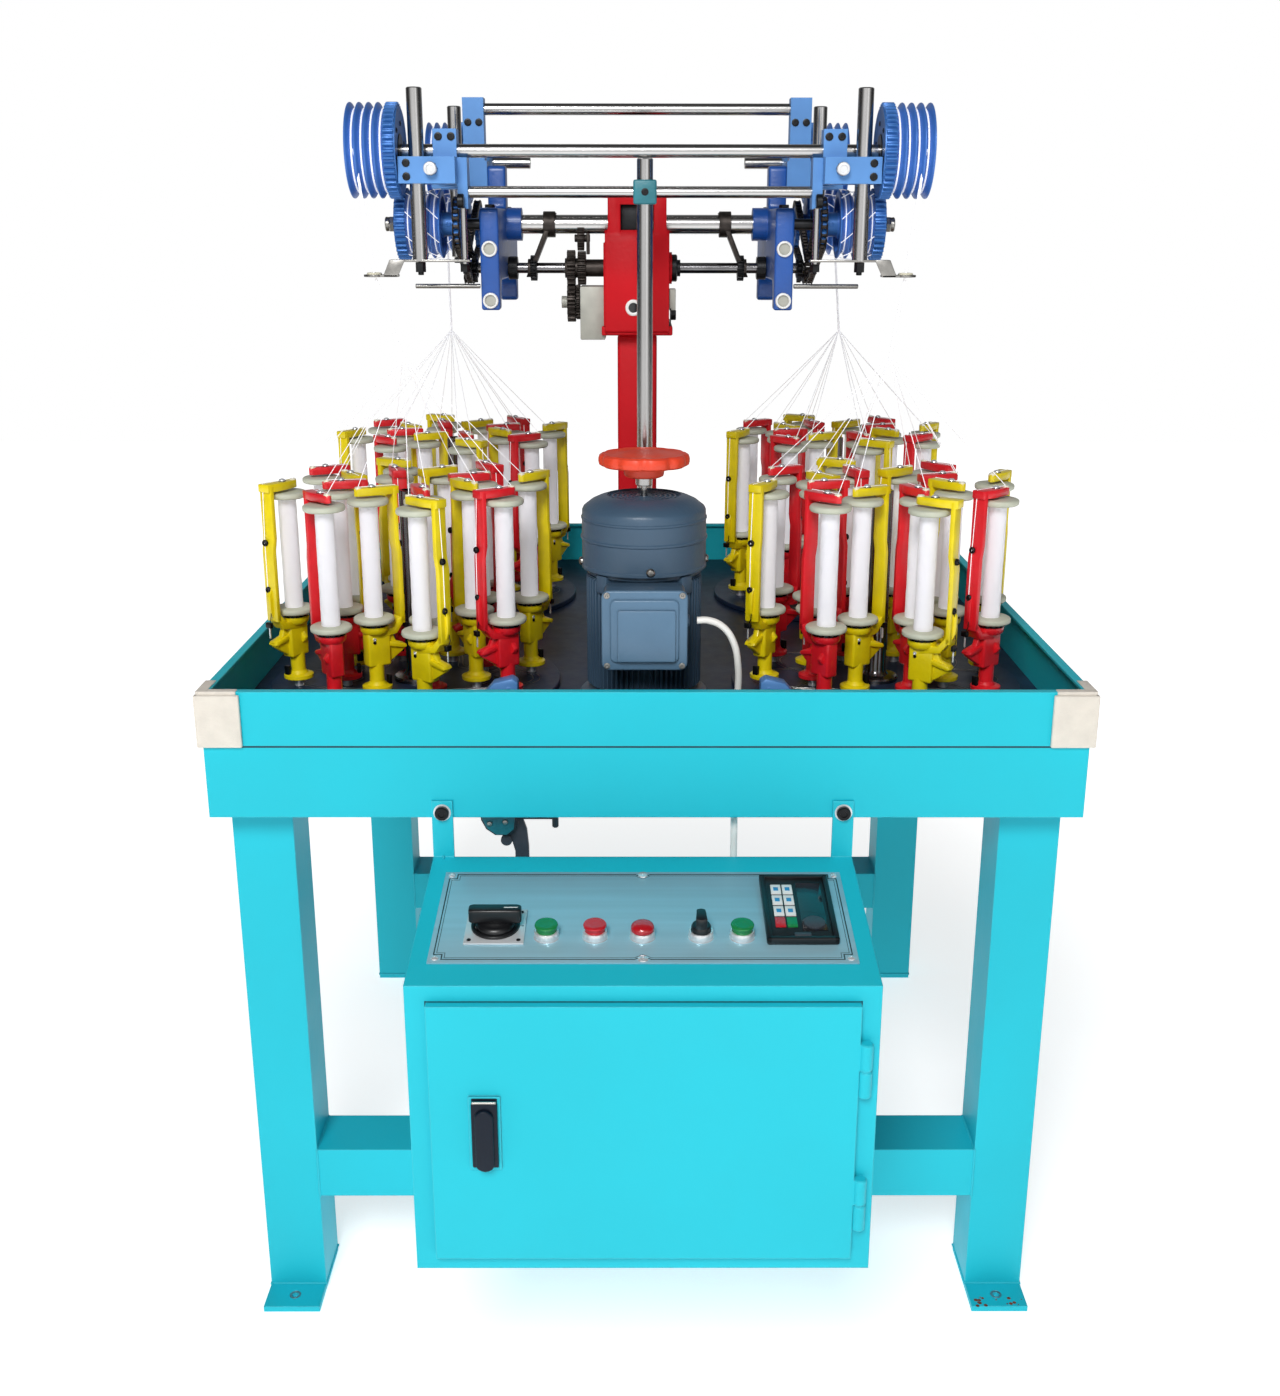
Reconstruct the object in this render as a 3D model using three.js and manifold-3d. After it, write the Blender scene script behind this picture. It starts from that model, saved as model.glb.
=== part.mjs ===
// Rope braiding machine with four heads, a motor on the deck and an overhead take-up train.
// Millimetres, +X to the machine's right, +Y to its back, +Z up.
// Places along Y are counted from the front face of the tray, and the finished group is then
// moved so that its origin is at the middle of its footprint.
import * as THREE from 'three';
import { mergeVertices } from 'three/addons/utils/BufferGeometryUtils.js';
import Module from 'manifold-3d';

const wasm = await Module();
wasm.setup();

// Facets round a turned face
const hexRound = 6;
const coarseRound = 8;
const drumRound = 10;
const mediumRound = 12;
const fineRound = 18;

// Clearances
const gap = 0.3;
const runGap = 0.5;
const bite = 0.6;
const overrun = 3;
const mergeWithin = 1e-4;

// Tray, box band and deck
const tableWidth = 1040;
const tableDepth = 1040;
const rimTop = 856;
const bandTop = 789;
const bandBottom = 700;
const wall = 4;
const lipWidth = 11;
const ledgeWidth = 40;
const ledgeThick = 6;
const flangeWidth = 20;
const flangeThick = 6;
const cornerPlate = 125;
const deckTop = 790;
const deckThick = 10;
const guardWidth = 47;
const guardThick = 6;
const guardCap = 3;

// Legs, braces and foot plates
const legWidth = 74;
const legDepth = 80;
const legInsetX = 15;
const legInsetY = 40;
const braceBottom = 146;
const braceTop = 216;
const footThick = 8;
const footReach = 46;
const footHoleRadius = 4.5;

// Control cabinet
const cabinetX = -4.5;
const cabinetWidth = 501;
const cabinetBottom = 266;
const cabinetFrontTop = 615;
const cabinetBackTop = 651;
const cabinetDepth = 254;
const cabinetStandOff = 4;
const cabinetWall = 3;
const doorMargin = 45;
const doorWidth = cabinetWidth - doorMargin;
const doorSill = 20;
const doorBottom = cabinetBottom + doorSill;
const doorHead = 19;
const doorTop = cabinetFrontTop - doorHead;
const doorThick = 10;
const doorSheet = 2;
const doorShift = 0.5;
const doorLap = 12;
const strapWidth = 25;
const strapTop = 722;
const strapBoltDrop = 14;
const boltHead = 7;
const boltHeight = 5;
const hingeRadius = 6.5;
const hingePin = 3;
const hingeLeaf = 2;
const hingeHeight = 62;
const hingeLowZ = 355;
const hingeHighZ = 520;
const handleInset = 45;
const handleWidth = 28;
const handleBelowTop = 108;
const handleTop = doorTop - handleBelowTop;
const handleLength = 83;
const handleThick = 11;
const handlePlate = 3;
const handleMargin = 3;

// Console plate, laid on the sloping top of the cabinet
const plateMargin = 39;
const plateWidth = cabinetWidth - plateMargin;
const plateDepth = 181;
const plateInset = 38;
const plateThick = 2;
const screwRadius = 3.5;
const screwHeight = 1.5;
const controlLine = 87;
const bezelRadius = 14.5;
const bezelHeight = 9;
const buttonRadius = 11;
const buttonHeight = 12;
const buttonRise = 6;
const startShare = -0.2284;
const startX = cabinetX + plateWidth * startShare;
const stopShare = -0.1136;
const stopX = cabinetX + plateWidth * stopShare;
const lampShare = -0.0011;
const lampX = cabinetX + plateWidth * lampShare;
const selectorShare = 0.1374;
const selectorX = cabinetX + plateWidth * selectorShare;
const jogShare = 0.2348;
const jogX = cabinetX + plateWidth * jogShare;
const mainSwitchShare = -0.3517;
const mainSwitchX = cabinetX + plateWidth * mainSwitchShare;
const mainSwitchLine = 103;
const switchPlate = 66;
const switchPlateThick = 3;
const switchCollar = 22;
const switchCollarHeight = 5;
const switchLeverLength = 58;
const switchLeverWidth = 15;
const switchLeverHeight = 24;
const knobLeverWidth = 7;
const knobLeverHeight = 12;
const keypadShare = 0.3766;
const keypadX = cabinetX + plateWidth * keypadShare;
const keypadLine = 140;
const keypadWidth = 79;
const keypadDepth = 131;
const keypadThick = 9;
const keypadRecess = 3;
const keypadFrame = 5;
const keySize = 12;
const keyPitch = 16;
const keyHeight = 2;
const keyRows = 4;
const dialRadius = 15;
const dialHeight = 10;

// Motor on the deck
const motorX = -3;
const motorY = 190;
const motorRadius = 73;
const motorTop = 964;
const finCount = 16;
const finDepth = 8;
const motorFlangeRadius = 82;
const motorFlangeThick = 13;
const coverRadius = 78.5;
const coverSide = 71;
const coverShoulder = motorTop + coverSide;
const coverDome = 19;
const coverTop = coverShoulder + coverDome;
const coverTopRadius = 58;
const coverWall = 2;
const coverHole = 8;
const boxWidth = 103;
const boxShift = 0.5;
const boxBelowCover = 1;
const boxTop = motorTop - boxBelowCover;
const boxHeight = 98;
const boxBottom = boxTop - boxHeight;
const boxFrontY = 55;
const boxLid = 6;
const boxLidInset = 12;
const boxSeatInset = 7;
const wheelRadius = 56.5;
const wheelThick = 16;
const wheelScallops = 10;
const wheelScallopDepth = 4;
const hubRadius = 25;
const hubHeight = 12;
const hubLift = 24;
const hubBottom = coverTop + hubLift;
const wheelBottom = hubBottom + hubHeight;
const wheelShaftRadius = 4;
const rotorRadius = 12;
const pulleyRadius = 35;
const pulleyTop = 762;
const pulleyHeight = 30;
const rotorSeat = 22;

// Cable from the terminal box down into the cabinet
const cableRadius = 4.25;
const cableGland = 8;
const cableGlandLength = 11;
const cableExitX = 49;
const cableExitY = 78;
const cableExitZ = 922;
const cableDeckX = 108;
const cableDeckY = 80;
const cableEndX = 106;
const cableEndZ = 600;
const cableSteps = 20;
const cableArc = [[13, 0], [31, 8], [44, 27], [50, 56]];
const cableDrop = [[3, 0, 43], [0, 0, 6], [0, -1, -16]];
const cableTuck = [[1, -14, 45], [0, -36, 16], [0, -52, -14], [0, -55, -50]];
const cableLast = [[20, 14], [10, 0], [0, 0]];

// Column, gearbox and upright shaft
const takeupX = -12;
const driveZ = 1318;
const columnY = 470;
const columnSide = 54;
const columnWall = 5;
const columnBelowDrive = 87;
const columnTop = driveZ - columnBelowDrive;
const columnFoot = 92;
const columnFootThick = 12;
const uprightRadius = 8;
const uprightPulleyRadius = 55;
const beltWidth = 16;
const beltThick = 4;
const beltGap = 0.9;
const gearboxWidth = 86;
const gearboxDepth = 110;
const gearboxRise = 92;
const gearboxTop = driveZ + gearboxRise;
const gearboxFlange = 13;
const gearboxFlangeLip = 5;
const notchWidth = 44;
const notchDepth = 56;
const bevel = 7;
const sightRadius = 11;
const sightBelowDrive = 28;
const sightZ = driveZ - sightBelowDrive;
const sightX = 9;
const capRadius = 21;
const capLength = 8;
const postX = -2;
const postAhead = 175;
const postY = columnY - postAhead;
const postRadius = 10;
const clampSide = 29;

// Bars of the take-up frame
const beamRadius = 12.5;
const beamLift = 57;
const beamZ = driveZ + beamLift;
const beamHalf = 210;
const armHalf = 150;
const armWidth = 20;
const armThick = 8;
const driveRadius = 7;
const driveHalf = 229;
const sprocketHalf = 217;
const sprocketWidth = 9;
const sprocketRadius = 17;
const sprocketTeeth = 9;
const sprocketTooth = 2.6;
const collarRadius = 15;
const collarWidth = 13;
const changeWheelHalf = 84;
const changeWheelWidth = 12;
const changeTeeth = 14;
const idlerTeeth = 16;
const changeModule = 3;
const idlerDrop = changeModule * (changeTeeth + idlerTeeth) / 2;
const changeTipShare = 0.7;
const changeRootShare = 1.3;
const supportHalf = 47;
const supportWidth = 30;
const supportBelowDrive = 23;
const supportTop = driveZ - supportBelowDrive;
const supportHeight = 70;
const supportBottom = supportTop - supportHeight;
const bracketHalf = 176;
const bracketThick = 24;
const bracketBehindPost = 35;
const bracketFrontY = postY + bracketBehindPost;
const bracketDrop = 49;
const bracketBottom = driveZ - bracketDrop;
const bracketCrown = 20;
const bracketTop = beamZ + bracketCrown;
const bracketLeg = 24;
const bracketArchRise = 36;
const bracketArch = bracketBottom + bracketArchRise;
const lugHeight = 55;
const lugTop = bracketTop + lugHeight;
const lugWidth = 34;
const bossRadius = 21.5;
const bossLength = 20;
const ringRadius = 10;
const ringBore = 6;
const ringLength = 4;
const ringBelowBeam = 30;
const ringHighZ = beamZ - ringBelowBeam;
const ringSpacing = 64;
const ringLowZ = ringHighZ - ringSpacing;
const midGap = 3;
const midWidth = 28;
const midFootReach = 34;
const midInner = bracketHalf + bracketThick + midGap;
const midOuter = midInner + midWidth;
const midFootOuter = midOuter + midFootReach;
const midDepth = 26;
const midRise = 85;
const midTop = lugTop + midRise;
const midFootLift = 6;
const midFootTop = lugTop + midFootLift;
const midFootHeight = 32;
const midFootBottom = midFootTop - midFootHeight;
const tieRadius = 7.5;
const tieBelowTop = 14;
const tieZ = midTop - tieBelowTop;
const rodBehindSplit = 18;
const rodHalf = midOuter + rodBehindSplit;
const rodInFoot = 15;
const rodZ = midFootBottom + rodInFoot;
const rodRadius = 8;
const rodAheadOfPost = 44;
const rodFrontY = postY - rodAheadOfPost;

// Front clamps
const frontX = -8;
const clampInner = 224;
const clampSplit = 253;
const clampOuter = 293;
const rodProud = 6;
const clampDepth = 52;
const clampFrontY = rodFrontY + rodProud;
const clampBackY = clampFrontY + clampDepth;
const clampBelowRod = 17;
const clampBottom = rodZ - clampBelowRod;
const clampHeight = 31;
const clampTop = clampBottom + clampHeight;
const crownRise = 33;
const clampCrown = clampTop + crownRise;
const hangerInner = 212;
const hangerUnderBar = 20;
const lowBarDrop = 9;
const lowBarZ = clampBottom - lowBarDrop;
const hangerBottom = lowBarZ - hangerUnderBar;
const lowBarRadius = 7;
const guideRadius = 9.5;
const guideHalf = 272;
const guideBehindFace = 15;
const guideY = clampFrontY + guideBehindFace;
const guideAboveCrown = 46;
const guideTop = clampCrown + guideAboveCrown;
const guideLift = 4;
const guideBottom = driveZ + guideLift;
const guideNut = 13;
const guideNutHeight = 8;
const armPlate = 3;
const armPlateWidth = 18;
const armInner = 215;
const armOuter = 330;
const armDrop = 18;
const armRing = 13;
const armRingBore = 7;

// Rear clamps
const rearBehind = 200;
const rearY = columnY + rearBehind;
const rearPostBehind = 100;
const rearPostY = columnY + rearPostBehind;
const rearPostHalf = 255;
const rearBlockBehind = 60;
const rearBlockDepth = 54;
const rearBlockFront = columnY + rearBlockBehind;
const rearBlockBack = rearBlockFront + rearBlockDepth;
const rearBlockOuter = 285;
const rearArmOuter = 239;
const rearArmOver = 20;
const rearArmBack = rearY + rearArmOver;
const rearAxleInner = 157;

// Capstans: grooved drums with a gear, in meshing pairs
const capstanBarRadius = 8;
const frontCapstanY = postY;
const capstanRise = 86;
const lowerZ = beamZ;
const upperZ = lowerZ + capstanRise;
const lowerOffsetY = 45;
const upperTeeth = 44;
const lowerTeeth = 34;
const addendum = 1.5;
const dedendum = 3.3;
const tipShare = 0.22;
const gearWidth = 15;
const frontGearHalf = clampOuter + runGap;
const rearGearHalf = 243.5;
const drumWidth = 46;
const upperDrumRadius = 56;
const lowerDrumRadius = 42;
const grooveDepth = 8;
const grooveCount = 4;
const lowerDrumWidth = 43;
const discRadius = 30;
const discWidth = 11;
const discTeeth = 18;
const discHalf = 226;
const lowerAxleRadius = 7;
const washerRadius = 12;
const washerWidth = 5;
const axleEnd = 10;

// Braiding heads
const headX = 304;
const headFrontY = 250;
const headRearY = 755;
const hornGears = 8;
const hornCircle = 117.6;
const hornRadius = 45;
const facings = [[45, -110], [180, 150]];
const trackRadius = 190;
const trackThick = 8;
const tubeRadius = 13.5;
const tubeTop = 1050;
const tubeFootRadius = 30;
const tubeBoreShare = 0.7;
const tubeFootHeight = 8;
const carrierThick = 20;
const columnHalf = 11;
const carrierArmZ = 875;
const carrierSeatZ = 895;
const carrierTop = 1070;
const latchThick = 10;
const uprightInner = 34;
const uprightThick = 9;
const latchReach = 16;
const bobbinBottom = 897;
const bobbinTop = 1054;
const bobbinRadius = 25.5;
const yarnRadius = 11.5;
const flangeHeight = 8;
const spindleRadius = 4;
const spindleBore = 5;

// Colours and finishes
const finishes = {
  cyanPaint: { color: 0x3bd6e8, roughness: 0.35, metalness: 0.0 },
  deckPaint: { color: 0x2a3540, roughness: 0.5, metalness: 0.1 },
  foam: { color: 0xefe9e4, roughness: 0.9, metalness: 0.0 },
  brushedSteel: { color: 0xb9bdbf, roughness: 0.35, metalness: 0.9 },
  chrome: { color: 0xd8dadd, roughness: 0.12, metalness: 1.0 },
  darkSteel: { color: 0x2b2c2e, roughness: 0.4, metalness: 0.8 },
  blackPlastic: { color: 0x15171a, roughness: 0.4, metalness: 0.0 },
  motorPaint: { color: 0x56708c, roughness: 0.4, metalness: 0.1 },
  orangePaint: { color: 0xf0563c, roughness: 0.45, metalness: 0.0 },
  redPaint: { color: 0xc8202c, roughness: 0.35, metalness: 0.0 },
  greenPlastic: { color: 0x1f7a3c, roughness: 0.3, metalness: 0.0 },
  redPlastic: { color: 0xb51a22, roughness: 0.3, metalness: 0.0 },
  clampBlue: { color: 0x5e9adb, roughness: 0.45, metalness: 0.2 },
  capstanBlue: { color: 0x3a63b8, roughness: 0.45, metalness: 0.2 },
  bracketBlue: { color: 0x1e3f96, roughness: 0.4, metalness: 0.1 },
  headYellow: { color: 0xe0c814, roughness: 0.4, metalness: 0.0 },
  yarn: { color: 0xeeeaf2, roughness: 0.9, metalness: 0.0 },
  cableWhite: { color: 0xe9e7e2, roughness: 0.5, metalness: 0.0 },
  rubber: { color: 0x1a1a1a, roughness: 0.8, metalness: 0.0 },
};

// Turns a closed geometry into a solid, with its faces pointing out.
function solid(geometry) {
  const bare = geometry.index ? geometry.toNonIndexed() : geometry.clone();
  bare.deleteAttribute('normal');
  bare.deleteAttribute('uv');
  const merged = mergeVertices(bare, mergeWithin);
  const places = merged.attributes.position.array;
  const index = merged.index.array;
  const faces = [];
  let volume = 0;
  const a = new THREE.Vector3();
  const b = new THREE.Vector3();
  const c = new THREE.Vector3();
  for (let i = 0; i < index.length; i += 3) {
    const [p, q, r] = [index[i], index[i + 1], index[i + 2]];
    if (p === q || q === r || r === p) continue;
    a.fromArray(places, p * 3);
    b.fromArray(places, q * 3);
    c.fromArray(places, r * 3);
    volume += a.dot(b.cross(c));
    faces.push(p, q, r);
  }
  if (volume < 0) {
    for (let i = 0; i < faces.length; i += 3) {
      [faces[i], faces[i + 1]] = [faces[i + 1], faces[i]];
    }
  }
  const mesh = new wasm.Mesh({
    numProp: 3,
    vertProperties: Float32Array.from(places),
    triVerts: Uint32Array.from(faces),
  });
  return new wasm.Manifold(mesh);
}

function join(first, ...others) {
  return others.reduce((sum, other) => sum.add(other), first);
}

function cut(first, ...others) {
  return others.reduce((rest, other) => rest.subtract(other), first);
}

// A box between two corners, given pair by pair in any order.
function box(xa, xb, ya, yb, za, zb) {
  const geometry = new THREE.BoxGeometry(Math.abs(xb - xa), Math.abs(yb - ya), Math.abs(zb - za));
  geometry.translate((xa + xb) / 2, (ya + yb) / 2, (za + zb) / 2);
  return solid(geometry);
}

// Round bars along each axis.
function barZ(x, y, za, zb, radius, sides) {
  const geometry = new THREE.CylinderGeometry(radius, radius, Math.abs(zb - za), sides);
  geometry.rotateX(Math.PI / 2);
  geometry.translate(x, y, (za + zb) / 2);
  return solid(geometry);
}

function barX(xa, xb, y, z, radius, sides) {
  const geometry = new THREE.CylinderGeometry(radius, radius, Math.abs(xb - xa), sides);
  geometry.rotateZ(Math.PI / 2);
  geometry.translate((xa + xb) / 2, y, z);
  return solid(geometry);
}

function barY(x, ya, yb, z, radius, sides) {
  const geometry = new THREE.CylinderGeometry(radius, radius, Math.abs(yb - ya), sides);
  geometry.translate(x, (ya + yb) / 2, z);
  return solid(geometry);
}

// The corner radius of a hole whose flats just clear a circle
function holeRound(radius, sides) {
  return radius / Math.cos(Math.PI / sides);
}

function shapeOf(points) {
  return new THREE.Shape(points.map(([u, v]) => new THREE.Vector2(u, v)));
}

function extruded(points, depth) {
  return new THREE.ExtrudeGeometry(shapeOf(points), { depth, bevelEnabled: false });
}

// A plate whose outline is given in Y and Z, between two places along X.
function plateX(points, xa, xb) {
  const geometry = extruded(points, Math.abs(xb - xa));
  geometry.rotateX(Math.PI / 2);
  geometry.rotateZ(Math.PI / 2);
  geometry.translate(Math.min(xa, xb), 0, 0);
  return solid(geometry);
}

// A plate whose outline is given in X and Z, between two places along Y.
function plateY(points, ya, yb) {
  const geometry = extruded(points, Math.abs(yb - ya));
  geometry.rotateX(Math.PI / 2);
  geometry.translate(0, Math.max(ya, yb), 0);
  return solid(geometry);
}

// A plate whose outline is given in X and Y, between two heights.
function plateZ(points, za, zb) {
  const geometry = extruded(points, Math.abs(zb - za));
  geometry.translate(0, 0, Math.min(za, zb));
  return solid(geometry);
}

// A turned piece round a vertical axis, from [radius, height] points.
function turned(points, sides) {
  const geometry = new THREE.LatheGeometry(points.map(([r, z]) => new THREE.Vector2(r, z)), sides);
  geometry.rotateX(Math.PI / 2);
  return solid(geometry);
}

const machine = new THREE.Group();

function add(name, piece, finish, parent = machine) {
  const { vertProperties, triVerts } = piece.getMesh();
  const geometry = new THREE.BufferGeometry();
  geometry.setAttribute('position', new THREE.BufferAttribute(Float32Array.from(vertProperties), 3));
  geometry.setIndex(Array.from(triVerts));
  geometry.computeVertexNormals();
  const mesh = new THREE.Mesh(geometry, new THREE.MeshStandardMaterial(finishes[finish]));
  mesh.name = name;
  parent.add(mesh);
}

const sides = { left: -1, right: 1 };
const halfWidth = tableWidth / 2;

// Table frame: a box band with a ledge for the deck, a bottom flange and four corner plates
function tableFrame() {
  const inner = halfWidth - wall;
  const ledgeTop = deckTop - deckThick - gap;
  const ledgeBottom = ledgeTop - ledgeThick;
  const top = bandTop - gap;
  const body = box(-halfWidth, halfWidth, 0, tableDepth, bandBottom, top);
  const upper = box(-inner, inner, wall, tableDepth - wall, ledgeTop, top + overrun);
  const mouth = box(
    ledgeWidth - halfWidth, halfWidth - ledgeWidth, ledgeWidth, tableDepth - ledgeWidth,
    ledgeBottom - overrun, ledgeTop + overrun,
  );
  const flangeTop = bandBottom + flangeThick;
  const hollow = box(-inner, inner, wall, tableDepth - wall, flangeTop, ledgeBottom);
  const edge = halfWidth - flangeWidth;
  const corner = halfWidth - cornerPlate;
  const lengthwise = box(
    -corner, corner, flangeWidth, tableDepth - flangeWidth, bandBottom - overrun, flangeTop + bite,
  );
  const crosswise = box(
    -edge, edge, cornerPlate, tableDepth - cornerPlate, bandBottom - overrun, flangeTop + bite,
  );
  return cut(body, upper, mouth, hollow, lengthwise, crosswise);
}

function trayRim() {
  const inner = halfWidth - wall;
  const lip = halfWidth - lipWidth;
  const body = box(-halfWidth, halfWidth, 0, tableDepth, bandTop, rimTop);
  const inside = box(-inner, inner, wall, tableDepth - wall, bandTop - overrun, rimTop - wall);
  const mouth = box(-lip, lip, lipWidth, tableDepth - lipWidth, bandTop, rimTop + overrun);
  return cut(body, inside, mouth);
}

function trackDeck() {
  const inner = halfWidth - wall - gap;
  const bottom = deckTop - deckThick;
  const low = bottom - overrun;
  const high = deckTop + overrun;
  const plate = box(-inner, inner, wall + gap, tableDepth - wall - gap, bottom, deckTop);
  return cut(
    plate,
    barZ(motorX, motorY, low, high, rotorRadius + overrun, mediumRound),
    barZ(takeupX, columnY, low, high, uprightRadius + overrun, mediumRound),
    barZ(cableDeckX, cableDeckY, low, high, cableRadius + overrun, coarseRound),
  );
}

function legFrame(frontY, backY, footFront, footBack) {
  const outer = halfWidth - legInsetX;
  const inner = outer - legWidth;
  const top = bandBottom - gap;
  const pieces = [box(-inner - bite, inner + bite, frontY, backY, braceBottom, braceTop)];
  const holes = [];
  for (const side of Object.values(sides)) {
    pieces.push(box(side * inner, side * outer, frontY, backY, footThick - bite, top));
    pieces.push(box(side * inner, side * outer, footFront, footBack, 0, footThick));
    const holeY = footFront < frontY ? (footFront + frontY) / 2 : (backY + footBack) / 2;
    const holeX = side * (inner + outer) / 2;
    holes.push(barZ(holeX, holeY, -overrun, footThick + overrun, footHoleRadius, coarseRound));
  }
  return cut(join(...pieces), ...holes);
}

// Corner guards: foam angles wrapped round the front corners of the tray
function cornerGuard(side) {
  const face = side * (halfWidth + gap);
  const outside = side * (halfWidth + guardThick);
  const inboard = side * (halfWidth - guardWidth);
  const top = rimTop + guardCap;
  const front = box(inboard, outside, -guardThick, -gap, bandTop, top);
  const flank = box(face, outside, -guardThick, guardWidth, bandTop, top);
  const cap = box(inboard, outside, -guardThick, guardWidth, rimTop + gap, top);
  return join(front, flank, cap);
}

add('table_frame', tableFrame(), 'cyanPaint');
add('tray_rim', trayRim(), 'cyanPaint');
add('track_deck', trackDeck(), 'deckPaint');
const legBack = legInsetY + legDepth;
const rearFront = tableDepth - legBack;
const rearBack = tableDepth - legInsetY;
add('front_leg_frame', legFrame(legInsetY, legBack, legInsetY - footReach, legBack), 'cyanPaint');
add('rear_leg_frame', legFrame(rearFront, rearBack, rearFront, rearBack + footReach), 'cyanPaint');
for (const [name, side] of Object.entries(sides)) {
  add(`corner_guard_${name}`, cornerGuard(side), 'foam');
}

// Control cabinet: a folded box with a sloping top, hung from the band by two straps
const cabinetLeft = cabinetX - cabinetWidth / 2;
const cabinetRight = cabinetX + cabinetWidth / 2;
const cabinetBack = -cabinetStandOff;
const cabinetFront = cabinetBack - cabinetDepth;
const doorLeft = cabinetX + doorShift - doorWidth / 2;
const doorRight = cabinetX + doorShift + doorWidth / 2;
const doorBack = cabinetFront - gap;
const doorFront = doorBack - doorThick;
const hingeX = doorRight + hingeRadius + runGap;
const hingeY = doorFront + doorThick / 2 - hingeLeaf;
const hingeHalf = hingeHeight / 2;

function controlCabinet() {
  const outline = [
    [cabinetFront, cabinetBottom],
    [cabinetBack, cabinetBottom],
    [cabinetBack, cabinetBackTop],
    [cabinetFront, cabinetFrontTop],
  ];
  const inside = [
    [cabinetFront + cabinetWall, cabinetBottom + cabinetWall],
    [cabinetBack - cabinetWall, cabinetBottom + cabinetWall],
    [cabinetBack - cabinetWall, cabinetBackTop - cabinetWall],
    [cabinetFront + cabinetWall, cabinetFrontTop - cabinetWall],
  ];
  const pieces = [plateX(outline, cabinetLeft, cabinetRight)];
  const boltZ = strapTop - strapBoltDrop;
  for (const edge of [cabinetLeft, cabinetRight - strapWidth]) {
    const middle = edge + strapWidth / 2;
    pieces.push(box(edge, edge + strapWidth, cabinetBack, -gap, cabinetFrontTop, strapTop));
    pieces.push(barY(middle, cabinetBack + bite, cabinetBack - boltHeight, boltZ, boltHead, hexRound));
  }
  const hollow = plateX(inside, cabinetLeft + cabinetWall, cabinetRight - cabinetWall);
  const doorway = box(
    doorLeft + doorLap, doorRight - doorLap, cabinetFront - overrun, cabinetFront + cabinetWall + bite,
    doorBottom + doorLap, doorTop - doorLap,
  );
  const shell = cut(join(...pieces), hollow, doorway);
  const fittings = [];
  const leafRight = hingeX + hingeRadius;
  for (const z of [hingeLowZ, hingeHighZ]) {
    fittings.push(barZ(hingeX, hingeY, z - hingeHalf, z - gap, hingeRadius, coarseRound));
    const pinTop = z + hingeHalf - hingeLeaf;
    fittings.push(barZ(hingeX, hingeY, z - hingeHalf + bite, pinTop, hingePin, coarseRound));
    fittings.push(box(
      hingeX, leafRight, hingeY, cabinetFront + bite, z - hingeHalf, z - gap,
    ));
  }
  const gland = barY(cableEndX, cabinetBack - bite, -gap, cableEndZ, cableGland, coarseRound);
  return join(shell, ...fittings, gland);
}

function cabinetDoor() {
  const panel = box(doorLeft, doorRight, doorFront, doorBack, doorBottom, doorTop);
  const hollow = box(
    doorLeft + doorSheet, doorRight - doorSheet, doorFront + doorSheet, doorBack + overrun,
    doorBottom + doorSheet, doorTop - doorSheet,
  );
  const plateLeft = doorLeft + handleInset - handleMargin;
  const plateRight = doorLeft + handleInset + handleWidth + handleMargin;
  const plateBottom = handleTop - handleLength - handleMargin;
  const escutcheon = box(
    plateLeft, plateRight, doorFront - handlePlate, doorFront + bite, plateBottom, handleTop + handleMargin,
  );
  const knuckles = [];
  const bores = [];
  for (const z of [hingeLowZ, hingeHighZ]) {
    knuckles.push(barZ(hingeX, hingeY, z, z + hingeHalf, hingeRadius, coarseRound));
    knuckles.push(box(doorRight - bite, hingeX, doorFront, hingeY, z, z + hingeHalf));
    const boreTop = z + hingeHalf - hingeLeaf + gap;
    bores.push(barZ(hingeX, hingeY, z - overrun, boreTop, hingePin + runGap, coarseRound));
  }
  return cut(join(cut(panel, hollow), escutcheon, ...knuckles), ...bores);
}

const handleFront = doorFront - handlePlate - gap - handleThick;

function doorHandle() {
  const left = doorLeft + handleInset;
  const radius = handleWidth / 2;
  const middle = left + radius;
  const lobe = handleTop - handleLength + radius;
  const points = [[left, handleTop], [left + handleWidth, handleTop]].reverse();
  const steps = 6;
  for (let i = 0; i <= steps; i++) {
    const angle = Math.PI + Math.PI * i / steps;
    points.push([middle + radius * Math.cos(angle), lobe + radius * Math.sin(angle)]);
  }
  return plateY(points, handleFront, handleFront + handleThick);
}

add('control_cabinet', controlCabinet(), 'cyanPaint');
add('cabinet_door', cabinetDoor(), 'cyanPaint');
add('door_handle', doorHandle(), 'blackPlastic');

// Console: everything on the sloping top is placed in this group, whose Y runs up the slope
const consoleGroup = new THREE.Group();
consoleGroup.position.set(cabinetX, cabinetFront, cabinetFrontTop);
consoleGroup.rotation.x = Math.atan2(cabinetBackTop - cabinetFrontTop, cabinetDepth);
machine.add(consoleGroup);
const plateTop = gap + plateThick;

function consolePlate() {
  const back = plateInset + plateDepth;
  const half = plateWidth / 2;
  const middle = mainSwitchX - cabinetX;
  const pieces = [
    box(-half, half, plateInset, back, gap, plateTop),
    box(
      middle - switchPlate / 2, middle + switchPlate / 2, mainSwitchLine - switchPlate / 2,
      mainSwitchLine + switchPlate / 2, plateTop - bite, plateTop + switchPlateThick,
    ),
  ];
  const bores = [];
  for (const place of [startX, stopX, lampX, selectorX, jogX]) {
    const x = place - cabinetX;
    pieces.push(barZ(x, controlLine, plateTop - bite, plateTop + bezelHeight, bezelRadius, coarseRound));
    const hole = buttonRadius + runGap;
    const boreRadius = place === selectorX ? holeRound(hole, coarseRound) : hole;
    const boreTop = plateTop + bezelHeight + overrun;
    bores.push(barZ(x, controlLine, gap - overrun, boreTop, boreRadius, coarseRound));
  }
  return cut(join(...pieces), ...bores);
}

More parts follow.
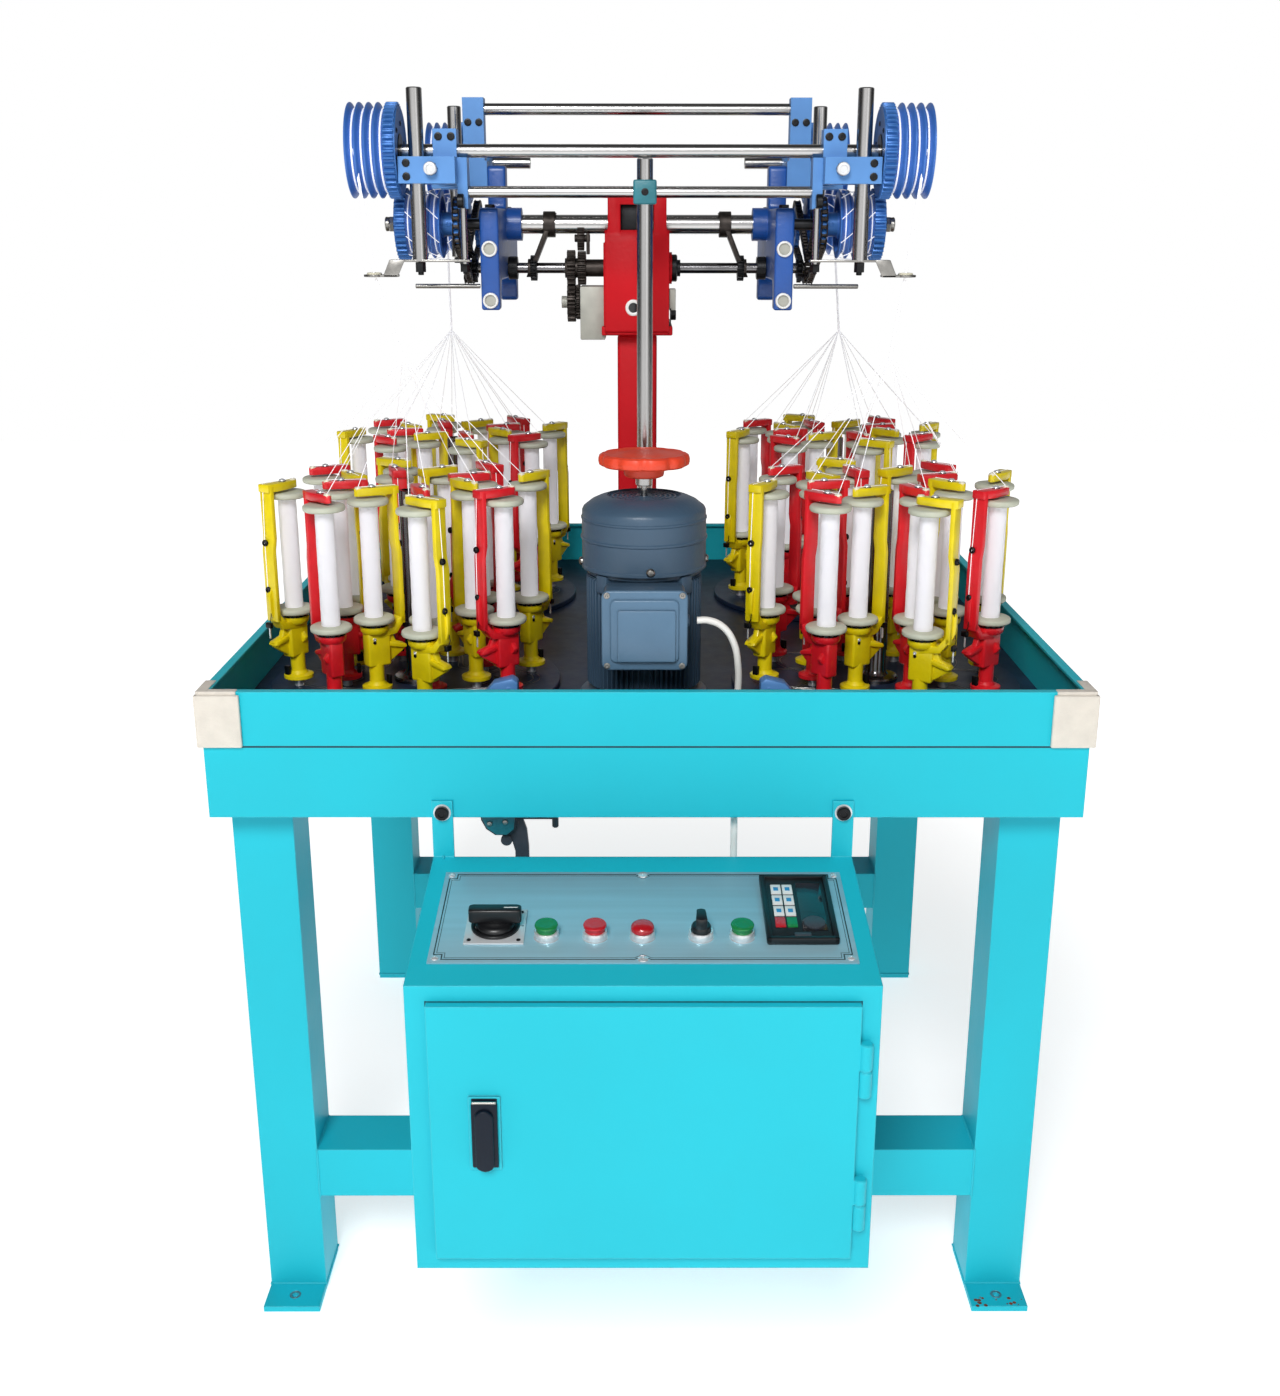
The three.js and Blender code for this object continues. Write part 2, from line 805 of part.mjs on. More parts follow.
function button(place, bottom) {
  const x = place - cabinetX;
  return barZ(x, controlLine, bottom, buttonRise + buttonHeight, buttonRadius, coarseRound);
}

function selectorKnob() {
  const x = selectorX - cabinetX;
  const top = buttonRise + buttonHeight;
  const lever = box(
    x - knobLeverWidth / 2, x + knobLeverWidth / 2, controlLine - buttonRadius, controlLine + buttonRadius,
    top - bite, top + knobLeverHeight,
  );
  return join(button(selectorX, gap), lever);
}

function mainSwitchKnob() {
  const x = mainSwitchX - cabinetX;
  const base = plateTop + switchPlateThick + gap;
  const back = mainSwitchLine - switchLeverLength / 2;
  const front = mainSwitchLine + switchLeverLength / 2;
  const half = switchLeverWidth / 2;
  const lever = [
    [x - half, back], [x + half, back], [x + half, mainSwitchLine], [x + half / 2, front],
    [x - half / 2, front], [x - half, mainSwitchLine],
  ];
  return join(
    barZ(x, mainSwitchLine, base, base + switchCollarHeight, switchCollar, fineRound),
    plateZ(lever, base + switchCollarHeight - bite, base + switchLeverHeight),
  );
}

function keypad() {
  const x = keypadX - cabinetX;
  const left = x - keypadWidth / 2;
  const right = x + keypadWidth / 2;
  const front = keypadLine - keypadDepth / 2;
  const back = keypadLine + keypadDepth / 2;
  const base = plateTop + gap;
  const top = base + keypadThick;
  const floor = top - keypadRecess;
  const frame = box(left, right, front, back, base, top);
  const well = box(
    left + keypadFrame, right - keypadFrame, front + keypadFrame, back - keypadFrame, floor, top + overrun,
  );
  const raised = [barZ(
    right - keypadFrame - dialRadius - keyHeight, front + keypadFrame + dialRadius + keyHeight,
    floor - bite, floor + dialHeight, dialRadius, mediumRound,
  )];
  const columnX = left + keypadFrame + keyHeight;
  for (const column of [0, 1]) {
    for (let row = 0; row < keyRows; row++) {
      const keyX = columnX + column * keyPitch;
      const keyY = front + keypadFrame + keyHeight + row * keyPitch;
      raised.push(box(keyX, keyX + keySize, keyY, keyY + keySize, floor - bite, floor + keyHeight));
    }
  }
  const screenFront = front + keypadFrame + keyRows * keyPitch + keyHeight * 2;
  raised.push(box(
    columnX, right - keypadFrame - keyHeight, screenFront, back - keypadFrame - keyHeight,
    floor - bite, floor + keyHeight,
  ));
  return join(cut(frame, well), ...raised);
}

add('console_plate', consolePlate(), 'brushedSteel', consoleGroup);
add('start_button', button(startX, buttonRise), 'greenPlastic', consoleGroup);
add('stop_button', button(stopX, buttonRise), 'redPlastic', consoleGroup);
add('pilot_lamp', button(lampX, gap), 'redPlastic', consoleGroup);
add('selector_knob', selectorKnob(), 'blackPlastic', consoleGroup);
add('jog_button', button(jogX, buttonRise), 'greenPlastic', consoleGroup);
add('main_switch_knob', mainSwitchKnob(), 'blackPlastic', consoleGroup);
add('keypad', keypad(), 'blackPlastic', consoleGroup);

// Motor: finned body on a flange, fan cover, terminal box and handwheel
const boxLeft = motorX + boxShift - boxWidth / 2;
const boxRight = boxLeft + boxWidth;
const boxBack = motorY - motorRadius - gap;

function motorHousing() {
  const base = deckTop + gap;
  const points = [];
  const valley = motorRadius - finDepth;
  for (let i = 0; i < finCount; i++) {
    const start = 2 * Math.PI * (i - 1 / 4) / finCount;
    const half = Math.PI / finCount;
    for (const [radius, angle] of [
      [motorRadius, start], [motorRadius, start + half], [valley, start + half], [valley, start + half * 2],
    ]) {
      points.push([motorX + radius * Math.sin(angle), motorY - radius * Math.cos(angle)]);
    }
  }
  const seat = box(
    boxLeft + boxSeatInset, boxRight - boxSeatInset, motorY - motorRadius, motorY - motorRadius / 2,
    boxBottom + boxSeatInset, motorTop,
  );
  const flange = barZ(motorX, motorY, base, base + motorFlangeThick, motorFlangeRadius, fineRound);
  const boreTop = base + rotorSeat + runGap;
  const boreRadius = holeRound(rotorRadius + runGap, mediumRound);
  const bore = barZ(motorX, motorY, base - overrun, boreTop, boreRadius, mediumRound);
  return cut(join(plateZ(points, base + bite, motorTop), flange, seat), bore);
}

function fanCover() {
  const base = motorTop + gap;
  const body = turned([
    [0, base], [coverRadius, base], [coverRadius, coverShoulder], [coverTopRadius, coverTop], [0, coverTop],
  ], fineRound);
  const inside = coverRadius - coverWall;
  const hollow = turned([
    [0, base - overrun], [inside, base - overrun], [inside, coverShoulder],
    [coverTopRadius - coverWall, coverTop - coverWall], [0, coverTop - coverWall],
  ], fineRound);
  const shell = cut(body, hollow, barZ(0, 0, coverShoulder, coverTop + overrun, coverHole, coarseRound));
  return shell.translate([motorX, motorY, 0]);
}

function terminalBox() {
  const body = box(boxLeft, boxRight, boxFrontY + boxLid, boxBack, boxBottom, boxTop);
  const lid = box(
    boxLeft + boxLidInset, boxRight - boxLidInset, boxFrontY, boxFrontY + boxLid + bite,
    boxBottom + boxLidInset, boxTop - boxLidInset,
  );
  const screws = [];
  const face = boxFrontY + boxLid;
  for (const x of [boxLeft + boxLid, boxRight - boxLid]) {
    for (const z of [boxBottom + boxLid, boxTop - boxLid]) {
      screws.push(barY(x, face - screwHeight, face + bite, z, screwRadius, hexRound));
    }
  }
  const glandEnd = cableExitX + cableGlandLength;
  const gland = barX(cableExitX - bite, glandEnd, cableExitY, cableExitZ, cableGland, coarseRound);
  return join(body, lid, ...screws, gland);
}

function handwheel() {
  const points = [];
  const steps = wheelScallops * 3;
  for (let i = 0; i < steps; i++) {
    const angle = 2 * Math.PI * i / steps;
    const radius = wheelRadius - (i % 3 === 0 ? wheelScallopDepth : 0);
    points.push([motorX + radius * Math.cos(angle), motorY + radius * Math.sin(angle)]);
  }
  return join(
    plateZ(points, wheelBottom, wheelBottom + wheelThick),
    barZ(motorX, motorY, hubBottom, wheelBottom + bite, hubRadius, mediumRound),
    barZ(motorX, motorY, motorTop + gap, hubBottom + bite, wheelShaftRadius, coarseRound),
  );
}

function motorPulley() {
  const bottom = pulleyTop - pulleyHeight;
  return join(
    barZ(motorX, motorY, bottom, pulleyTop, pulleyRadius, fineRound),
    barZ(motorX, motorY, pulleyTop - bite, deckTop + gap + rotorSeat, rotorRadius, mediumRound),
  );
}

// The cable's route, point by point: out of the box, over in an arc, down through the deck and the
// band, and forward into the back of the cabinet.
function motorCable() {
  const start = cableExitX + cableGlandLength + gap;
  const route = [
    [start, cableExitY, cableExitZ],
    ...cableArc.map(([out, down]) => [start + out, cableExitY, cableExitZ - down]),
    ...cableDrop.map(([x, y, z]) => [cableDeckX + x, cableDeckY + y, deckTop + z]),
    ...cableTuck.map(([x, y, z]) => [cableEndX + x, cableDeckY + y, bandBottom + z]),
    ...cableLast.map(([y, z]) => [cableEndX, y, cableEndZ + z]),
  ];
  const points = route.map(point => new THREE.Vector3(...point));
  const curve = new THREE.CatmullRomCurve3(points, false, 'centripetal');
  const section = [];
  const around = 8;
  for (let i = 0; i < around; i++) {
    const angle = 2 * Math.PI * i / around;
    section.push([cableRadius * Math.cos(angle), cableRadius * Math.sin(angle)]);
  }
  const path = { steps: cableSteps, extrudePath: curve, bevelEnabled: false };
  return solid(new THREE.ExtrudeGeometry(shapeOf(section), path));
}

add('motor_housing', motorHousing(), 'motorPaint');
add('fan_cover', fanCover(), 'motorPaint');
add('terminal_box', terminalBox(), 'motorPaint');
add('handwheel', handwheel(), 'orangePaint');
add('motor_pulley', motorPulley(), 'darkSteel');
add('motor_cable', motorCable(), 'cableWhite');

// Upright shaft in the column, driven by the belt under the deck
const driveHole = holeRound(driveRadius + runGap, coarseRound);
const uprightTop = columnTop - columnFootThick;

function uprightShaft() {
  const bottom = pulleyTop - pulleyHeight;
  return join(
    barZ(takeupX, columnY, bottom, pulleyTop, uprightPulleyRadius, fineRound),
    barZ(takeupX, columnY, pulleyTop - bite, uprightTop, uprightRadius, coarseRound),
  );
}

function beltLoop(extra) {
  const from = new THREE.Vector2(motorX, motorY);
  const to = new THREE.Vector2(takeupX, columnY);
  const span = to.clone().sub(from);
  const heading = Math.atan2(span.y, span.x);
  const small = pulleyRadius + extra;
  const large = uprightPulleyRadius + extra;
  const lean = Math.asin((large - small) / span.length());
  const points = [];
  const steps = mediumRound;
  const largeStart = heading - Math.PI / 2 - lean;
  const largeSweep = Math.PI + 2 * lean;
  for (let i = 0; i <= steps; i++) {
    const angle = largeStart + largeSweep * i / steps;
    points.push([to.x + large * Math.cos(angle), to.y + large * Math.sin(angle)]);
  }
  const smallStart = largeStart + largeSweep;
  const smallSweep = Math.PI - 2 * lean;
  for (let i = 0; i <= steps; i++) {
    const angle = smallStart + smallSweep * i / steps;
    points.push([from.x + small * Math.cos(angle), from.y + small * Math.sin(angle)]);
  }
  return points;
}

function driveBelt() {
  const bottom = pulleyTop - (pulleyHeight + beltWidth) / 2;
  return cut(
    plateZ(beltLoop(beltGap + beltThick), bottom, bottom + beltWidth),
    plateZ(beltLoop(beltGap), bottom - overrun, bottom + beltWidth + overrun),
  );
}

function column() {
  const half = columnSide / 2;
  const inner = half - columnWall;
  const footHalf = columnFoot / 2;
  const base = deckTop + gap;
  const top = columnTop - gap;
  return cut(
    join(
      box(takeupX - half, takeupX + half, columnY - half, columnY + half, base, top),
      box(
        takeupX - footHalf, takeupX + footHalf, columnY - footHalf, columnY + footHalf,
        base, base + columnFootThick,
      ),
    ),
    box(
      takeupX - inner, takeupX + inner, columnY - inner, columnY + inner, base - overrun, top + overrun,
    ),
  );
}

function gearbox() {
  const half = gearboxWidth / 2;
  const front = columnY - gearboxDepth / 2;
  const back = columnY + gearboxDepth / 2;
  const flangeHalf = half + gearboxFlangeLip;
  const notchHalf = notchWidth / 2;
  const outline = [
    [front + bevel, columnTop + bevel],
    [back - bevel, columnTop + bevel],
    [back, driveZ],
    [back - bevel, gearboxTop],
    [front + bevel, gearboxTop],
    [front, driveZ],
  ];
  const body = join(
    plateX(outline, takeupX - half, takeupX + half),
    box(
      takeupX - flangeHalf, takeupX + flangeHalf, front - bite, back + bite,
      columnTop, columnTop + gearboxFlange,
    ),
    barY(takeupX + sightX, front - screwHeight, columnY, sightZ, sightRadius, coarseRound),
    barX(takeupX + half - bite, takeupX + half + capLength, columnY, driveZ, capRadius, coarseRound),
    box(
      takeupX - half + bite, takeupX - supportHalf - supportWidth, front + bevel * 2, columnY + bevel * 2,
      supportBottom, supportTop,
    ),
  );
  const stub = barX(
    takeupX - supportHalf - supportWidth + bite, takeupX - changeWheelHalf - changeWheelWidth - capLength,
    columnY, driveZ - idlerDrop, uprightRadius, coarseRound,
  );
  return cut(
    join(body, stub),
    box(
      takeupX - notchHalf, takeupX + notchHalf, front - overrun, back + overrun,
      gearboxTop - notchDepth, gearboxTop + overrun,
    ),
    barX(takeupX - half - overrun, takeupX + half + overrun, columnY, beamZ, beamRadius + gap, mediumRound),
    barX(
      takeupX - half - capLength - overrun, takeupX + half + capLength + overrun,
      columnY, driveZ, driveHole, coarseRound,
    ),
  );
}

function centrePost() {
  const half = clampSide / 2;
  const postTop = upperZ - capstanBarRadius - gap;
  const block = cut(
    box(postX - half, postX + half, postY - half, postY + half, lowBarZ - half, lowBarZ + half),
    barX(postX - half - overrun, postX + half + overrun, postY, lowBarZ, lowBarRadius + runGap, coarseRound),
  );
  const lower = barZ(postX, postY, deckTop + gap, lowBarZ - lowBarRadius - runGap, postRadius, mediumRound);
  const upper = barZ(postX, postY, lowBarZ + lowBarRadius + runGap, postTop, postRadius, mediumRound);
  return join(block, lower, upper);
}

add('upright_shaft', uprightShaft(), 'darkSteel');
add('drive_belt', driveBelt(), 'rubber');
add('column', column(), 'redPaint');
add('gearbox', gearbox(), 'redPaint');
add('centre_post', centrePost(), 'chrome');

// Take-up frame: beam, tie bars, side brackets and mid blocks
function mainBeam() {
  const pieces = [barX(takeupX - beamHalf, takeupX + beamHalf, columnY, beamZ, beamRadius, mediumRound)];
  const armHalfWidth = armWidth / 2;
  const hubZ = driveZ;
  const outline = [
    [columnY - armHalfWidth, beamZ],
    [columnY - armWidth, (beamZ + hubZ) / 2],
    [columnY - armHalfWidth, hubZ - armHalfWidth],
    [columnY + armHalfWidth, hubZ - armHalfWidth],
    [columnY, (beamZ + hubZ) / 2],
    [columnY + armHalfWidth, beamZ],
  ];
  for (const side of Object.values(sides)) {
    const x = takeupX + side * armHalf;
    const arm = plateX(outline, x - armThick / 2, x + armThick / 2);
    const bore = barX(x - armThick, x + armThick, columnY, hubZ, driveHole, coarseRound);
    pieces.push(cut(arm, bore));
  }
  return join(...pieces);
}

function sideBracket(side) {
  const inner = takeupX + side * bracketHalf;
  const outer = inner + side * bracketThick;
  const frontLower = frontCapstanY + lowerOffsetY;
  const rearLower = rearY - lowerOffsetY;
  const back = rearLower + frontLower - bracketFrontY;
  const lugHalf = lugWidth / 2;
  const outline = [
    [bracketFrontY, bracketBottom],
    [bracketFrontY + bracketLeg, bracketBottom],
    [bracketFrontY + bracketLeg, bracketArch],
    [back - bracketLeg, bracketArch],
    [back - bracketLeg, bracketBottom],
    [back, bracketBottom],
    [back, bracketTop],
    [columnY + lugHalf, bracketTop],
    [columnY + lugHalf, lugTop],
    [columnY - lugHalf, lugTop],
    [columnY - lugHalf, bracketTop],
    [bracketFrontY, bracketTop],
  ];
  const pieces = [
    plateX(outline, inner, outer),
    barX(inner + side * bite, inner - side * bossLength, columnY, beamZ, bossRadius, mediumRound),
  ];
  const bores = [
    barX(
      outer + side * overrun, inner - side * (bossLength + overrun), columnY, beamZ,
      beamRadius + gap, mediumRound,
    ),
    barX(outer + side * overrun, inner - side * overrun, columnY, driveZ, driveHole, coarseRound),
  ];
  for (const z of [ringHighZ, ringLowZ]) {
    const x = (inner + outer) / 2;
    pieces.push(barY(x, bracketFrontY - ringLength, bracketFrontY + bite, z, ringRadius, coarseRound));
    bores.push(
      barY(x, bracketFrontY - ringLength - overrun, bracketFrontY + ringLength, z, ringBore, coarseRound),
    );
  }
  const axles = [
    [frontLower, frontX, frontGearHalf + gearWidth],
    [rearLower, takeupX, rearGearHalf + gearWidth + drumWidth],
  ];
  for (const [y, centreX, end] of axles) {
    const washer = centreX + side * (end + runGap);
    const tip = washer + side * (washerWidth + axleEnd);
    pieces.push(barX(outer - side * bite, tip, y, lowerZ, lowerAxleRadius, coarseRound));
    pieces.push(barX(washer, washer + side * washerWidth, y, lowerZ, washerRadius, coarseRound));
  }
  return cut(join(...pieces), ...bores);
}

function midBlock(side) {
  const at = half => takeupX + side * half;
  const front = columnY - midDepth / 2;
  const back = columnY + midDepth / 2;
  const footInner = bracketHalf + bracketThick + gap;
  return cut(
    join(
      box(at(midInner), at(midOuter), front, back, lugTop + gap, midTop),
      box(at(footInner), at(midFootOuter), front, back, midFootBottom, midFootTop),
    ),
    barX(at(midInner - overrun), at(midOuter + overrun), columnY, tieZ, tieRadius + gap, coarseRound),
    barY(at(rodHalf), front - overrun, back + overrun, rodZ, rodRadius + gap, coarseRound),
  );
}

function frontClamp(side) {
  const at = half => frontX + side * half;
  const rodX = takeupX + side * rodHalf;
  const pieces = [
    box(at(clampInner), at(clampOuter), clampFrontY, clampBackY, clampBottom, clampTop),
    box(
      at(clampInner), at(clampSplit), frontCapstanY - midDepth / 2, clampBackY, clampTop - bite, clampCrown,
    ),
    box(
      at(hangerInner), at(clampInner + bite), frontCapstanY - midDepth / 2, clampBackY,
      hangerBottom, clampTop,
    ),
  ];
  const holes = [
    barX(
      at(clampInner - overrun), at(clampOuter + overrun), frontCapstanY, upperZ,
      capstanBarRadius + gap, coarseRound,
    ),
    barX(
      at(hangerInner - overrun), at(clampInner + overrun), frontCapstanY, lowBarZ,
      lowBarRadius + gap, coarseRound,
    ),
    barY(rodX, clampFrontY - overrun, clampBackY + overrun, rodZ, rodRadius + gap, coarseRound),
    barZ(at(guideHalf), guideY, clampBottom - overrun, clampTop + overrun, guideRadius + gap, coarseRound),
  ];
  return cut(join(...pieces), ...holes);
}

// Front posts carry a Z-bent guide arm with a ring at its end, held by a nut.
function frontPost(side) {
  const at = half => frontX + side * half;
  const armTop = guideBottom + guideNutHeight + armPlate;
  const armBase = guideBottom + guideNutHeight;
  const front = guideY - armPlateWidth / 2;
  const back = guideY + armPlateWidth / 2;
  const bend = guideHalf + armPlateWidth;
  const outer = armOuter - armRing;
  const profile = [
    [at(armInner), armBase], [at(armInner), armTop], [at(bend), armTop],
    [at(outer), armTop - armDrop], [at(armOuter), armTop - armDrop],
    [at(armOuter), armBase - armDrop], [at(outer - armPlate), armBase - armDrop],
    [at(bend - armPlate), armBase],
  ];
  const ordered = side > 0 ? profile : profile.slice().reverse();
  const ringX = at(armOuter);
  return cut(
    join(
      barZ(at(guideHalf), guideY, guideBottom + bite, guideTop, guideRadius, coarseRound),
      barZ(
        at(guideHalf), guideY, guideBottom - guideNutHeight, guideBottom + guideNutHeight,
        guideNut / 2, hexRound,
      ),
      plateY(ordered, front, back),
      barZ(ringX, guideY, armBase - armDrop, armTop - armDrop, armRing, coarseRound),
    ),
    barZ(ringX, guideY, armBase - armDrop - overrun, armTop - armDrop + overrun, armRingBore, coarseRound),
  );
}

// Rear clamps carry the slide rod, the rear post and the stub axle of the rear capstan.
function rearClamp(side) {
  const at = half => takeupX + side * half;
  const rearReach = rearGearHalf + gearWidth + drumWidth;
  const inner = hangerInner;
  return join(
    box(at(inner), at(rearBlockOuter), rearBlockFront, rearBlockBack, clampBottom, clampTop),
    box(at(inner), at(rearArmOuter), rearBlockFront, rearArmBack, clampBottom + bevel, clampCrown),
    barY(at(rodHalf), rodFrontY, rearBlockFront + bite, rodZ, rodRadius, coarseRound),
    barZ(at(rearPostHalf), rearPostY, guideBottom, guideTop, guideRadius, coarseRound),
    barZ(
      at(rearPostHalf), rearPostY, guideBottom - guideNutHeight, guideBottom + bite,
      guideNut / 2, hexRound,
    ),
    barX(at(rearAxleInner), at(rearReach), rearY, upperZ, capstanBarRadius, coarseRound),
  );
}

const capstanReach = frontGearHalf + gearWidth + drumWidth;
add('main_beam', mainBeam(), 'chrome');
add(
  'upper_tie_bar',
  barX(takeupX - midOuter, takeupX + midOuter, columnY, tieZ, tieRadius, coarseRound),
  'chrome',
);
add(
  'front_capstan_bar',
  barX(frontX - capstanReach, frontX + capstanReach, frontCapstanY, upperZ, capstanBarRadius, coarseRound),
  'chrome',
);
add(
  'lower_tie_bar',
  barX(frontX - clampInner, frontX + clampInner, frontCapstanY, lowBarZ, lowBarRadius, coarseRound),
  'chrome',
);
for (const [name, side] of Object.entries(sides)) {
  add(`side_bracket_${name}`, sideBracket(side), 'bracketBlue');
  add(`mid_block_${name}`, midBlock(side), 'clampBlue');
  add(`front_clamp_${name}`, frontClamp(side), 'clampBlue');
  add(`front_post_${name}`, frontPost(side), 'chrome');
  add(`rear_clamp_${name}`, rearClamp(side), 'clampBlue');
}

// A chain wheel's outline, with pointed teeth, as [Y, Z] points
function sprocketOutline(teeth, radius, tooth, y, z) {
  const points = [];
  for (let i = 0; i < teeth * 2; i++) {
    const r = radius + (i % 2 ? -tooth : tooth);
    const angle = Math.PI * i / teeth;
    points.push([y + r * Math.cos(angle), z + r * Math.sin(angle)]);
  }
  return points;
}

// Gear teeth with flat tips and pointed roots, three points to a tooth, as [Y, Z] points
function gearOutline(teeth, radius, tip, root, share, phase, y, z) {
  const points = [];
  const pitch = 2 * Math.PI / teeth;
  const halfTip = share * pitch / 2;
  for (let i = 0; i < teeth; i++) {
    const middle = phase + i * pitch;
    for (const [r, angle] of [
      [radius + tip, middle - halfTip], [radius + tip, middle + halfTip], [radius - root, middle + pitch / 2],
    ]) {
      points.push([y + r * Math.cos(angle), z + r * Math.sin(angle)]);
    }
  }
  return points;
}

// A grooved drum that starts in a groove beside its gear and ends in a ridge
function groovedDrum(xa, xb, y, z, radius) {
  const length = xb - xa;
  const step = Math.abs(length) / (grooveCount * 2 - 1);
  const profile = [[0, 0]];
  for (let i = 0; i < grooveCount * 2; i++) {
    profile.push([radius - (i % 2 ? 0 : grooveDepth), i * step]);
  }
  profile.push([0, Math.abs(length)]);
  const turn = length > 0 ? 90 : -90;
  return turned(profile, drumRound).rotate([0, turn, 0]).translate([xa, y, z]);
}

const capstanModule = 2 * Math.hypot(lowerOffsetY, upperZ - lowerZ) / (upperTeeth + lowerTeeth);
const upperPitch = capstanModule * upperTeeth / 2;
const lowerPitch = capstanModule * lowerTeeth / 2;

// The upper gear has a tooth on the line of centres, and the lower gear a gap.
function upperCapstan(side, centreX, y, gearHalf, lineAngle) {
  const at = half => centreX + side * half;
  const gearEnd = gearHalf + gearWidth;
  const teeth = gearOutline(upperTeeth, upperPitch, addendum, dedendum, tipShare, lineAngle, y, upperZ);
  const reach = gearEnd + drumWidth;
  const boreRadius = holeRound(capstanBarRadius + runGap, coarseRound);
  return cut(
    join(
      plateX(teeth, at(gearHalf), at(gearEnd)),
      groovedDrum(at(gearEnd - bite), at(reach), y, upperZ, upperDrumRadius),
    ),
    barX(at(gearHalf - overrun), at(reach + overrun), y, upperZ, boreRadius, coarseRound),
  );
}

function lowerCapstan(side, centreX, y, gearHalf, drumStart, drumEnd, lineAngle) {
  const at = half => centreX + side * half;
  const phase = lineAngle + Math.PI + Math.PI / lowerTeeth;
  const teeth = gearOutline(lowerTeeth, lowerPitch, addendum, dedendum, tipShare, phase, y, lowerZ);
  const ends = [gearHalf + gearWidth, drumStart, drumEnd];
  return cut(
    join(
      plateX(teeth, at(gearHalf), at(gearHalf + gearWidth)),
      groovedDrum(at(drumStart), at(drumEnd), y, lowerZ, lowerDrumRadius),
      barX(at(discHalf), at(Math.min(gearHalf, drumEnd) + bite), y, lowerZ, discRadius / 2, coarseRound),
      plateX(
        sprocketOutline(discTeeth, discRadius, sprocketTooth, y, lowerZ),
        at(discHalf), at(discHalf + discWidth),
      ),
    ),
    barX(
      at(discHalf - overrun), at(Math.max(...ends) + overrun), y, lowerZ,
      holeRound(lowerAxleRadius + runGap, coarseRound), coarseRound,
    ),
  );
}

const drop = lowerZ - upperZ;
for (const [name, side] of Object.entries(sides)) {
  const frontLine = Math.atan2(drop, lowerOffsetY);
  const rearLine = Math.atan2(drop, -lowerOffsetY);
  const frontLowerY = frontCapstanY + lowerOffsetY;
  const rearLowerY = rearY - lowerOffsetY;
  const gearEnd = rearGearHalf + gearWidth;
  const upperFront = upperCapstan(side, frontX, frontCapstanY, frontGearHalf, frontLine);
  const upperRear = upperCapstan(side, takeupX, rearY, rearGearHalf, rearLine);
  add(`upper_capstan_front_${name}`, upperFront, 'capstanBlue');
  add(`upper_capstan_rear_${name}`, upperRear, 'capstanBlue');
  add(
    `lower_capstan_front_${name}`,
    lowerCapstan(
      side, frontX, frontLowerY, frontGearHalf,
      frontGearHalf + bite, frontGearHalf - lowerDrumWidth, frontLine,
    ),
    'capstanBlue',
  );
  add(
    `lower_capstan_rear_${name}`,
    lowerCapstan(side, takeupX, rearLowerY, rearGearHalf, gearEnd - bite, gearEnd + drumWidth, rearLine),
    'capstanBlue',
  );
}

// Drive shaft with its sprockets, collars and change wheel, and the idler wheel under it
function driveShaft() {
  const pieces = [barX(takeupX - driveHalf, takeupX + driveHalf, columnY, driveZ, driveRadius, coarseRound)];
  const teeth = sprocketOutline(sprocketTeeth, sprocketRadius, sprocketTooth, columnY, driveZ);
  for (const side of Object.values(sides)) {
    const at = half => takeupX + side * half;
    pieces.push(plateX(teeth, at(sprocketHalf), at(sprocketHalf + sprocketWidth)));
    const hub = armHalf - armThick / 2 - runGap;
    pieces.push(barX(at(hub), at(hub - sprocketWidth), columnY, driveZ, sprocketRadius, coarseRound));
    const collar = bracketHalf - gap;
    pieces.push(barX(at(collar), at(collar - collarWidth), columnY, driveZ, collarRadius, coarseRound));
  }
  const radius = changeModule * changeTeeth / 2;
  const tip = changeModule * changeTipShare;
  const root = changeModule * changeRootShare;
  pieces.push(plateX(
    gearOutline(changeTeeth, radius, tip, root, tipShare, -Math.PI / 2, columnY, driveZ),
    takeupX - changeWheelHalf, takeupX - changeWheelHalf - changeWheelWidth,
  ));
  return join(...pieces);
}

function changeGear() {
  const z = driveZ - idlerDrop;
  const radius = changeModule * idlerTeeth / 2;
  const phase = Math.PI / 2 + Math.PI / idlerTeeth;
  const tip = changeModule * changeTipShare;
  const root = changeModule * changeRootShare;
  return cut(
    plateX(
      gearOutline(idlerTeeth, radius, tip, root, tipShare, phase, columnY, z),
      takeupX - changeWheelHalf, takeupX - changeWheelHalf - changeWheelWidth,
    ),
    barX(
      takeupX - changeWheelHalf + overrun, takeupX - changeWheelHalf - changeWheelWidth - overrun,
      columnY, z, holeRound(uprightRadius + runGap, coarseRound), coarseRound,
    ),
  );
}

add('drive_shaft', driveShaft(), 'darkSteel');
add('change_gear', changeGear(), 'darkSteel');

// Braiding heads: round track plate, centre tube and a ring of yarn carriers
const trackTop = deckTop + gap + trackThick;

// The carrier's frame: foot column, seat for the bobbin, flat upright and top latch arm
function carrierFrame(base) {
  const outer = uprightInner + uprightThick;
  const outline = [
    [-columnHalf, base],
    [columnHalf, base],
    [columnHalf, carrierArmZ],
    [outer, carrierArmZ + latchThick],
    [outer, carrierTop],
    [-latchReach, carrierTop],
    [-latchReach, carrierTop - latchThick],
    [uprightInner, carrierTop - latchThick],
    [uprightInner, carrierSeatZ],
    [-columnHalf, carrierSeatZ],
  ];
  return plateY(outline, -carrierThick / 2, carrierThick / 2);
}

function bobbinProfile(bottom) {
  return [
    [0, bottom],
    [bobbinRadius, bottom],
    [bobbinRadius, bobbinBottom + flangeHeight],
    [yarnRadius, bobbinBottom + flangeHeight],
    [yarnRadius, bobbinTop - flangeHeight],
    [bobbinRadius, bobbinTop - flangeHeight],
    [bobbinRadius, bobbinTop],
    [0, bobbinTop],
  ];
}

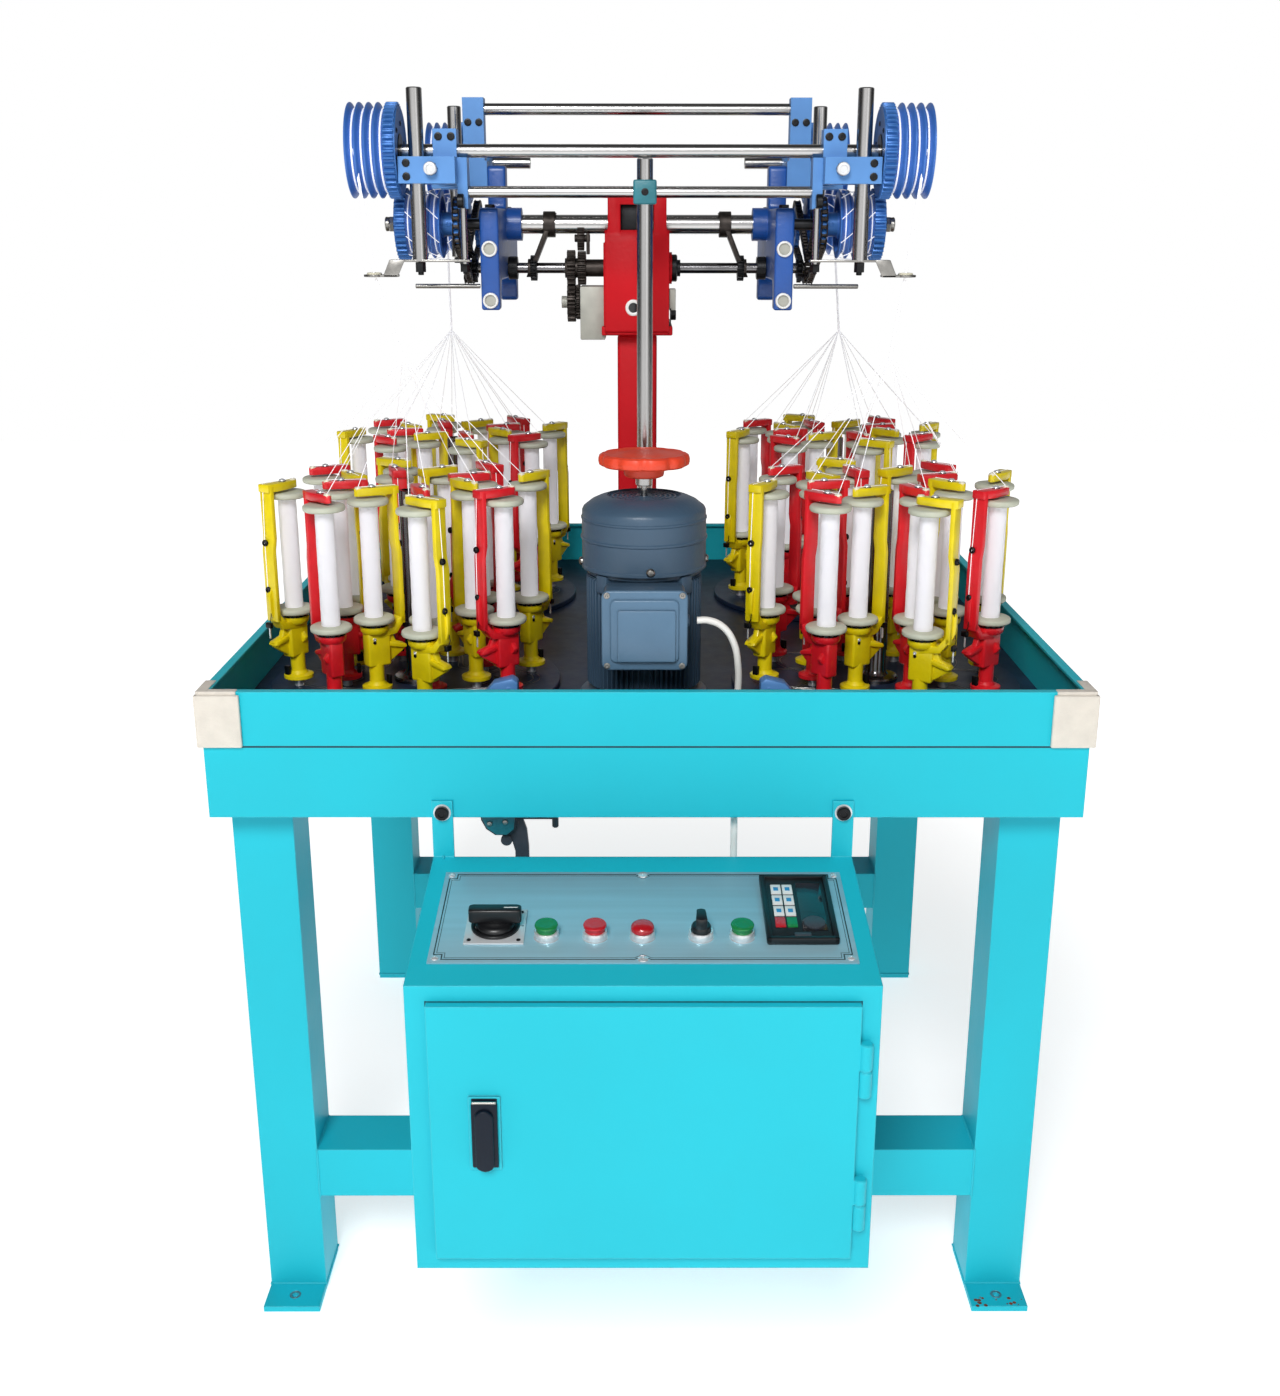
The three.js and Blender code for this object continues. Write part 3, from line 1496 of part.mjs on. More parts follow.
// Each horn gear holds two carriers at rest, one on the head's outer ring and one on its inner ring.
// Neighbouring gears turn opposite ways, so their carriers face different ways from the head's centre.
function carrierPlaces(centreX, centreY) {
  const places = [];
  for (let i = 0; i < hornGears; i++) {
    const around = 2 * Math.PI * i / hornGears;
    for (const [ring, local] of [Math.PI / 4, Math.PI * 3 / 4].entries()) {
      const outX = hornCircle * Math.cos(around) + hornRadius * Math.cos(around + local);
      const outY = hornCircle * Math.sin(around) + hornRadius * Math.sin(around + local);
      places.push({
        x: centreX + outX,
        y: centreY + outY,
        facing: Math.atan2(outY, outX) + facings[ring][i % 2] * Math.PI / 180,
      });
    }
  }
  return places;
}

function placed(piece, place) {
  return piece.rotate([0, 0, place.facing * 180 / Math.PI]).translate([place.x, place.y, 0]);
}

function head(centreX, centreY, free) {
  const plate = barZ(centreX, centreY, deckTop + gap, trackTop, trackRadius, fineRound);
  const footTop = trackTop + tubeFootHeight;
  const foot = barZ(centreX, centreY, trackTop - bite, footTop, tubeFootRadius, coarseRound);
  const tube = barZ(centreX, centreY, trackTop, tubeTop, tubeRadius, coarseRound);
  const boreRadius = tubeRadius * tubeBoreShare;
  const bore = barZ(centreX, centreY, tubeTop - tubeFootRadius, tubeTop + overrun, boreRadius, coarseRound);
  const carrier = join(carrierFrame(trackTop - bite), turned(bobbinProfile(carrierSeatZ - bite), hexRound));
  const carriers = carrierPlaces(centreX, centreY)
    .filter((place, index) => index !== free)
    .map(place => placed(carrier, place));
  return join(cut(join(plate, foot, tube), bore), ...carriers);
}

const freeCarrier = 12;
const rows = { front: headFrontY, rear: headRearY };
for (const [row, y] of Object.entries(rows)) {
  for (const [name, side] of Object.entries(sides)) {
    const free = row === 'front' && name === 'right' ? freeCarrier : -1;
    add(`head_${row}_${name}`, head(side * headX, y, free), 'headYellow');
  }
}

// One carrier stands by itself, with its bobbin free to turn on the spindle.
const freePlace = carrierPlaces(headX, headFrontY)[freeCarrier];

function freeFrame() {
  const spindle = barZ(0, 0, carrierSeatZ - bite, carrierTop - latchThick + bite, spindleRadius, coarseRound);
  return placed(join(carrierFrame(trackTop + gap), spindle), freePlace);
}

function freeBobbin() {
  const bore = barZ(0, 0, carrierSeatZ - overrun, carrierTop, spindleBore, coarseRound);
  return placed(cut(turned(bobbinProfile(bobbinBottom - bite), mediumRound), bore), freePlace);
}

add('carrier_front_right', freeFrame(), 'headYellow');
add('bobbin_front_right', freeBobbin(), 'yarn');

// The origin is at the middle of the footprint.
const bounds = new THREE.Box3().setFromObject(machine);
const middle = bounds.getCenter(new THREE.Vector3());
machine.position.set(-middle.x, -middle.y, -bounds.min.z);

const group = new THREE.Group();
group.add(machine);
export default group;
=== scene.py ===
# Rope braiding machine: camera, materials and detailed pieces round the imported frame.
# Places taken from the frame are in metres. Forms are drawn in millimetres, as their section says.
import math
import random

import bmesh
import bpy
from mathutils import Matrix, Vector


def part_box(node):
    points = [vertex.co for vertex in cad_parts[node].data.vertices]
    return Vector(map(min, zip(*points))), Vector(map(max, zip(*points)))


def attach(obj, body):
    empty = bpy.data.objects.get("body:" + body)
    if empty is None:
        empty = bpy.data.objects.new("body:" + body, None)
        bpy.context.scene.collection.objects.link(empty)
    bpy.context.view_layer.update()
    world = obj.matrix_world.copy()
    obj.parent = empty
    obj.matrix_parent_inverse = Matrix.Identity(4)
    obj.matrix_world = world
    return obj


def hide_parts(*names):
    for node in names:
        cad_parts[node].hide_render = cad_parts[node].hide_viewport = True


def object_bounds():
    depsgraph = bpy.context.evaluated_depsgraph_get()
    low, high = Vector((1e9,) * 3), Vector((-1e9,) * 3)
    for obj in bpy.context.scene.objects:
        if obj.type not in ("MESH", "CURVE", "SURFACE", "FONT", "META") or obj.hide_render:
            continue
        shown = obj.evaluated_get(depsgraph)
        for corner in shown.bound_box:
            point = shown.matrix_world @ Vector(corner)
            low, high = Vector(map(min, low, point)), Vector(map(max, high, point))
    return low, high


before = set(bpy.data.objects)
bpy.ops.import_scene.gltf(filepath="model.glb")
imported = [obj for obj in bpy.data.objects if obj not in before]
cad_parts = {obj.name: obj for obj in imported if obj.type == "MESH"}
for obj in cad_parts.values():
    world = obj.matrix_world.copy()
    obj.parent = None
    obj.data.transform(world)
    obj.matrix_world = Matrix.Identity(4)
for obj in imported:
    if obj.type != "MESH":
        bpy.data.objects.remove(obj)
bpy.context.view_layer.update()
random.seed(7)

# Places that much else is measured from
FRAME = "frame"
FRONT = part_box("tray_rim")[0].y
DECK_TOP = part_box("track_deck")[1].z
BAND_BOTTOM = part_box("table_frame")[0].z
UP = Vector((0, 0, 1))
ACROSS = Vector((1, 0, 0))
BACK = Vector((0, 1, 0))
SIDES = (("left", -1), ("right", 1))
TURN = 2 * math.pi

# Camera, fitted to the corners of the table, the cabinet and the posts in the photograph
PHOTO_WIDTH = 1280
PHOTO_HEIGHT = 1396
FOCAL_PIXELS = 1504.7
PRINCIPAL_RIGHT = 3.7
PRINCIPAL_DOWN = -8.2
CAMERA_X = -0.0073
CAMERA_AHEAD = 1.6673
CAMERA_HEIGHT = 1.3721
PITCH = math.radians(17.107)
YAW = math.radians(0.127)
ROLL = math.radians(0.054)
SENSOR = 36.0


def place_camera():
    data = bpy.data.cameras.new("camera")
    data.sensor_fit = "VERTICAL"
    data.sensor_height = SENSOR
    data.sensor_width = SENSOR * PHOTO_WIDTH / PHOTO_HEIGHT
    data.lens = SENSOR * FOCAL_PIXELS / PHOTO_HEIGHT
    data.shift_x = -PRINCIPAL_RIGHT / PHOTO_HEIGHT
    data.shift_y = PRINCIPAL_DOWN / PHOTO_HEIGHT
    camera = bpy.data.objects.new("camera", data)
    bpy.context.scene.collection.objects.link(camera)
    ahead = Vector((math.sin(YAW) * math.cos(PITCH), math.cos(YAW) * math.cos(PITCH), -math.sin(PITCH)))
    level = Vector((math.cos(YAW), -math.sin(YAW), 0))
    over = level.cross(ahead)
    right = level * math.cos(ROLL) + over * math.sin(ROLL)
    top = over * math.cos(ROLL) - level * math.sin(ROLL)
    turn = Matrix((right, top, -ahead)).transposed().to_4x4()
    camera.matrix_world = Matrix.Translation((CAMERA_X, FRONT - CAMERA_AHEAD, CAMERA_HEIGHT)) @ turn
    bpy.context.scene.camera = camera


place_camera()

# Materials. The sRGB curve is its standard's.
SRGB_KNEE = 0.04045
SRGB_SLOPE = 12.92
SRGB_LIFT = 0.055
SRGB_POWER = 2.4
WHITE = (1, 1, 1, 1)
MOTTLE_FROM = 0.3
MOTTLE_TO = 0.7
GLOSS_FINER = 4
LEAST_ROUGHNESS = 0.02
# edge colour on the rounded CAD edges, partly worn paint and partly a painted highlight: where it starts,
# where it is full, and its share
WEAR_HIGHLIGHT_FROM = 0.995
WEAR_HIGHLIGHT_FULL = 0.8
WEAR_HIGHLIGHT_SHARE = 0.55


def colour(code):
    """Linear colour from a six-figure sRGB code."""
    parts = [int(code[i:i + 2], 16) / 255 for i in (0, 2, 4)]
    return [
        c / SRGB_SLOPE if c <= SRGB_KNEE else ((c + SRGB_LIFT) / (1 + SRGB_LIFT)) ** SRGB_POWER for c in parts
    ] + [1.0]


def shade(rgb, share):
    return [min(1.0, c * share) for c in rgb[:3]] + [1.0]


def material(
    name, code, roughness=0.4, metallic=0.0, coat=0.0, mottle=0.06, mottle_scale=9.0, spread=0.08,
    grain=0.00015, grain_scale=260.0, rounding=0.0, wear_and_highlight=None, sheen=0.0, clear=0.0, stretch=(1, 1, 1),
    specular=0.5,
):
    """A painted, metal or plastic finish with uneven tone, uneven gloss and a fine grain.

    rounding softens the edges of the plain CAD solids, and wear_and_highlight is the lighter colour
    that shows on them: partly worn paint, partly a painted highlight.
    """
    made = bpy.data.materials.new(name)
    made.use_nodes = True
    tree = made.node_tree
    shader = tree.nodes["Principled BSDF"]
    for socket, value in (
        ("Metallic", metallic), ("Coat Weight", coat), ("Specular IOR Level", specular),
        ("Sheen Weight", sheen), ("Transmission Weight", clear),
    ):
        shader.inputs[socket].default_value = value
    base = colour(code)

    place = tree.nodes.new("ShaderNodeTexCoord")
    mapping = tree.nodes.new("ShaderNodeMapping")
    mapping.inputs["Scale"].default_value = stretch
    tree.links.new(place.outputs["Object"], mapping.inputs["Vector"])

    def noise(scale, detail):
        node = tree.nodes.new("ShaderNodeTexNoise")
        node.inputs["Scale"].default_value = scale
        node.inputs["Detail"].default_value = detail
        tree.links.new(mapping.outputs["Vector"], node.inputs["Vector"])
        return node.outputs["Fac"]

    ramp = tree.nodes.new("ShaderNodeValToRGB")
    dark, pale = ramp.color_ramp.elements
    dark.position = MOTTLE_FROM
    pale.position = MOTTLE_TO
    dark.color = shade(base, 1 - mottle)
    pale.color = shade(base, 1 + mottle)
    tree.links.new(noise(mottle_scale, 5.0), ramp.inputs["Fac"])
    tone = ramp.outputs["Color"]

    gloss = tree.nodes.new("ShaderNodeMapRange")
    gloss.inputs["To Min"].default_value = max(LEAST_ROUGHNESS, roughness - spread)
    gloss.inputs["To Max"].default_value = roughness + spread
    tree.links.new(noise(mottle_scale * GLOSS_FINER, 4.0), gloss.inputs["Value"])
    tree.links.new(gloss.outputs["Result"], shader.inputs["Roughness"])

    bump = tree.nodes.new("ShaderNodeBump")
    bump.inputs["Distance"].default_value = grain
    tree.links.new(noise(grain_scale, 3.0), bump.inputs["Height"])
    if rounding:
        bevel = tree.nodes.new("ShaderNodeBevel")
        bevel.samples = 4
        bevel.inputs["Radius"].default_value = rounding
        tree.links.new(bevel.outputs["Normal"], bump.inputs["Normal"])
        # lighter colour where the bevelled normal leaves the true one, on the edges: partly worn paint,
        # partly a painted highlight
        if wear_and_highlight:
            flat = tree.nodes.new("ShaderNodeNewGeometry")
            dot = tree.nodes.new("ShaderNodeVectorMath")
            dot.operation = "DOT_PRODUCT"
            tree.links.new(bevel.outputs["Normal"], dot.inputs[0])
            tree.links.new(flat.outputs["Normal"], dot.inputs[1])
            edge = tree.nodes.new("ShaderNodeMapRange")
            edge.inputs["From Min"].default_value = WEAR_HIGHLIGHT_FROM
            edge.inputs["From Max"].default_value = WEAR_HIGHLIGHT_FULL
            edge.inputs["To Max"].default_value = WEAR_HIGHLIGHT_SHARE
            tree.links.new(dot.outputs["Value"], edge.inputs["Value"])
            mix = tree.nodes.new("ShaderNodeMix")
            mix.data_type = "RGBA"
            mix.inputs[7].default_value = colour(wear_and_highlight)
            tree.links.new(edge.outputs["Result"], mix.inputs["Factor"])
            tree.links.new(tone, mix.inputs[6])
            tone = mix.outputs[2]
    tree.links.new(tone, shader.inputs["Base Color"])
    tree.links.new(bump.outputs["Normal"], shader.inputs["Normal"])
    return made


# Enamels
# cyan enamel with a lighter cyan on its rounded edges: partly worn paint, partly a painted highlight
cyan = material("cyan_enamel", "20BED0", 0.46, specular=0.22, mottle=0.035, mottle_scale=4.0,
                grain=0.0002, grain_scale=120.0, rounding=0.0025, wear_and_highlight="5FDDEC")
deck_dark = material("deck_enamel", "15263F", 0.42, specular=0.3, mottle=0.3,
                     mottle_scale=14.0, rounding=0.001)
motor_blue = material("motor_enamel", "3F566B", 0.38, specular=0.4, mottle=0.08,
                      mottle_scale=12.0, grain=0.0003, grain_scale=220.0)
motor_light = material("motor_lid", "56758F", 0.36, specular=0.35, mottle=0.07,
                       mottle_scale=14.0, grain=0.0003, grain_scale=220.0)
red_enamel = material("red_enamel", "C4101C", 0.42, specular=0.15, mottle=0.07,
                      mottle_scale=10.0, grain=0.00025, grain_scale=200.0, rounding=0.0015)
clamp_blue = material("clamp_blue", "548AC8", 0.42, 0.1, mottle_scale=20.0, grain=0.00006,
                      grain_scale=700.0, rounding=0.0008)
capstan_blue = material("capstan_blue", "3E70BE", 0.36, 0.2, mottle=0.08,
                        mottle_scale=25.0, grain=0.00008, grain_scale=500.0)
gear_blue = material("gear_blue", "336AAE", 0.42, 0.3, mottle=0.08, mottle_scale=30.0)
bracket_blue = material("bracket_blue", "184E9C", 0.35, coat=0.1, mottle=0.1,
                        mottle_scale=25.0, grain=0.0003, rounding=0.0015)
teal_paint = material("teal_paint", "22707C", mottle=0.2, mottle_scale=30.0, grain=0.0004)
arm_grey = material("arm_grey", "33363F", 0.5, mottle=0.25, mottle_scale=40.0)
carrier_yellow = material("carrier_yellow", "E4CE08", 0.36, coat=0.2, mottle=0.1,
                          mottle_scale=40.0, grain=0.0003, grain_scale=320.0)
carrier_red = material("carrier_red", "DC1A26", 0.36, coat=0.2, mottle=0.1,
                       mottle_scale=40.0, grain=0.0003, grain_scale=320.0)

# Metals
chrome = material("chrome", "B4B3B2", 0.2, 1.0, mottle=0.03, spread=0.03, grain=0.000003,
                  grain_scale=400.0)
polished = material("polished_steel", "E2E4E6", 0.24, 0.55, mottle=0.04, spread=0.05)
steel = material("steel", "8F8D89", 0.33, 1.0, mottle=0.1, mottle_scale=60.0, spread=0.1,
                 grain=0.00004, grain_scale=600.0, rounding=0.0005)
tube_steel = material("tube_steel", "6F6E70", 0.2, 1.0, mottle=0.25, mottle_scale=30.0,
                      spread=0.06, grain=0.00003, grain_scale=700.0, stretch=(1, 1, 0.2))
brushed = material("brushed_plate", "9CC6D4", metallic=0.3, mottle_scale=90.0,
                   grain=0.00003, grain_scale=700.0, stretch=(0.04, 1, 1))
black_steel = material("black_steel", "1C1D1F", 0.38, 0.7, mottle=0.35, mottle_scale=80.0,
                       grain=0.0001, grain_scale=500.0)
dark_iron = material("dark_iron", "3A3532", 0.45, 0.85, mottle=0.4, mottle_scale=120.0,
                     grain=0.0002, grain_scale=400.0)
cast_metal = material("cast_metal", "A5A59C", 0.55, 0.25, mottle=0.1, mottle_scale=70.0)
white_metal = material("white_metal", "D8DADC", 0.3, 0.4, mottle=0.04)
bare_steel = material("bare_steel", "6E8890", metallic=0.6, mottle=0.3, mottle_scale=120.0)
rust = material("rust", "7A3B22", 0.8, mottle=0.4, mottle_scale=200.0, grain=0.0004)

# Plastics, foam, rubber and fibre
foam = material("foam", "DAD3C8", 0.85, mottle=0.05, mottle_scale=60.0, grain=0.0006,
                grain_scale=500.0, sheen=0.2)
black = material("black_plastic", "101114", 0.33, mottle=0.2, grain=0.00006,
                 grain_scale=900.0)
orange = material("orange_plastic", "E24426", 0.42, mottle=0.08, mottle_scale=30.0,
                  grain=0.0002)
rubber = material("rubber", "17171A", 0.7, mottle=0.2, grain=0.0003, grain_scale=800.0)
flange_nylon = material("flange_nylon", "BFC2B0", 0.5, mottle_scale=60.0)
bead = material("bead", "E4DFC8", 0.3, mottle=0.05, mottle_scale=200.0)
green = material("green_cap", "12803F", 0.25, coat=0.3)
red_cap = material("red_cap", "C21522", 0.25, coat=0.3)
lamp_red = material("lamp_lens", "C41824", 0.12, mottle=0.05, coat=0.6, clear=0.15)
white_plastic = material("white_plastic", "E8E8E6", mottle=0.03)
screen_glass = material("screen_glass", "16181C", 0.12, mottle=0.05, coat=0.5)
key_blue = material("key_blue", "2E8FC4", mottle=0.05)
dial_grey = material("dial_grey", "3A4048", mottle=0.08)
lock_navy = material("lock_navy", "0E1826", 0.42, specular=0.2, mottle=0.15)
# dark colour of painted shade in the door's gap and on the seam under the rim
gap_shade_dark = material("joint", "0E4452", 0.7, mottle=0.2)
cable_white = material("cable_white", "EDEBE6", 0.45, mottle=0.03, grain=0.00008)
cord_white = material("cord_white", "F1F1F6", 0.8, mottle=0.05, mottle_scale=300.0, sheen=0.3)

YARN_PITCH = 620.0
YARN_UNEVEN = 1.5
YARN_DEPTH = 0.00025


def yarn_finish():
    """Filament yarn in close turns: fine bands round the barrel, with a soft sheen."""
    made = material("yarn", "F7F5FE", 0.62, mottle=0.04, mottle_scale=120.0, sheen=0.45)
    tree = made.node_tree
    shader = tree.nodes["Principled BSDF"]
    place = tree.nodes.new("ShaderNodeTexCoord")
    wave = tree.nodes.new("ShaderNodeTexWave")
    wave.bands_direction = "Z"
    wave.inputs["Scale"].default_value = YARN_PITCH
    wave.inputs["Distortion"].default_value = YARN_UNEVEN
    bump = tree.nodes.new("ShaderNodeBump")
    bump.inputs["Distance"].default_value = YARN_DEPTH
    tree.links.new(place.outputs["Object"], wave.inputs["Vector"])
    tree.links.new(wave.outputs["Fac"], bump.inputs["Height"])
    tree.links.new(bump.outputs["Normal"], shader.inputs["Normal"])
    return made


yarn = yarn_finish()
# a little painted glow keeps the white yarn and cord bright in shade, standing in for the light that passes
# through the fibre
for fibre, glow in ((yarn, 0.2), (cord_white, 0.3)):
    sockets = fibre.node_tree.nodes["Principled BSDF"].inputs
    sockets["Emission Color"].default_value = WHITE
    sockets["Emission Strength"].default_value = glow

# The motor's cable: out of the terminal box, over in an arc, down through the deck and the band, and
# forward into the back of the cabinet. These are the points of its solid.
CABLE_DIAMETER = 0.0085
CABLE_START = 0.0603
CABLE_EXIT_Y = FRONT + 0.078
CABLE_EXIT_Z = 0.922
CABLE_DECK_X = 0.108
CABLE_DECK_Y = FRONT + 0.080
CABLE_END_X = 0.106
CABLE_END_Z = 0.6
cable_route = [
    (CABLE_START, CABLE_EXIT_Y, CABLE_EXIT_Z),
    (CABLE_START + 0.013, CABLE_EXIT_Y, CABLE_EXIT_Z),
    (CABLE_START + 0.031, CABLE_EXIT_Y, CABLE_EXIT_Z - 0.008),
    (CABLE_START + 0.044, CABLE_EXIT_Y, CABLE_EXIT_Z - 0.027),
    (CABLE_START + 0.050, CABLE_EXIT_Y, CABLE_EXIT_Z - 0.056),
    (CABLE_DECK_X + 0.003, CABLE_DECK_Y, DECK_TOP + 0.043),
    (CABLE_DECK_X, CABLE_DECK_Y, DECK_TOP + 0.006),
    (CABLE_DECK_X, CABLE_DECK_Y - 0.001, DECK_TOP - 0.016),
    (CABLE_DECK_X - 0.001, CABLE_DECK_Y - 0.014, BAND_BOTTOM + 0.045),
    (CABLE_END_X, CABLE_DECK_Y - 0.036, BAND_BOTTOM + 0.016),
    (CABLE_END_X, CABLE_DECK_Y - 0.052, BAND_BOTTOM - 0.014),
    (CABLE_END_X, CABLE_DECK_Y - 0.055, BAND_BOTTOM - 0.050),
    (CABLE_END_X, FRONT + 0.020, CABLE_END_Z + 0.014),
    (CABLE_END_X, FRONT + 0.010, CABLE_END_Z),
    (CABLE_END_X, FRONT, CABLE_END_Z),
]


def cable_curve():
    data = bpy.data.curves.new("motor_lead", "CURVE")
    data.dimensions = "3D"
    data.bevel_depth = CABLE_DIAMETER / 2
    data.bevel_resolution = 5
    data.use_fill_caps = True
    data.resolution_u = 8
    spline = data.splines.new("BEZIER")
    spline.bezier_points.add(len(cable_route) - 1)
    for point, place in zip(spline.bezier_points, cable_route):
        point.co = place
        point.handle_left_type = point.handle_right_type = "AUTO"
    lead = bpy.data.objects.new("motor_lead", data)
    bpy.context.scene.collection.objects.link(lead)
    data.materials.append(cable_white)
    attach(lead, FRAME)
    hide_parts("motor_cable")


cable_curve()

# Building blocks of the pieces: each adds one closed form to a bmesh. Forms are drawn in millimetres,
# with Y counted from the front of the tray, and BENCH takes a finished form to its place in metres.
METRES = 0.001
BENCH = Matrix.Translation((0, FRONT, 0)) @ Matrix.Scale(METRES, 4)
DECK = DECK_TOP * 1000
TINY = 1e-4
FINE = 40
MEDIUM = 24
COARSE = 12
SHARP = math.radians(35)


def shift(x, y, z):
    return Matrix.Translation((x, y, z))


def ring_of(count, start=0.0):
    """Angles of evenly spaced places round an axis."""
    return [start + TURN * i / count for i in range(count)]


def merge(form, part, at=None):
    data = bpy.data.meshes.new("part")
    part.to_mesh(data)
    part.free()
    if at is not None:
        data.transform(at)
    form.from_mesh(data)
    bpy.data.meshes.remove(data)


def skin(part, rings, closed=False, capped=True):
    """Faces between rings of points, round the form and along it, with or without its ends."""
    pairs = list(zip(rings, rings[1:]))
    if closed:
        pairs.append((rings[-1], rings[0]))
    for one, two in pairs:
        sides = max(len(one), len(two))
        for i in range(sides if sides > 1 else 0):
            j = (i + 1) % sides
            if len(one) == 1:
                part.faces.new((one[0], two[j], two[i]))
            elif len(two) == 1:
                part.faces.new((one[i], one[j], two[0]))
            else:
                part.faces.new((one[i], one[j], two[j], two[i]))
    if capped and not closed:
        part.faces.new(rings[0])
        part.faces.new(rings[-1])
    bmesh.ops.recalc_face_normals(part, faces=part.faces)


def block(form, low, high, edge=0.8, segments=2, at=None):
    """A box between two corners, with rounded edges."""
    low, high = Vector(map(min, low, high)), Vector(map(max, low, high))
    part = bmesh.new()
    bmesh.ops.create_cube(part, size=1.0)
    size = high - low
    bmesh.ops.scale(part, vec=size, verts=part.verts)
    bmesh.ops.translate(part, vec=(low + high) / 2, verts=part.verts)
    if edge:
        bmesh.ops.bevel(
            part, geom=part.edges[:], offset=min(edge, min(size) / 3), segments=segments, profile=0.5,
            affect="EDGES",
        )
    merge(form, part, at)


def turned(form, profile, origin=(0, 0, 0), axis=UP, sides=FINE, at=None):
    """A turned form: profile is (radius, distance along the axis) from end to end, on or off the axis."""
    part = bmesh.new()
    rings = []
    for radius, along in profile:
        spots = [(0, 0, along)] if radius < TINY else [
            (radius * math.cos(angle), radius * math.sin(angle), along) for angle in ring_of(sides)
        ]
        rings.append([part.verts.new(spot) for spot in spots])
    closed = profile[0][0] > TINY and profile[-1][0] > TINY
    skin(part, rings, closed, capped=False)
    turn = Vector(axis).to_track_quat("Z", "Y").to_matrix().to_4x4()
    part.transform(Matrix.Translation(origin) @ turn)
    merge(form, part, at)


def bar(form, start, end, radius, sides=MEDIUM, edge=0.6, at=None):
    """A round bar with chamfered ends."""
    start, end = Vector(start), Vector(end)
    length = (end - start).length
    edge = min(edge, radius / 3, length / 3)
    profile = [
        (0, 0), (radius - edge, 0), (radius, edge), (radius, length - edge), (radius - edge, length),
        (0, length),
    ]
    turned(form, profile, start, end - start, sides, at)


def pipe(form, start, end, radius, bore, sides=MEDIUM, edge=0.4, at=None):
    """A round tube, open at both ends."""
    start, end = Vector(start), Vector(end)
    length = (end - start).length
    profile = [
        (bore, 0), (radius - edge, 0), (radius, edge), (radius, length - edge), (radius - edge, length),
        (bore, length),
    ]
    turned(form, profile, start, end - start, sides, at)


def prism(form, outline, along, low, high, edge=0.8, segments=2, at=None):
    """An outline pushed along an axis: "x" takes (y, z) points, "y" takes (x, z) and "z" takes (x, y)."""
    part = bmesh.new()
    place = {
        "x": lambda u, v, w: (w, u, v), "y": lambda u, v, w: (u, w, v), "z": lambda u, v, w: (u, v, w),
    }[along]
    under = [part.verts.new(place(u, v, low)) for u, v in outline]
    over = [part.verts.new(place(u, v, high)) for u, v in outline]
    part.faces.new(under)
    part.faces.new(over)
    for i in range(len(outline)):
        j = (i + 1) % len(outline)
        part.faces.new((under[i], under[j], over[j], over[i]))
    bmesh.ops.recalc_face_normals(part, faces=part.faces)
    if edge:
        sharp = [e for e in part.edges if e.calc_face_angle(0) > SHARP]
        bmesh.ops.bevel(part, geom=sharp, offset=edge, segments=segments, profile=0.5, affect="EDGES")
    merge(form, part, at)


def sweep(form, points, radius, sides=8, closed=False, at=None):
    """A round wire or cord along a line of points."""
    points = [Vector(p) for p in points]
    count = len(points)
    part = bmesh.new()
    rings = []
    side = None
    for i, point in enumerate(points):
        before = points[(i - 1) % count] if closed or i else point
        after = points[(i + 1) % count] if closed or i < count - 1 else point
        way = (after - before).normalized()
        if side is None:
            side = way.orthogonal().normalized()
        side = (side - way * side.dot(way)).normalized()
        other = way.cross(side)
        rings.append([
            part.verts.new(point + radius * (side * math.cos(angle) + other * math.sin(angle)))
            for angle in ring_of(sides)
        ])
    skin(part, rings, closed)
    merge(form, part, at)


def screw(form, place, axis, radius=3.5, height=2, at=None):
    """A socket-head screw: a low drum with a dimple in its top."""
    profile = [
        (0, -height), (radius, -height), (radius, height * 0.7), (radius * 0.85, height),
        (radius * 0.5, height), (radius * 0.45, height * 0.2), (0, height * 0.2),
    ]
    turned(form, profile, place, axis, COARSE, at)


def hexagon(form, place, axis, across, low, high, washer=0.0):
    """A nut with a rounded face, and a washer under it when one is asked for."""
    radius = across / math.sqrt(3)
    place, axis = Vector(place), Vector(axis)
    turned(form, [
        (0, low), (radius, low), (radius, high - radius * 0.12), (radius * 0.9, high), (0, high),
    ], place, axis, 6)
    if washer:
        turned(form, [(0, low - 1.5), (washer, low - 1.5), (washer, low - 0.2), (0, low)], place, axis)


def piece(name, form, finish, body=FRAME, stands_for=(), angle=SHARP):
    """Makes a form into a piece of the object, with smooth round faces and sharp corners."""
    data = bpy.data.meshes.new(name)
    form.transform(BENCH)
    form.to_mesh(data)
    form.free()
    data.shade_smooth()
    data.set_sharp_from_angle(angle=angle)
    data.materials.append(finish)
    made = bpy.data.objects.new(name, data)
    bpy.context.scene.collection.objects.link(made)
    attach(made, body)
    if stands_for:
        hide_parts(*stands_for)
    return made


# Braiding heads. A carrier is drawn round its bobbin's axis, with heights from the track plate.
HEAD_X = 304
HEAD_Y = {"front": 250, "rear": 755}
HORN_GEARS = 8
HORN_CIRCLE = 117.6
HORN_RADIUS = 45
TRACK_RADIUS = 190
TRACK_TOP = DECK + 8.3
GROOVE_HALF = 4.5
GROOVE_STEPS = 240
GROOVE_IN = 4
EDGE_RADIUS = 0.45
EDGE_RISE = 0.1
PLATE_LIFT = 0.3
TUBE_BORE = 9.5
TUBE_RADIUS = 13.5
TUBE_FOOT = 30
TUBE_TOP = 251.7
FREE_CARRIER = 12
FACINGS = ((45, -110), (180, 150))
FOOT_BASE = 11
FOOT_RADIUS = 19
FOOT_THICK = 6
STEM_RADIUS = 9.5
CASTING_BOTTOM = 42
CASTING_TOP = 94
CASTING_HALF = 12.5
CASTING_DEEP = 9
FIN_REACH = 41
FLANGE_RADIUS = 25.5
FLANGE_THICK = 8
BOBBIN_LOW = 98.5
BOBBIN_HIGH = 255.5
YARN_RADIUS = 11.5
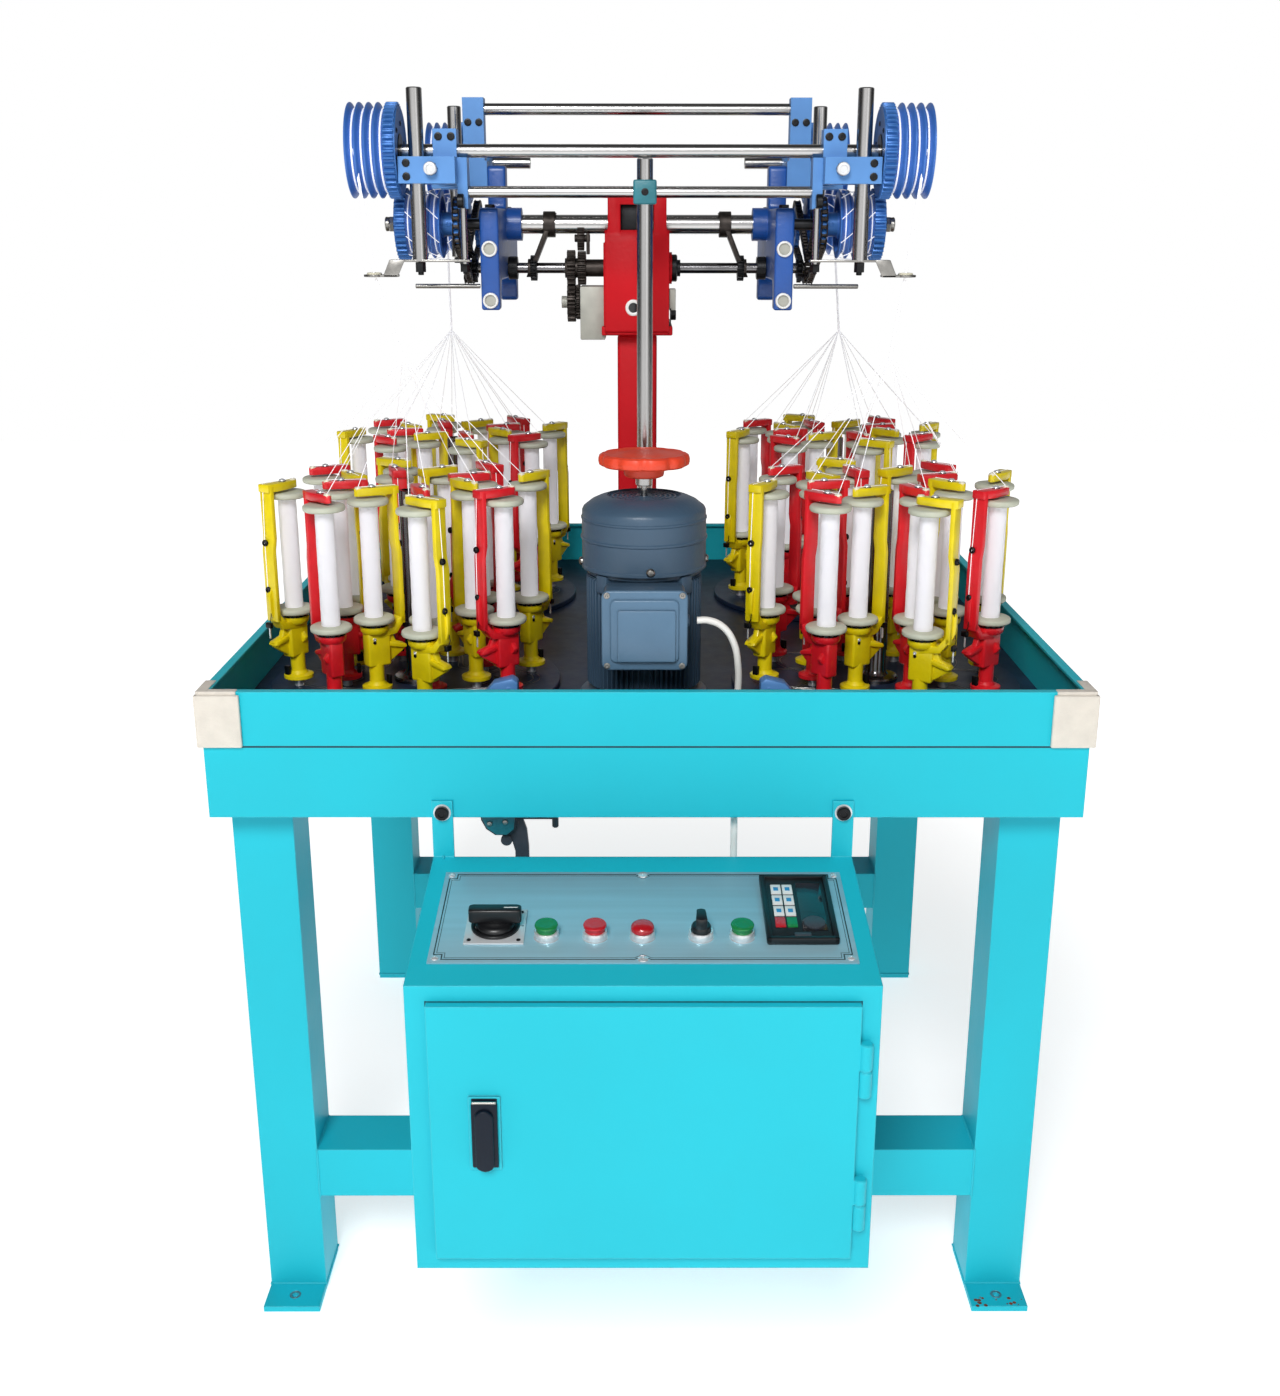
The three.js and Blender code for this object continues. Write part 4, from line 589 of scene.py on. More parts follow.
UPRIGHT_IN = 32.5
UPRIGHT_OUT = 38.5
UPRIGHT_HALF = 9.5
UPRIGHT_TOP = 266.5
ARM_HALF = 8
ARM_THICK = 6
KINK = 2.8
RATCHET_TEETH = 14
RATCHET_TIP = 16.5
RATCHET_ROOT = 12.5
LATCH_REACH = -14
EYELET_RADIUS = 4.2
EYELET_LOW = 135
EYELET_HIGH = 195
WIRE_RADIUS = 0.6
THREAD_RADIUS = 0.5


def carrier_casting():
    """Foot flange, stem, casting with its fin, bent upright and top arm: one painted casting."""
    form = bmesh.new()
    turned(form, [
        (0, FOOT_BASE), (FOOT_RADIUS - 1, FOOT_BASE), (FOOT_RADIUS, FOOT_BASE + 1),
        (FOOT_RADIUS, FOOT_BASE + FOOT_THICK - 1), (FOOT_RADIUS - 2, FOOT_BASE + FOOT_THICK),
        (STEM_RADIUS + 3, FOOT_BASE + FOOT_THICK + 1), (STEM_RADIUS, FOOT_BASE + FOOT_THICK + 5),
        (STEM_RADIUS, CASTING_BOTTOM + 4), (0, CASTING_BOTTOM + 4),
    ], sides=MEDIUM)
    block(form, (-CASTING_HALF - 1, -CASTING_DEEP, CASTING_BOTTOM),
          (CASTING_HALF + 5, CASTING_DEEP, CASTING_TOP - 4), 3, 3)
    turned(form, [
        (0, CASTING_TOP - 9), (15, CASTING_TOP - 9), (17.5, CASTING_TOP - 6), (18, CASTING_TOP - 2),
        (18, CASTING_TOP), (0, CASTING_TOP),
    ], sides=MEDIUM)
    # the broad fin under the upright, with a rib along its top edge, and a small lug
    fin = [
        (10, 2), (20, 5), (FIN_REACH - 3, 17), (FIN_REACH, 21), (FIN_REACH - 3, 25), (26, 30), (20, 46),
        (10, 48),
    ]
    rib = [(16, 24), (FIN_REACH - 4, 19), (FIN_REACH, 21), (FIN_REACH - 3, 25), (16, 31)]
    lug = [(0, 16), (12, 18), (15, 24), (8, 32), (0, 34)]
    base = shift(0, 0, CASTING_BOTTOM)
    prism(form, fin, "y", -5, 3, 1.4, at=base)
    prism(form, rib, "y", -CASTING_DEEP, 6, 1.6, at=base)
    prism(form, lug, "x", -7, -1, 1.2, at=base)
    # shelf out to the upright
    prism(form, [
        (0.0, CASTING_TOP - 16), (UPRIGHT_IN - 6, CASTING_TOP - 12), (UPRIGHT_OUT, CASTING_TOP + 4),
        (UPRIGHT_OUT - 1, CASTING_TOP + 10), (UPRIGHT_IN, CASTING_TOP + 8),
        (UPRIGHT_IN - 10, CASTING_TOP - 4), (0.0, CASTING_TOP - 4),
    ], "y", -UPRIGHT_HALF, UPRIGHT_HALF, edge=1)
    # the upright, with its slight kink two thirds up
    prism(form, [
        (UPRIGHT_IN, CASTING_TOP), (UPRIGHT_OUT, CASTING_TOP),
        (UPRIGHT_OUT, EYELET_HIGH - 10), (UPRIGHT_OUT - KINK, EYELET_HIGH + 6),
        (UPRIGHT_OUT - KINK, UPRIGHT_TOP), (UPRIGHT_IN - KINK, UPRIGHT_TOP),
        (UPRIGHT_IN - KINK, EYELET_HIGH + 6), (UPRIGHT_IN, EYELET_HIGH - 10),
    ], "y", -UPRIGHT_HALF, UPRIGHT_HALF, edge=0.9)
    # side web of the upright
    prism(form, [
        (UPRIGHT_OUT - 1, CASTING_TOP + 2), (UPRIGHT_OUT + 4, CASTING_TOP + 14),
        (UPRIGHT_OUT + 4, CASTING_TOP + 34), (UPRIGHT_OUT - 1, CASTING_TOP + 46),
    ], "y", -2.5, 2.5, edge=0.6)
    # the top arm, tapered over the bobbin
    prism(form, [
        (UPRIGHT_OUT, -ARM_HALF - 1), (UPRIGHT_OUT, ARM_HALF + 1), (16, ARM_HALF + 2),
        (4, ARM_HALF), (LATCH_REACH, 4.5), (LATCH_REACH - 4, 0.0), (LATCH_REACH, -4.5),
        (4, -ARM_HALF), (16, -ARM_HALF - 2),
    ], "z", UPRIGHT_TOP - ARM_THICK - 2, UPRIGHT_TOP + 2, edge=1.2)
    return form


def carrier_fittings():
    """Black fittings: eyelets, ratchet ring, screws, pawl and the stud's nut."""
    form = bmesh.new()
    ratchet = []
    for start in ring_of(RATCHET_TEETH):
        for radius, share in (
            (RATCHET_TIP, 0.0), (RATCHET_TIP, 0.55), (RATCHET_ROOT, 0.6), (RATCHET_ROOT, 0.95),
        ):
            angle = start + TURN * share / RATCHET_TEETH
            ratchet.append((radius * math.cos(angle), radius * math.sin(angle)))
    prism(form, ratchet, "z", CASTING_TOP, BOBBIN_LOW, edge=0)
    for height in (EYELET_LOW, EYELET_HIGH):
        turned(form, [
            (EYELET_RADIUS * 0.35, 0), (EYELET_RADIUS, 0), (EYELET_RADIUS, 2.5),
            (EYELET_RADIUS * 0.7, 4), (EYELET_RADIUS * 0.35, 3.5),
        ], (UPRIGHT_OUT - 1, -3, height), ACROSS, COARSE)
    screw(form, (-5, -CASTING_DEEP, 74), -BACK, 2.2, 1.2)
    block(form, (UPRIGHT_OUT + 1, -7.5, CASTING_TOP - 8), (UPRIGHT_OUT + 6, 1.5, CASTING_TOP - 1))
    turned(form, [(0, 0), (5.5, 0), (5.5, 3.5), (4, 5), (0, 5)], (0, 0, 5.5), UP, 6)
    block(form, (12, -CASTING_DEEP, FOOT_BASE + FOOT_THICK), (16.5, -1, FOOT_BASE + FOOT_THICK + 12))
    # spring wire down the upright
    sweep(form, [
        (UPRIGHT_OUT + 1.2, -3, EYELET_LOW - 2), (UPRIGHT_OUT + 2, -1, EYELET_LOW - 12),
        (UPRIGHT_OUT + 2.2, 1, EYELET_LOW - 28), (UPRIGHT_OUT + 4, 1, CASTING_TOP + 4),
        (UPRIGHT_OUT + 3.5, -2, CASTING_TOP - 3),
    ], WIRE_RADIUS, 6)
    turned(form, [(0, 0), (5.2, 0), (5.2, 0.8), (0, 1)], (6, 0, UPRIGHT_TOP + 1.8), UP, COARSE)
    return form


def carrier_brights():
    """Polished fittings: the foot's stud, the dome on the arm, the spring's hook."""
    form = bmesh.new()
    bar(form, (0, 0, 0), (0, 0, FOOT_BASE + 1), 6.6, COARSE)
    turned(form, [
        (0, 0), (4.4, 0), (4.2, 1.2), (3.3, 2.3), (1.6, 3), (0, 3.2),
    ], (6, 0, UPRIGHT_TOP + 2.4), UP, COARSE)
    screw(form, (-5, -CASTING_DEEP, 78), -BACK, 2.2, 1.2)
    bar(form, (UPRIGHT_OUT + 3, -3, CASTING_TOP - 22), (UPRIGHT_OUT + 3, -3, CASTING_TOP - 6), 1.1, 8)
    return form


def carrier_beads():
    """Pale ceramic eyelet at the tip of the top arm."""
    form = bmesh.new()
    turned(form, [
        (1.6, 0), (4, 0), (4.6, 1.5), (4.6, 4.5), (3.8, 6), (1.6, 6),
    ], (LATCH_REACH + 2, 0, UPRIGHT_TOP - 2.5), UP, COARSE)
    return form


def bobbin_flanges():
    form = bmesh.new()
    round_edge = 2.5
    for low in (BOBBIN_LOW, BOBBIN_HIGH - FLANGE_THICK):
        high = low + FLANGE_THICK
        shoulder = FLANGE_RADIUS - round_edge * 0.3
        turned(form, [
            (0, low), (FLANGE_RADIUS - round_edge, low), (shoulder, low + round_edge * 0.4),
            (FLANGE_RADIUS, low + round_edge), (FLANGE_RADIUS, high - round_edge),
            (shoulder, high - round_edge * 0.4), (FLANGE_RADIUS - round_edge, high), (0, high),
        ], sides=MEDIUM)
    return form


def bobbin_yarn():
    """Wound yarn: a long barrel, a little uneven along its length."""
    form = bmesh.new()
    low, high = BOBBIN_LOW + FLANGE_THICK - 1, BOBBIN_HIGH - FLANGE_THICK + 1
    steps = 18
    profile = [(0, low)]
    for i in range(steps + 1):
        swell = 0.12 * math.sin(i * 2.1) + 0.1 * math.sin(i * 0.7)
        profile.append((YARN_RADIUS + swell, low + (high - low) * i / steps))
    profile.append((0, high))
    turned(form, profile, sides=MEDIUM)
    return form


def carrier_places(x, y):
    """Sixteen places round a head: two on each horn gear, on an outer and an inner ring."""
    places = []
    for i in range(HORN_GEARS):
        around = TURN * i / HORN_GEARS
        for ring, local in enumerate((math.pi / 4, math.pi * 3 / 4)):
            out_x = HORN_CIRCLE * math.cos(around) + HORN_RADIUS * math.cos(around + local)
            out_y = HORN_CIRCLE * math.sin(around) + HORN_RADIUS * math.sin(around + local)
            facing = math.atan2(out_y, out_x) + math.radians(FACINGS[ring][i % 2])
            at = shift(x + out_x, y + out_y, TRACK_TOP) @ Matrix.Rotation(facing, 4, "Z")
            places.append((at, (i + ring) % 2))
    return places


def copied(master, target, at):
    data = master.copy()
    data.transform(at)
    target.from_mesh(data)
    bpy.data.meshes.remove(data)


def as_mesh(form):
    data = bpy.data.meshes.new("master")
    form.to_mesh(data)
    form.free()
    return data


def track_plate(form, x, y):
    """The round plate that the carriers run on."""
    turned(form, [
        (0, DECK + PLATE_LIFT), (TRACK_RADIUS - 1, DECK + PLATE_LIFT), (TRACK_RADIUS, DECK + PLATE_LIFT + 1),
        (TRACK_RADIUS, TRACK_TOP - 1), (TRACK_RADIUS - 1, TRACK_TOP), (0, TRACK_TOP),
    ], (x, y, 0), UP, 72)


def track_grooves(form, x, y):
    """The bright worn edges of the two crossing grooves, each a ring of lobes."""
    for ring in (0, 1):
        for half in (-1, 1):
            line = []
            for angle in ring_of(GROOVE_STEPS):
                lobes = math.cos(angle * HORN_GEARS / 2 + math.pi * ring)
                reach = HORN_CIRCLE + (HORN_RADIUS - GROOVE_IN) * lobes + half * GROOVE_HALF
                line.append((x + reach * math.cos(angle), y + reach * math.sin(angle), TRACK_TOP + EDGE_RISE))
            sweep(form, line, EDGE_RADIUS, 5, closed=True)


def centre_tube(form, x, y):
    """The tube that the braid rises through, on its stepped foot."""
    turned(form, [
        (TUBE_BORE, 0), (TUBE_FOOT, 0), (TUBE_FOOT, 4), (TUBE_FOOT - 1.5, 6), (TUBE_RADIUS + 4, 7.5),
        (TUBE_RADIUS + 2, 10), (TUBE_RADIUS, 14), (TUBE_RADIUS, TUBE_TOP - 0.7), (TUBE_RADIUS - 1, TUBE_TOP),
        (TUBE_BORE, TUBE_TOP),
    ], (x, y, TRACK_TOP))


# Parts of a carrier: name, form, finish and, on the one that is free, its body
CARRIER_PARTS = (
    ("fittings", carrier_fittings, black_steel, FRAME), ("brights", carrier_brights, polished, FRAME),
    ("beads", carrier_beads, bead, FRAME), ("flanges", bobbin_flanges, flange_nylon, "bobbin"),
    ("yarn", bobbin_yarn, yarn, "bobbin"),
)
RING_NAMES = {
    "fittings": "carrier_fittings", "brights": "carrier_brights", "beads": "carrier_beads",
    "flanges": "bobbin_flanges", "yarn": "bobbin_yarn",
}


def free_carrier(masters, at, paint):
    """The carrier that is a piece of its own, with the bobbin that turns."""
    for key, master in masters.items():
        form = bmesh.new()
        copied(master, form, at)
        if key == "casting":
            piece("free_carrier", form, paint, stands_for=["carrier_front_right"])
            continue
        finish, body = next((f, b) for name, _, f, b in CARRIER_PARTS if name == key)
        piece(f"free_{key}", form, finish, body, ["bobbin_front_right"] if key == "flanges" else ())


def head_pieces():
    masters = {"casting": as_mesh(carrier_casting())}
    for key, draw, _, _ in CARRIER_PARTS:
        masters[key] = as_mesh(draw())
    for row, y in HEAD_Y.items():
        for side, sign in SIDES:
            head = f"{row}_{side}"
            x = sign * HEAD_X
            castings = (bmesh.new(), bmesh.new())
            forms = {key: bmesh.new() for key in RING_NAMES}
            for index, (at, red) in enumerate(carrier_places(x, y)):
                if head == "front_right" and index == FREE_CARRIER:
                    free_carrier(masters, at, carrier_red if red else carrier_yellow)
                    continue
                copied(masters["casting"], castings[red], at)
                for key, form in forms.items():
                    copied(masters[key], form, at)
            piece(f"{head}_yellow_carriers", castings[0], carrier_yellow, stands_for=[f"head_{head}"])
            piece(f"{head}_red_carriers", castings[1], carrier_red)
            for key, _, finish, _ in CARRIER_PARTS:
                piece(f"{head}_{RING_NAMES[key]}", forms[key], finish)
            for name, draw, finish, slot in (
                ("track_plate", track_plate, deck_dark, None),
                ("track_edges", track_grooves, steel, "deck_paint"),
                ("centre_tube", centre_tube, tube_steel, None),
            ):
                form = bmesh.new()
                draw(form, x, y)
                piece(f"{head}_{name}", form, finish)
    for master in masters.values():
        bpy.data.meshes.remove(master)


# Overhead take-up: capstans with their gears, clamps, bars, brackets, column and gearbox. The front row
# is centred on FRONT_X, and all else on TAKE_X, the line of the column.
FRONT_X = -8
TAKE_X = -12
COLUMN_Y = 470
UPPER_Z = 1461
LOWER_Z = 1375
BEAM_Z = 1375
DRIVE_Z = 1318
IDLER_Z = 1273
GEAR_MODULE = 2.4887
ADDENDUM = 1.5
DEDENDUM = 3.3
UPPER_TEETH = 44
LOWER_TEETH = 34
GEAR_WIDE = 15
DRUM_UPPER = 56
DRUM_LOWER = 42
GROOVES = 4
GROOVE_DEEP = 8
HUB_FROM = 236.2
CHAIN_OUT = 231.5
CHAIN_UPPER = 30.6
CHAIN_LOWER = 17.6
AXLE_RADIUS = 7
AXLE_BORE = 8.3
ROD_RADIUS = 8
POST_RADIUS = 9.5
POST_FOOT = 1330
POST_TOP = 1532
POST_OUT = 272
POST_Y = 272
THIN_OUT = 218
THIN_Y = 281
GUIDE_OUT = 330
GUIDE_Z = 1312.2
ROD_OUT = 249
ROD_Z = 1439
REAR_POST_OUT = 255
REAR_POST_Y = 570
BRACKET_OUT = 188
BRACKET_HALF = 12
BRACKET_TOP = 1395
BRACKET_FACE = 330.4
BOX_BOTTOM = 1231
BOX_FRONT = 415
BOX_LEFT = -55
BOX_RIGHT = 31
COLUMN_BASE = 790.3
COLUMN_SEAT = 802
CENTRE_X = -2
ROWS = {
    "front": {"x": FRONT_X, "upper_y": 295, "lower_y": 340, "gear": 293.5, "drum": (308.5, 354.5),
              "low_drum": (294.1, 250.5)},
    "rear": {"x": TAKE_X, "upper_y": 670, "lower_y": 625, "gear": 243.5, "drum": (258.5, 304.5),
             "low_drum": (257.9, 304.5)},
}
FRONT_BAR_Y = ROWS["front"]["upper_y"]
REAR_BAR_Y = ROWS["rear"]["upper_y"]


def gear_outline(teeth, phase, pitch=None, addendum=ADDENDUM, dedendum=DEDENDUM, tip=0.24, root=0.66):
    """Teeth with straight flanks; tip and root are shares of the pitch."""
    pitch = pitch or GEAR_MODULE * teeth / 2
    points = []
    for i in range(teeth):
        for share, radius in (
            (-root / 2, pitch - dedendum), (-tip / 2, pitch + addendum), (tip / 2, pitch + addendum),
            (root / 2, pitch - dedendum),
        ):
            angle = phase + TURN * (i + share) / teeth
            points.append((radius * math.cos(angle), radius * math.sin(angle)))
    return points


def toothed(form, outline, centre, low, high, edge=0.0):
    prism(form, outline, "x", low, high, edge=edge, at=Matrix.Translation(centre))


def drum_profile(radius, start, end):
    """V grooves with rounded ridges, from a groove at the gear's face to a ridge at the far end."""
    step = (end - start) / GROOVES
    profile = [(0, start)]
    for i in range(GROOVES):
        for share, deep in (
            (0.0, 0.55), (0.1, 0.85), (0.2, 1.0), (0.36, 1.0), (0.46, 0.85), (0.74, 0.16), (0.82, 0.03),
            (0.9, 0.0), (0.96, 0.04),
        ):
            profile.append((radius - GROOVE_DEEP * deep, start + step * (i + share)))
    return profile + [
        (radius - 1, end - step * 0.02), (radius - 4, end), (radius - 8, end),
        (radius - 10, end - step * 0.5),
        (19, end - step * 0.6), (17, end - step * 0.5), (17, end - 0.5), (15.5, end - 0.2), (0, end - 0.2),
    ]


def cord_rings(form, radius, start, end, centre, sign, thick):
    """One turn of rope in each groove."""
    step = (end - start) / GROOVES
    reach = radius - GROOVE_DEEP + thick * 0.9
    for i in range(GROOVES):
        along = start + step * (i + 0.28)
        sweep(form, [
            centre + Vector((sign * along, reach * math.cos(angle), reach * math.sin(angle)))
            for angle in ring_of(48)
        ], thick, 6, closed=True)


def upper_capstan(at, sign, line, key):
    node, body = f"upper_capstan_{key}", f"upper_{key}"
    centre, axis = Vector((at["x"], at["upper_y"], UPPER_Z)), ACROSS * sign
    inner, outer = at["gear"], at["gear"] + GEAR_WIDE
    start, end = at["drum"]
    drum = bmesh.new()
    turned(drum, drum_profile(DRUM_UPPER, start, end), centre, axis, 64)
    piece(f"{node}_drum", drum, capstan_blue, body, [node])
    gear = bmesh.new()
    toothed(gear, gear_outline(UPPER_TEETH, line), centre, sign * (inner + 1.5), sign * (outer - 0.2), 0.3)
    turned(gear, [
        (20, inner + 3), (22, inner + 1.2), (44, inner + 1.2), (47, inner), (51, inner),
        (51.4, inner + 1), (51.4, inner + 4), (20, inner + 4),
    ], centre, axis, 64)
    piece(f"{node}_gear", gear, gear_blue, body)
    hub = bmesh.new()
    pipe(hub, centre + axis * (inner + 0.3), centre + axis * (inner + 5), 20, AXLE_BORE)
    pipe(hub, centre + axis * (end - 2), centre + axis * (end - 0.3), 14, AXLE_BORE)
    for angle in ring_of(6, 0.3):
        spot = centre + Vector((0, math.cos(angle), math.sin(angle))) * 33 + axis * (inner + 1.1)
        screw(hub, spot, -axis, 3, 1)
    piece(f"{node}_hub", hub, black_steel, body)
    cords = bmesh.new()
    cord_rings(cords, DRUM_UPPER, start, end, centre, sign, 1.15)
    piece(f"{node}_cord", cords, cord_white, body)


def lower_capstan(at, sign, line, key):
    """Gear, chain wheel and a drum, which points inwards in the front row and outwards in the rear one."""
    node, body = f"lower_capstan_{key}", f"lower_{key}"
    centre, axis = Vector((at["x"], at["lower_y"], LOWER_Z)), ACROSS * sign
    inner, outer = at["gear"], at["gear"] + GEAR_WIDE
    start, end = at["low_drum"]
    inward = end < start
    drum = bmesh.new()
    profile = drum_profile(DRUM_LOWER, start, end)
    if inward:
        turned(drum, [(radius, -along) for radius, along in profile], centre, -axis, 56)
    else:
        turned(drum, profile, centre, axis, 56)
    piece(f"{node}_drum", drum, capstan_blue, body, [node])
    gear = bmesh.new()
    phase = line + math.pi + math.pi / LOWER_TEETH
    toothed(gear, gear_outline(LOWER_TEETH, phase), centre, sign * (inner + 0.2), sign * (outer - 1), 0.3)
    turned(gear, [
        (12, outer - 3), (12, outer - 1), (30, outer - 1), (33, outer - 0.2), (38, outer - 0.2),
        (38.6, outer - 1), (38.6, outer - 3),
    ], centre, axis, 56)
    piece(f"{node}_gear", gear, gear_blue, body)
    wheel = bmesh.new()
    teeth = gear_outline(18, 0, CHAIN_UPPER, 1.8, 3.6, 0.18, 0.7)
    toothed(wheel, teeth, centre, sign * (CHAIN_OUT - 3), sign * (CHAIN_OUT + 3), 0.4)
    turned(wheel, [(AXLE_BORE, 226.2), (17, 226.2), (18, 227), (18, 236), (AXLE_BORE, 236)], centre, axis)
    hub_to = end + 1 if inward else inner + 1
    pipe(wheel, centre + axis * HUB_FROM, centre + axis * hub_to, 15, AXLE_BORE, FINE)
    screw(wheel, centre + axis * 242 - BACK * 14.6, -BACK, 3, 1)
    piece(f"{node}_chain_wheel", wheel, gear_blue, body)
    cords = bmesh.new()
    cord_rings(cords, DRUM_LOWER, start, end, centre, sign, 0.9)
    # fine strands that cross the ridges at a slant
    steps = 18
    reach = DRUM_LOWER + 0.4
    for first in ring_of(9):
        run = []
        for k in range(steps + 1):
            angle = first + 0.9 * k / steps
            along = start + (end - start) * (0.02 + 0.94 * k / steps)
            run.append(centre + Vector((sign * along, reach * math.cos(angle), reach * math.sin(angle))))
        sweep(cords, run, 0.55, 5)
    piece(f"{node}_cord", cords, cord_white, body)


def capstans():
    for row, at in ROWS.items():
        line = math.atan2(LOWER_Z - UPPER_Z, at["lower_y"] - at["upper_y"])
        for side, sign in SIDES:
            upper_capstan(at, sign, line, f"{row}_{side}")
            lower_capstan(at, sign, line, f"{row}_{side}")


def bars():
    """Chrome bars across the machine, and the arms that hang the drive shaft from the beam."""
    for name, x, reach, y, z, radius, edge in (
        ("upper_tie_bar", TAKE_X, 231, COLUMN_Y, 1521, 7.5, 0.6),
        ("front_capstan_bar", FRONT_X, 354.5, FRONT_BAR_Y, UPPER_Z, ROD_RADIUS, 0.6),
        ("lower_tie_bar", FRONT_X, 224, FRONT_BAR_Y, 1413, 7, 0.6),
        ("main_beam", TAKE_X, 210, COLUMN_Y, BEAM_Z, 12.5, 1),
    ):
        form = bmesh.new()
        bar(form, (x - reach, y, z), (x + reach, y, z), radius, FINE, edge)
        piece(f"{name}_bright", form, chrome, stands_for=[name])
    arms = bmesh.new()
    half = [(9, 15), (15, 4), (14, -30), (11, -63), (5, -69)]
    for beam_x, shaft_x in ((-131, -155), (107, 131)):
        lean = Matrix.Identity(4)
        lean[0][2] = (beam_x - shaft_x) / (BEAM_Z - DRIVE_Z)
        outline = [(-y, z) for y, z in half] + half[::-1]
        prism(arms, outline, "x", -3.5, 3.5, at=shift(beam_x, COLUMN_Y, BEAM_Z) @ lean)
        pipe(arms, (beam_x - 8, COLUMN_Y, BEAM_Z), (beam_x + 8, COLUMN_Y, BEAM_Z), 17, 12.5, FINE)
        pipe(arms, (shaft_x - 6, COLUMN_Y, DRIVE_Z), (shaft_x + 6, COLUMN_Y, DRIVE_Z), 12, 7.1, FINE)
    piece("hanger_arms", arms, dark_iron)


def front_post(side, sign):
    """The tall post and the thin one behind it, with the arm and the eye that guide the rope."""
    x = FRONT_X + sign * POST_OUT
    thin_x = FRONT_X + sign * THIN_OUT
    post = bmesh.new()
    bar(post, (x, POST_Y, POST_FOOT), (x, POST_Y, POST_TOP), POST_RADIUS, FINE, 1.2)
    bar(post, (thin_x, THIN_Y, 1327), (thin_x, THIN_Y, 1394), 4)
    piece(f"front_post_{side}_bright", post, chrome, stands_for=[f"front_post_{side}"])
    hard = bmesh.new()
    hexagon(hard, (x, POST_Y, 0), UP, 11, 1318, POST_FOOT)
    bar(hard, (x, POST_Y, 1314.4), (x, POST_Y, 1319), 3.6, COARSE)
    hexagon(hard, (thin_x, THIN_Y, 0), UP, 10, 1318, 1327)
    bar(hard, (thin_x, THIN_Y, 1315.5), (thin_x, THIN_Y, 1319), 2.6, COARSE)
    piece(f"front_post_{side}_nut", hard, black_steel)
    arm = bmesh.new()
    sheet = 2.8
    low_top = GUIDE_Z + sheet
    arm_top = POST_FOOT + 3
    ring_x = FRONT_X + sign * GUIDE_OUT
    block(arm, (FRONT_X + sign * 210, 263, POST_FOOT + 0.2), (FRONT_X + sign * 309, THIN_Y, arm_top), 0.6)
    prism(arm, [
        (FRONT_X + sign * out, z)
        for out, z in ((290, arm_top), (309, arm_top), (317, low_top), (317, GUIDE_Z), (300, GUIDE_Z))
    ], "y", 262, 265, 0.5)
    block(arm, (FRONT_X + sign * 300, 262, GUIDE_Z), (ring_x - sign * 8, THIN_Y, low_top), 0.6)
    pipe(arm, (ring_x, POST_Y, GUIDE_Z), (ring_x, POST_Y, low_top), 13, 7, FINE)
    piece(f"guide_arm_{side}", arm, steel)
    eye = bmesh.new()
    turned(eye, [
        (5, 0.4), (9, 0.2), (9.4, 3.8), (8.5, 5.2), (6.2, 5.4), (5, 4.2),
    ], (ring_x, POST_Y, GUIDE_Z))
    piece(f"guide_eye_{side}", eye, bead)


def rear_clamp(side, sign):
    """The rear clamp with its rods, post and axle."""
    def out(reach):
        return TAKE_X + sign * reach

    clamp = bmesh.new()
    block(clamp, (out(212), 530, 1422), (out(285), 584, 1453), 1.5)
    prism(clamp, [
        (583, 1429), (690, 1429), (690, 1478), (682, 1486), (656, 1486), (640, 1470), (583, 1453),
    ], "x", *sorted((out(212), out(239))), 1.2)
    piece(f"rear_clamp_{side}_body", clamp, clamp_blue, stands_for=[f"rear_clamp_{side}"])
    rods = bmesh.new()
    bar(rods, (out(ROD_OUT), 251, ROD_Z), (out(ROD_OUT), 531, ROD_Z), ROD_RADIUS, FINE)
    bar(rods, (out(REAR_POST_OUT), REAR_POST_Y, POST_FOOT), (out(REAR_POST_OUT), REAR_POST_Y, POST_TOP),
        POST_RADIUS, FINE, 1.2)
    bar(rods, (out(157), REAR_BAR_Y, UPPER_Z), (out(304.5), REAR_BAR_Y, UPPER_Z), ROD_RADIUS, FINE)
    piece(f"rear_rods_{side}", rods, chrome)
    hard = bmesh.new()
    hexagon(hard, (out(REAR_POST_OUT), REAR_POST_Y, 0), UP, 11, 1322.4, POST_FOOT)
    for y in (545, 575):
        screw(hard, (out(276), y, 1453), UP, 3.5, 1.5)
    for z in (1444, 1464):
        screw(hard, (out(225), 690, z), BACK, 3.5, 1.0)
    piece(f"rear_clamp_{side}_screws", hard, black_steel)


def clamp_screws(side, sign):
    """Socket screws of the front clamp, its crown and the mid block, with the ends of bar and rod."""
    screws = bmesh.new()
    for x, y, z in (
        (FRONT_X + sign * 283, 256.6, 1430), (FRONT_X + sign * 283, 256.6, 1445.5),
        (FRONT_X + sign * 230.5, 281.6, 1477), (FRONT_X + sign * 246, 281.6, 1477),
        (TAKE_X + sign * 209.5, 456.6, 1504), (TAKE_X + sign * 224, 456.6, 1504),
    ):
        screw(screws, (x, y, z), -BACK, 4.9, 0.8)
    for y in (COLUMN_Y - 7, COLUMN_Y + 7):
        screw(screws, (TAKE_X + sign * 256, y, 1456), UP, 3.0, 1.2)
    turned(screws, [(0, 0), (7.5, 0), (8.6, 1), (8.6, 7), (7.5, 8), (0, 8)],
           (FRONT_X + sign * 224, POST_Y, 1402), -ACROSS * sign)
    piece(f"clamp_screws_{side}", screws, black_steel)
    ends = bmesh.new()
    turned(ends, [
        (0, 0), (7.8, 0), (7.8, 5), (7, 6), (4.6, 6.2), (4.2, 4.5), (0, 4.5),
    ], (TAKE_X + sign * ROD_OUT, 251.6, ROD_Z), -BACK)
    piece(f"rod_end_{side}", ends, white_metal)


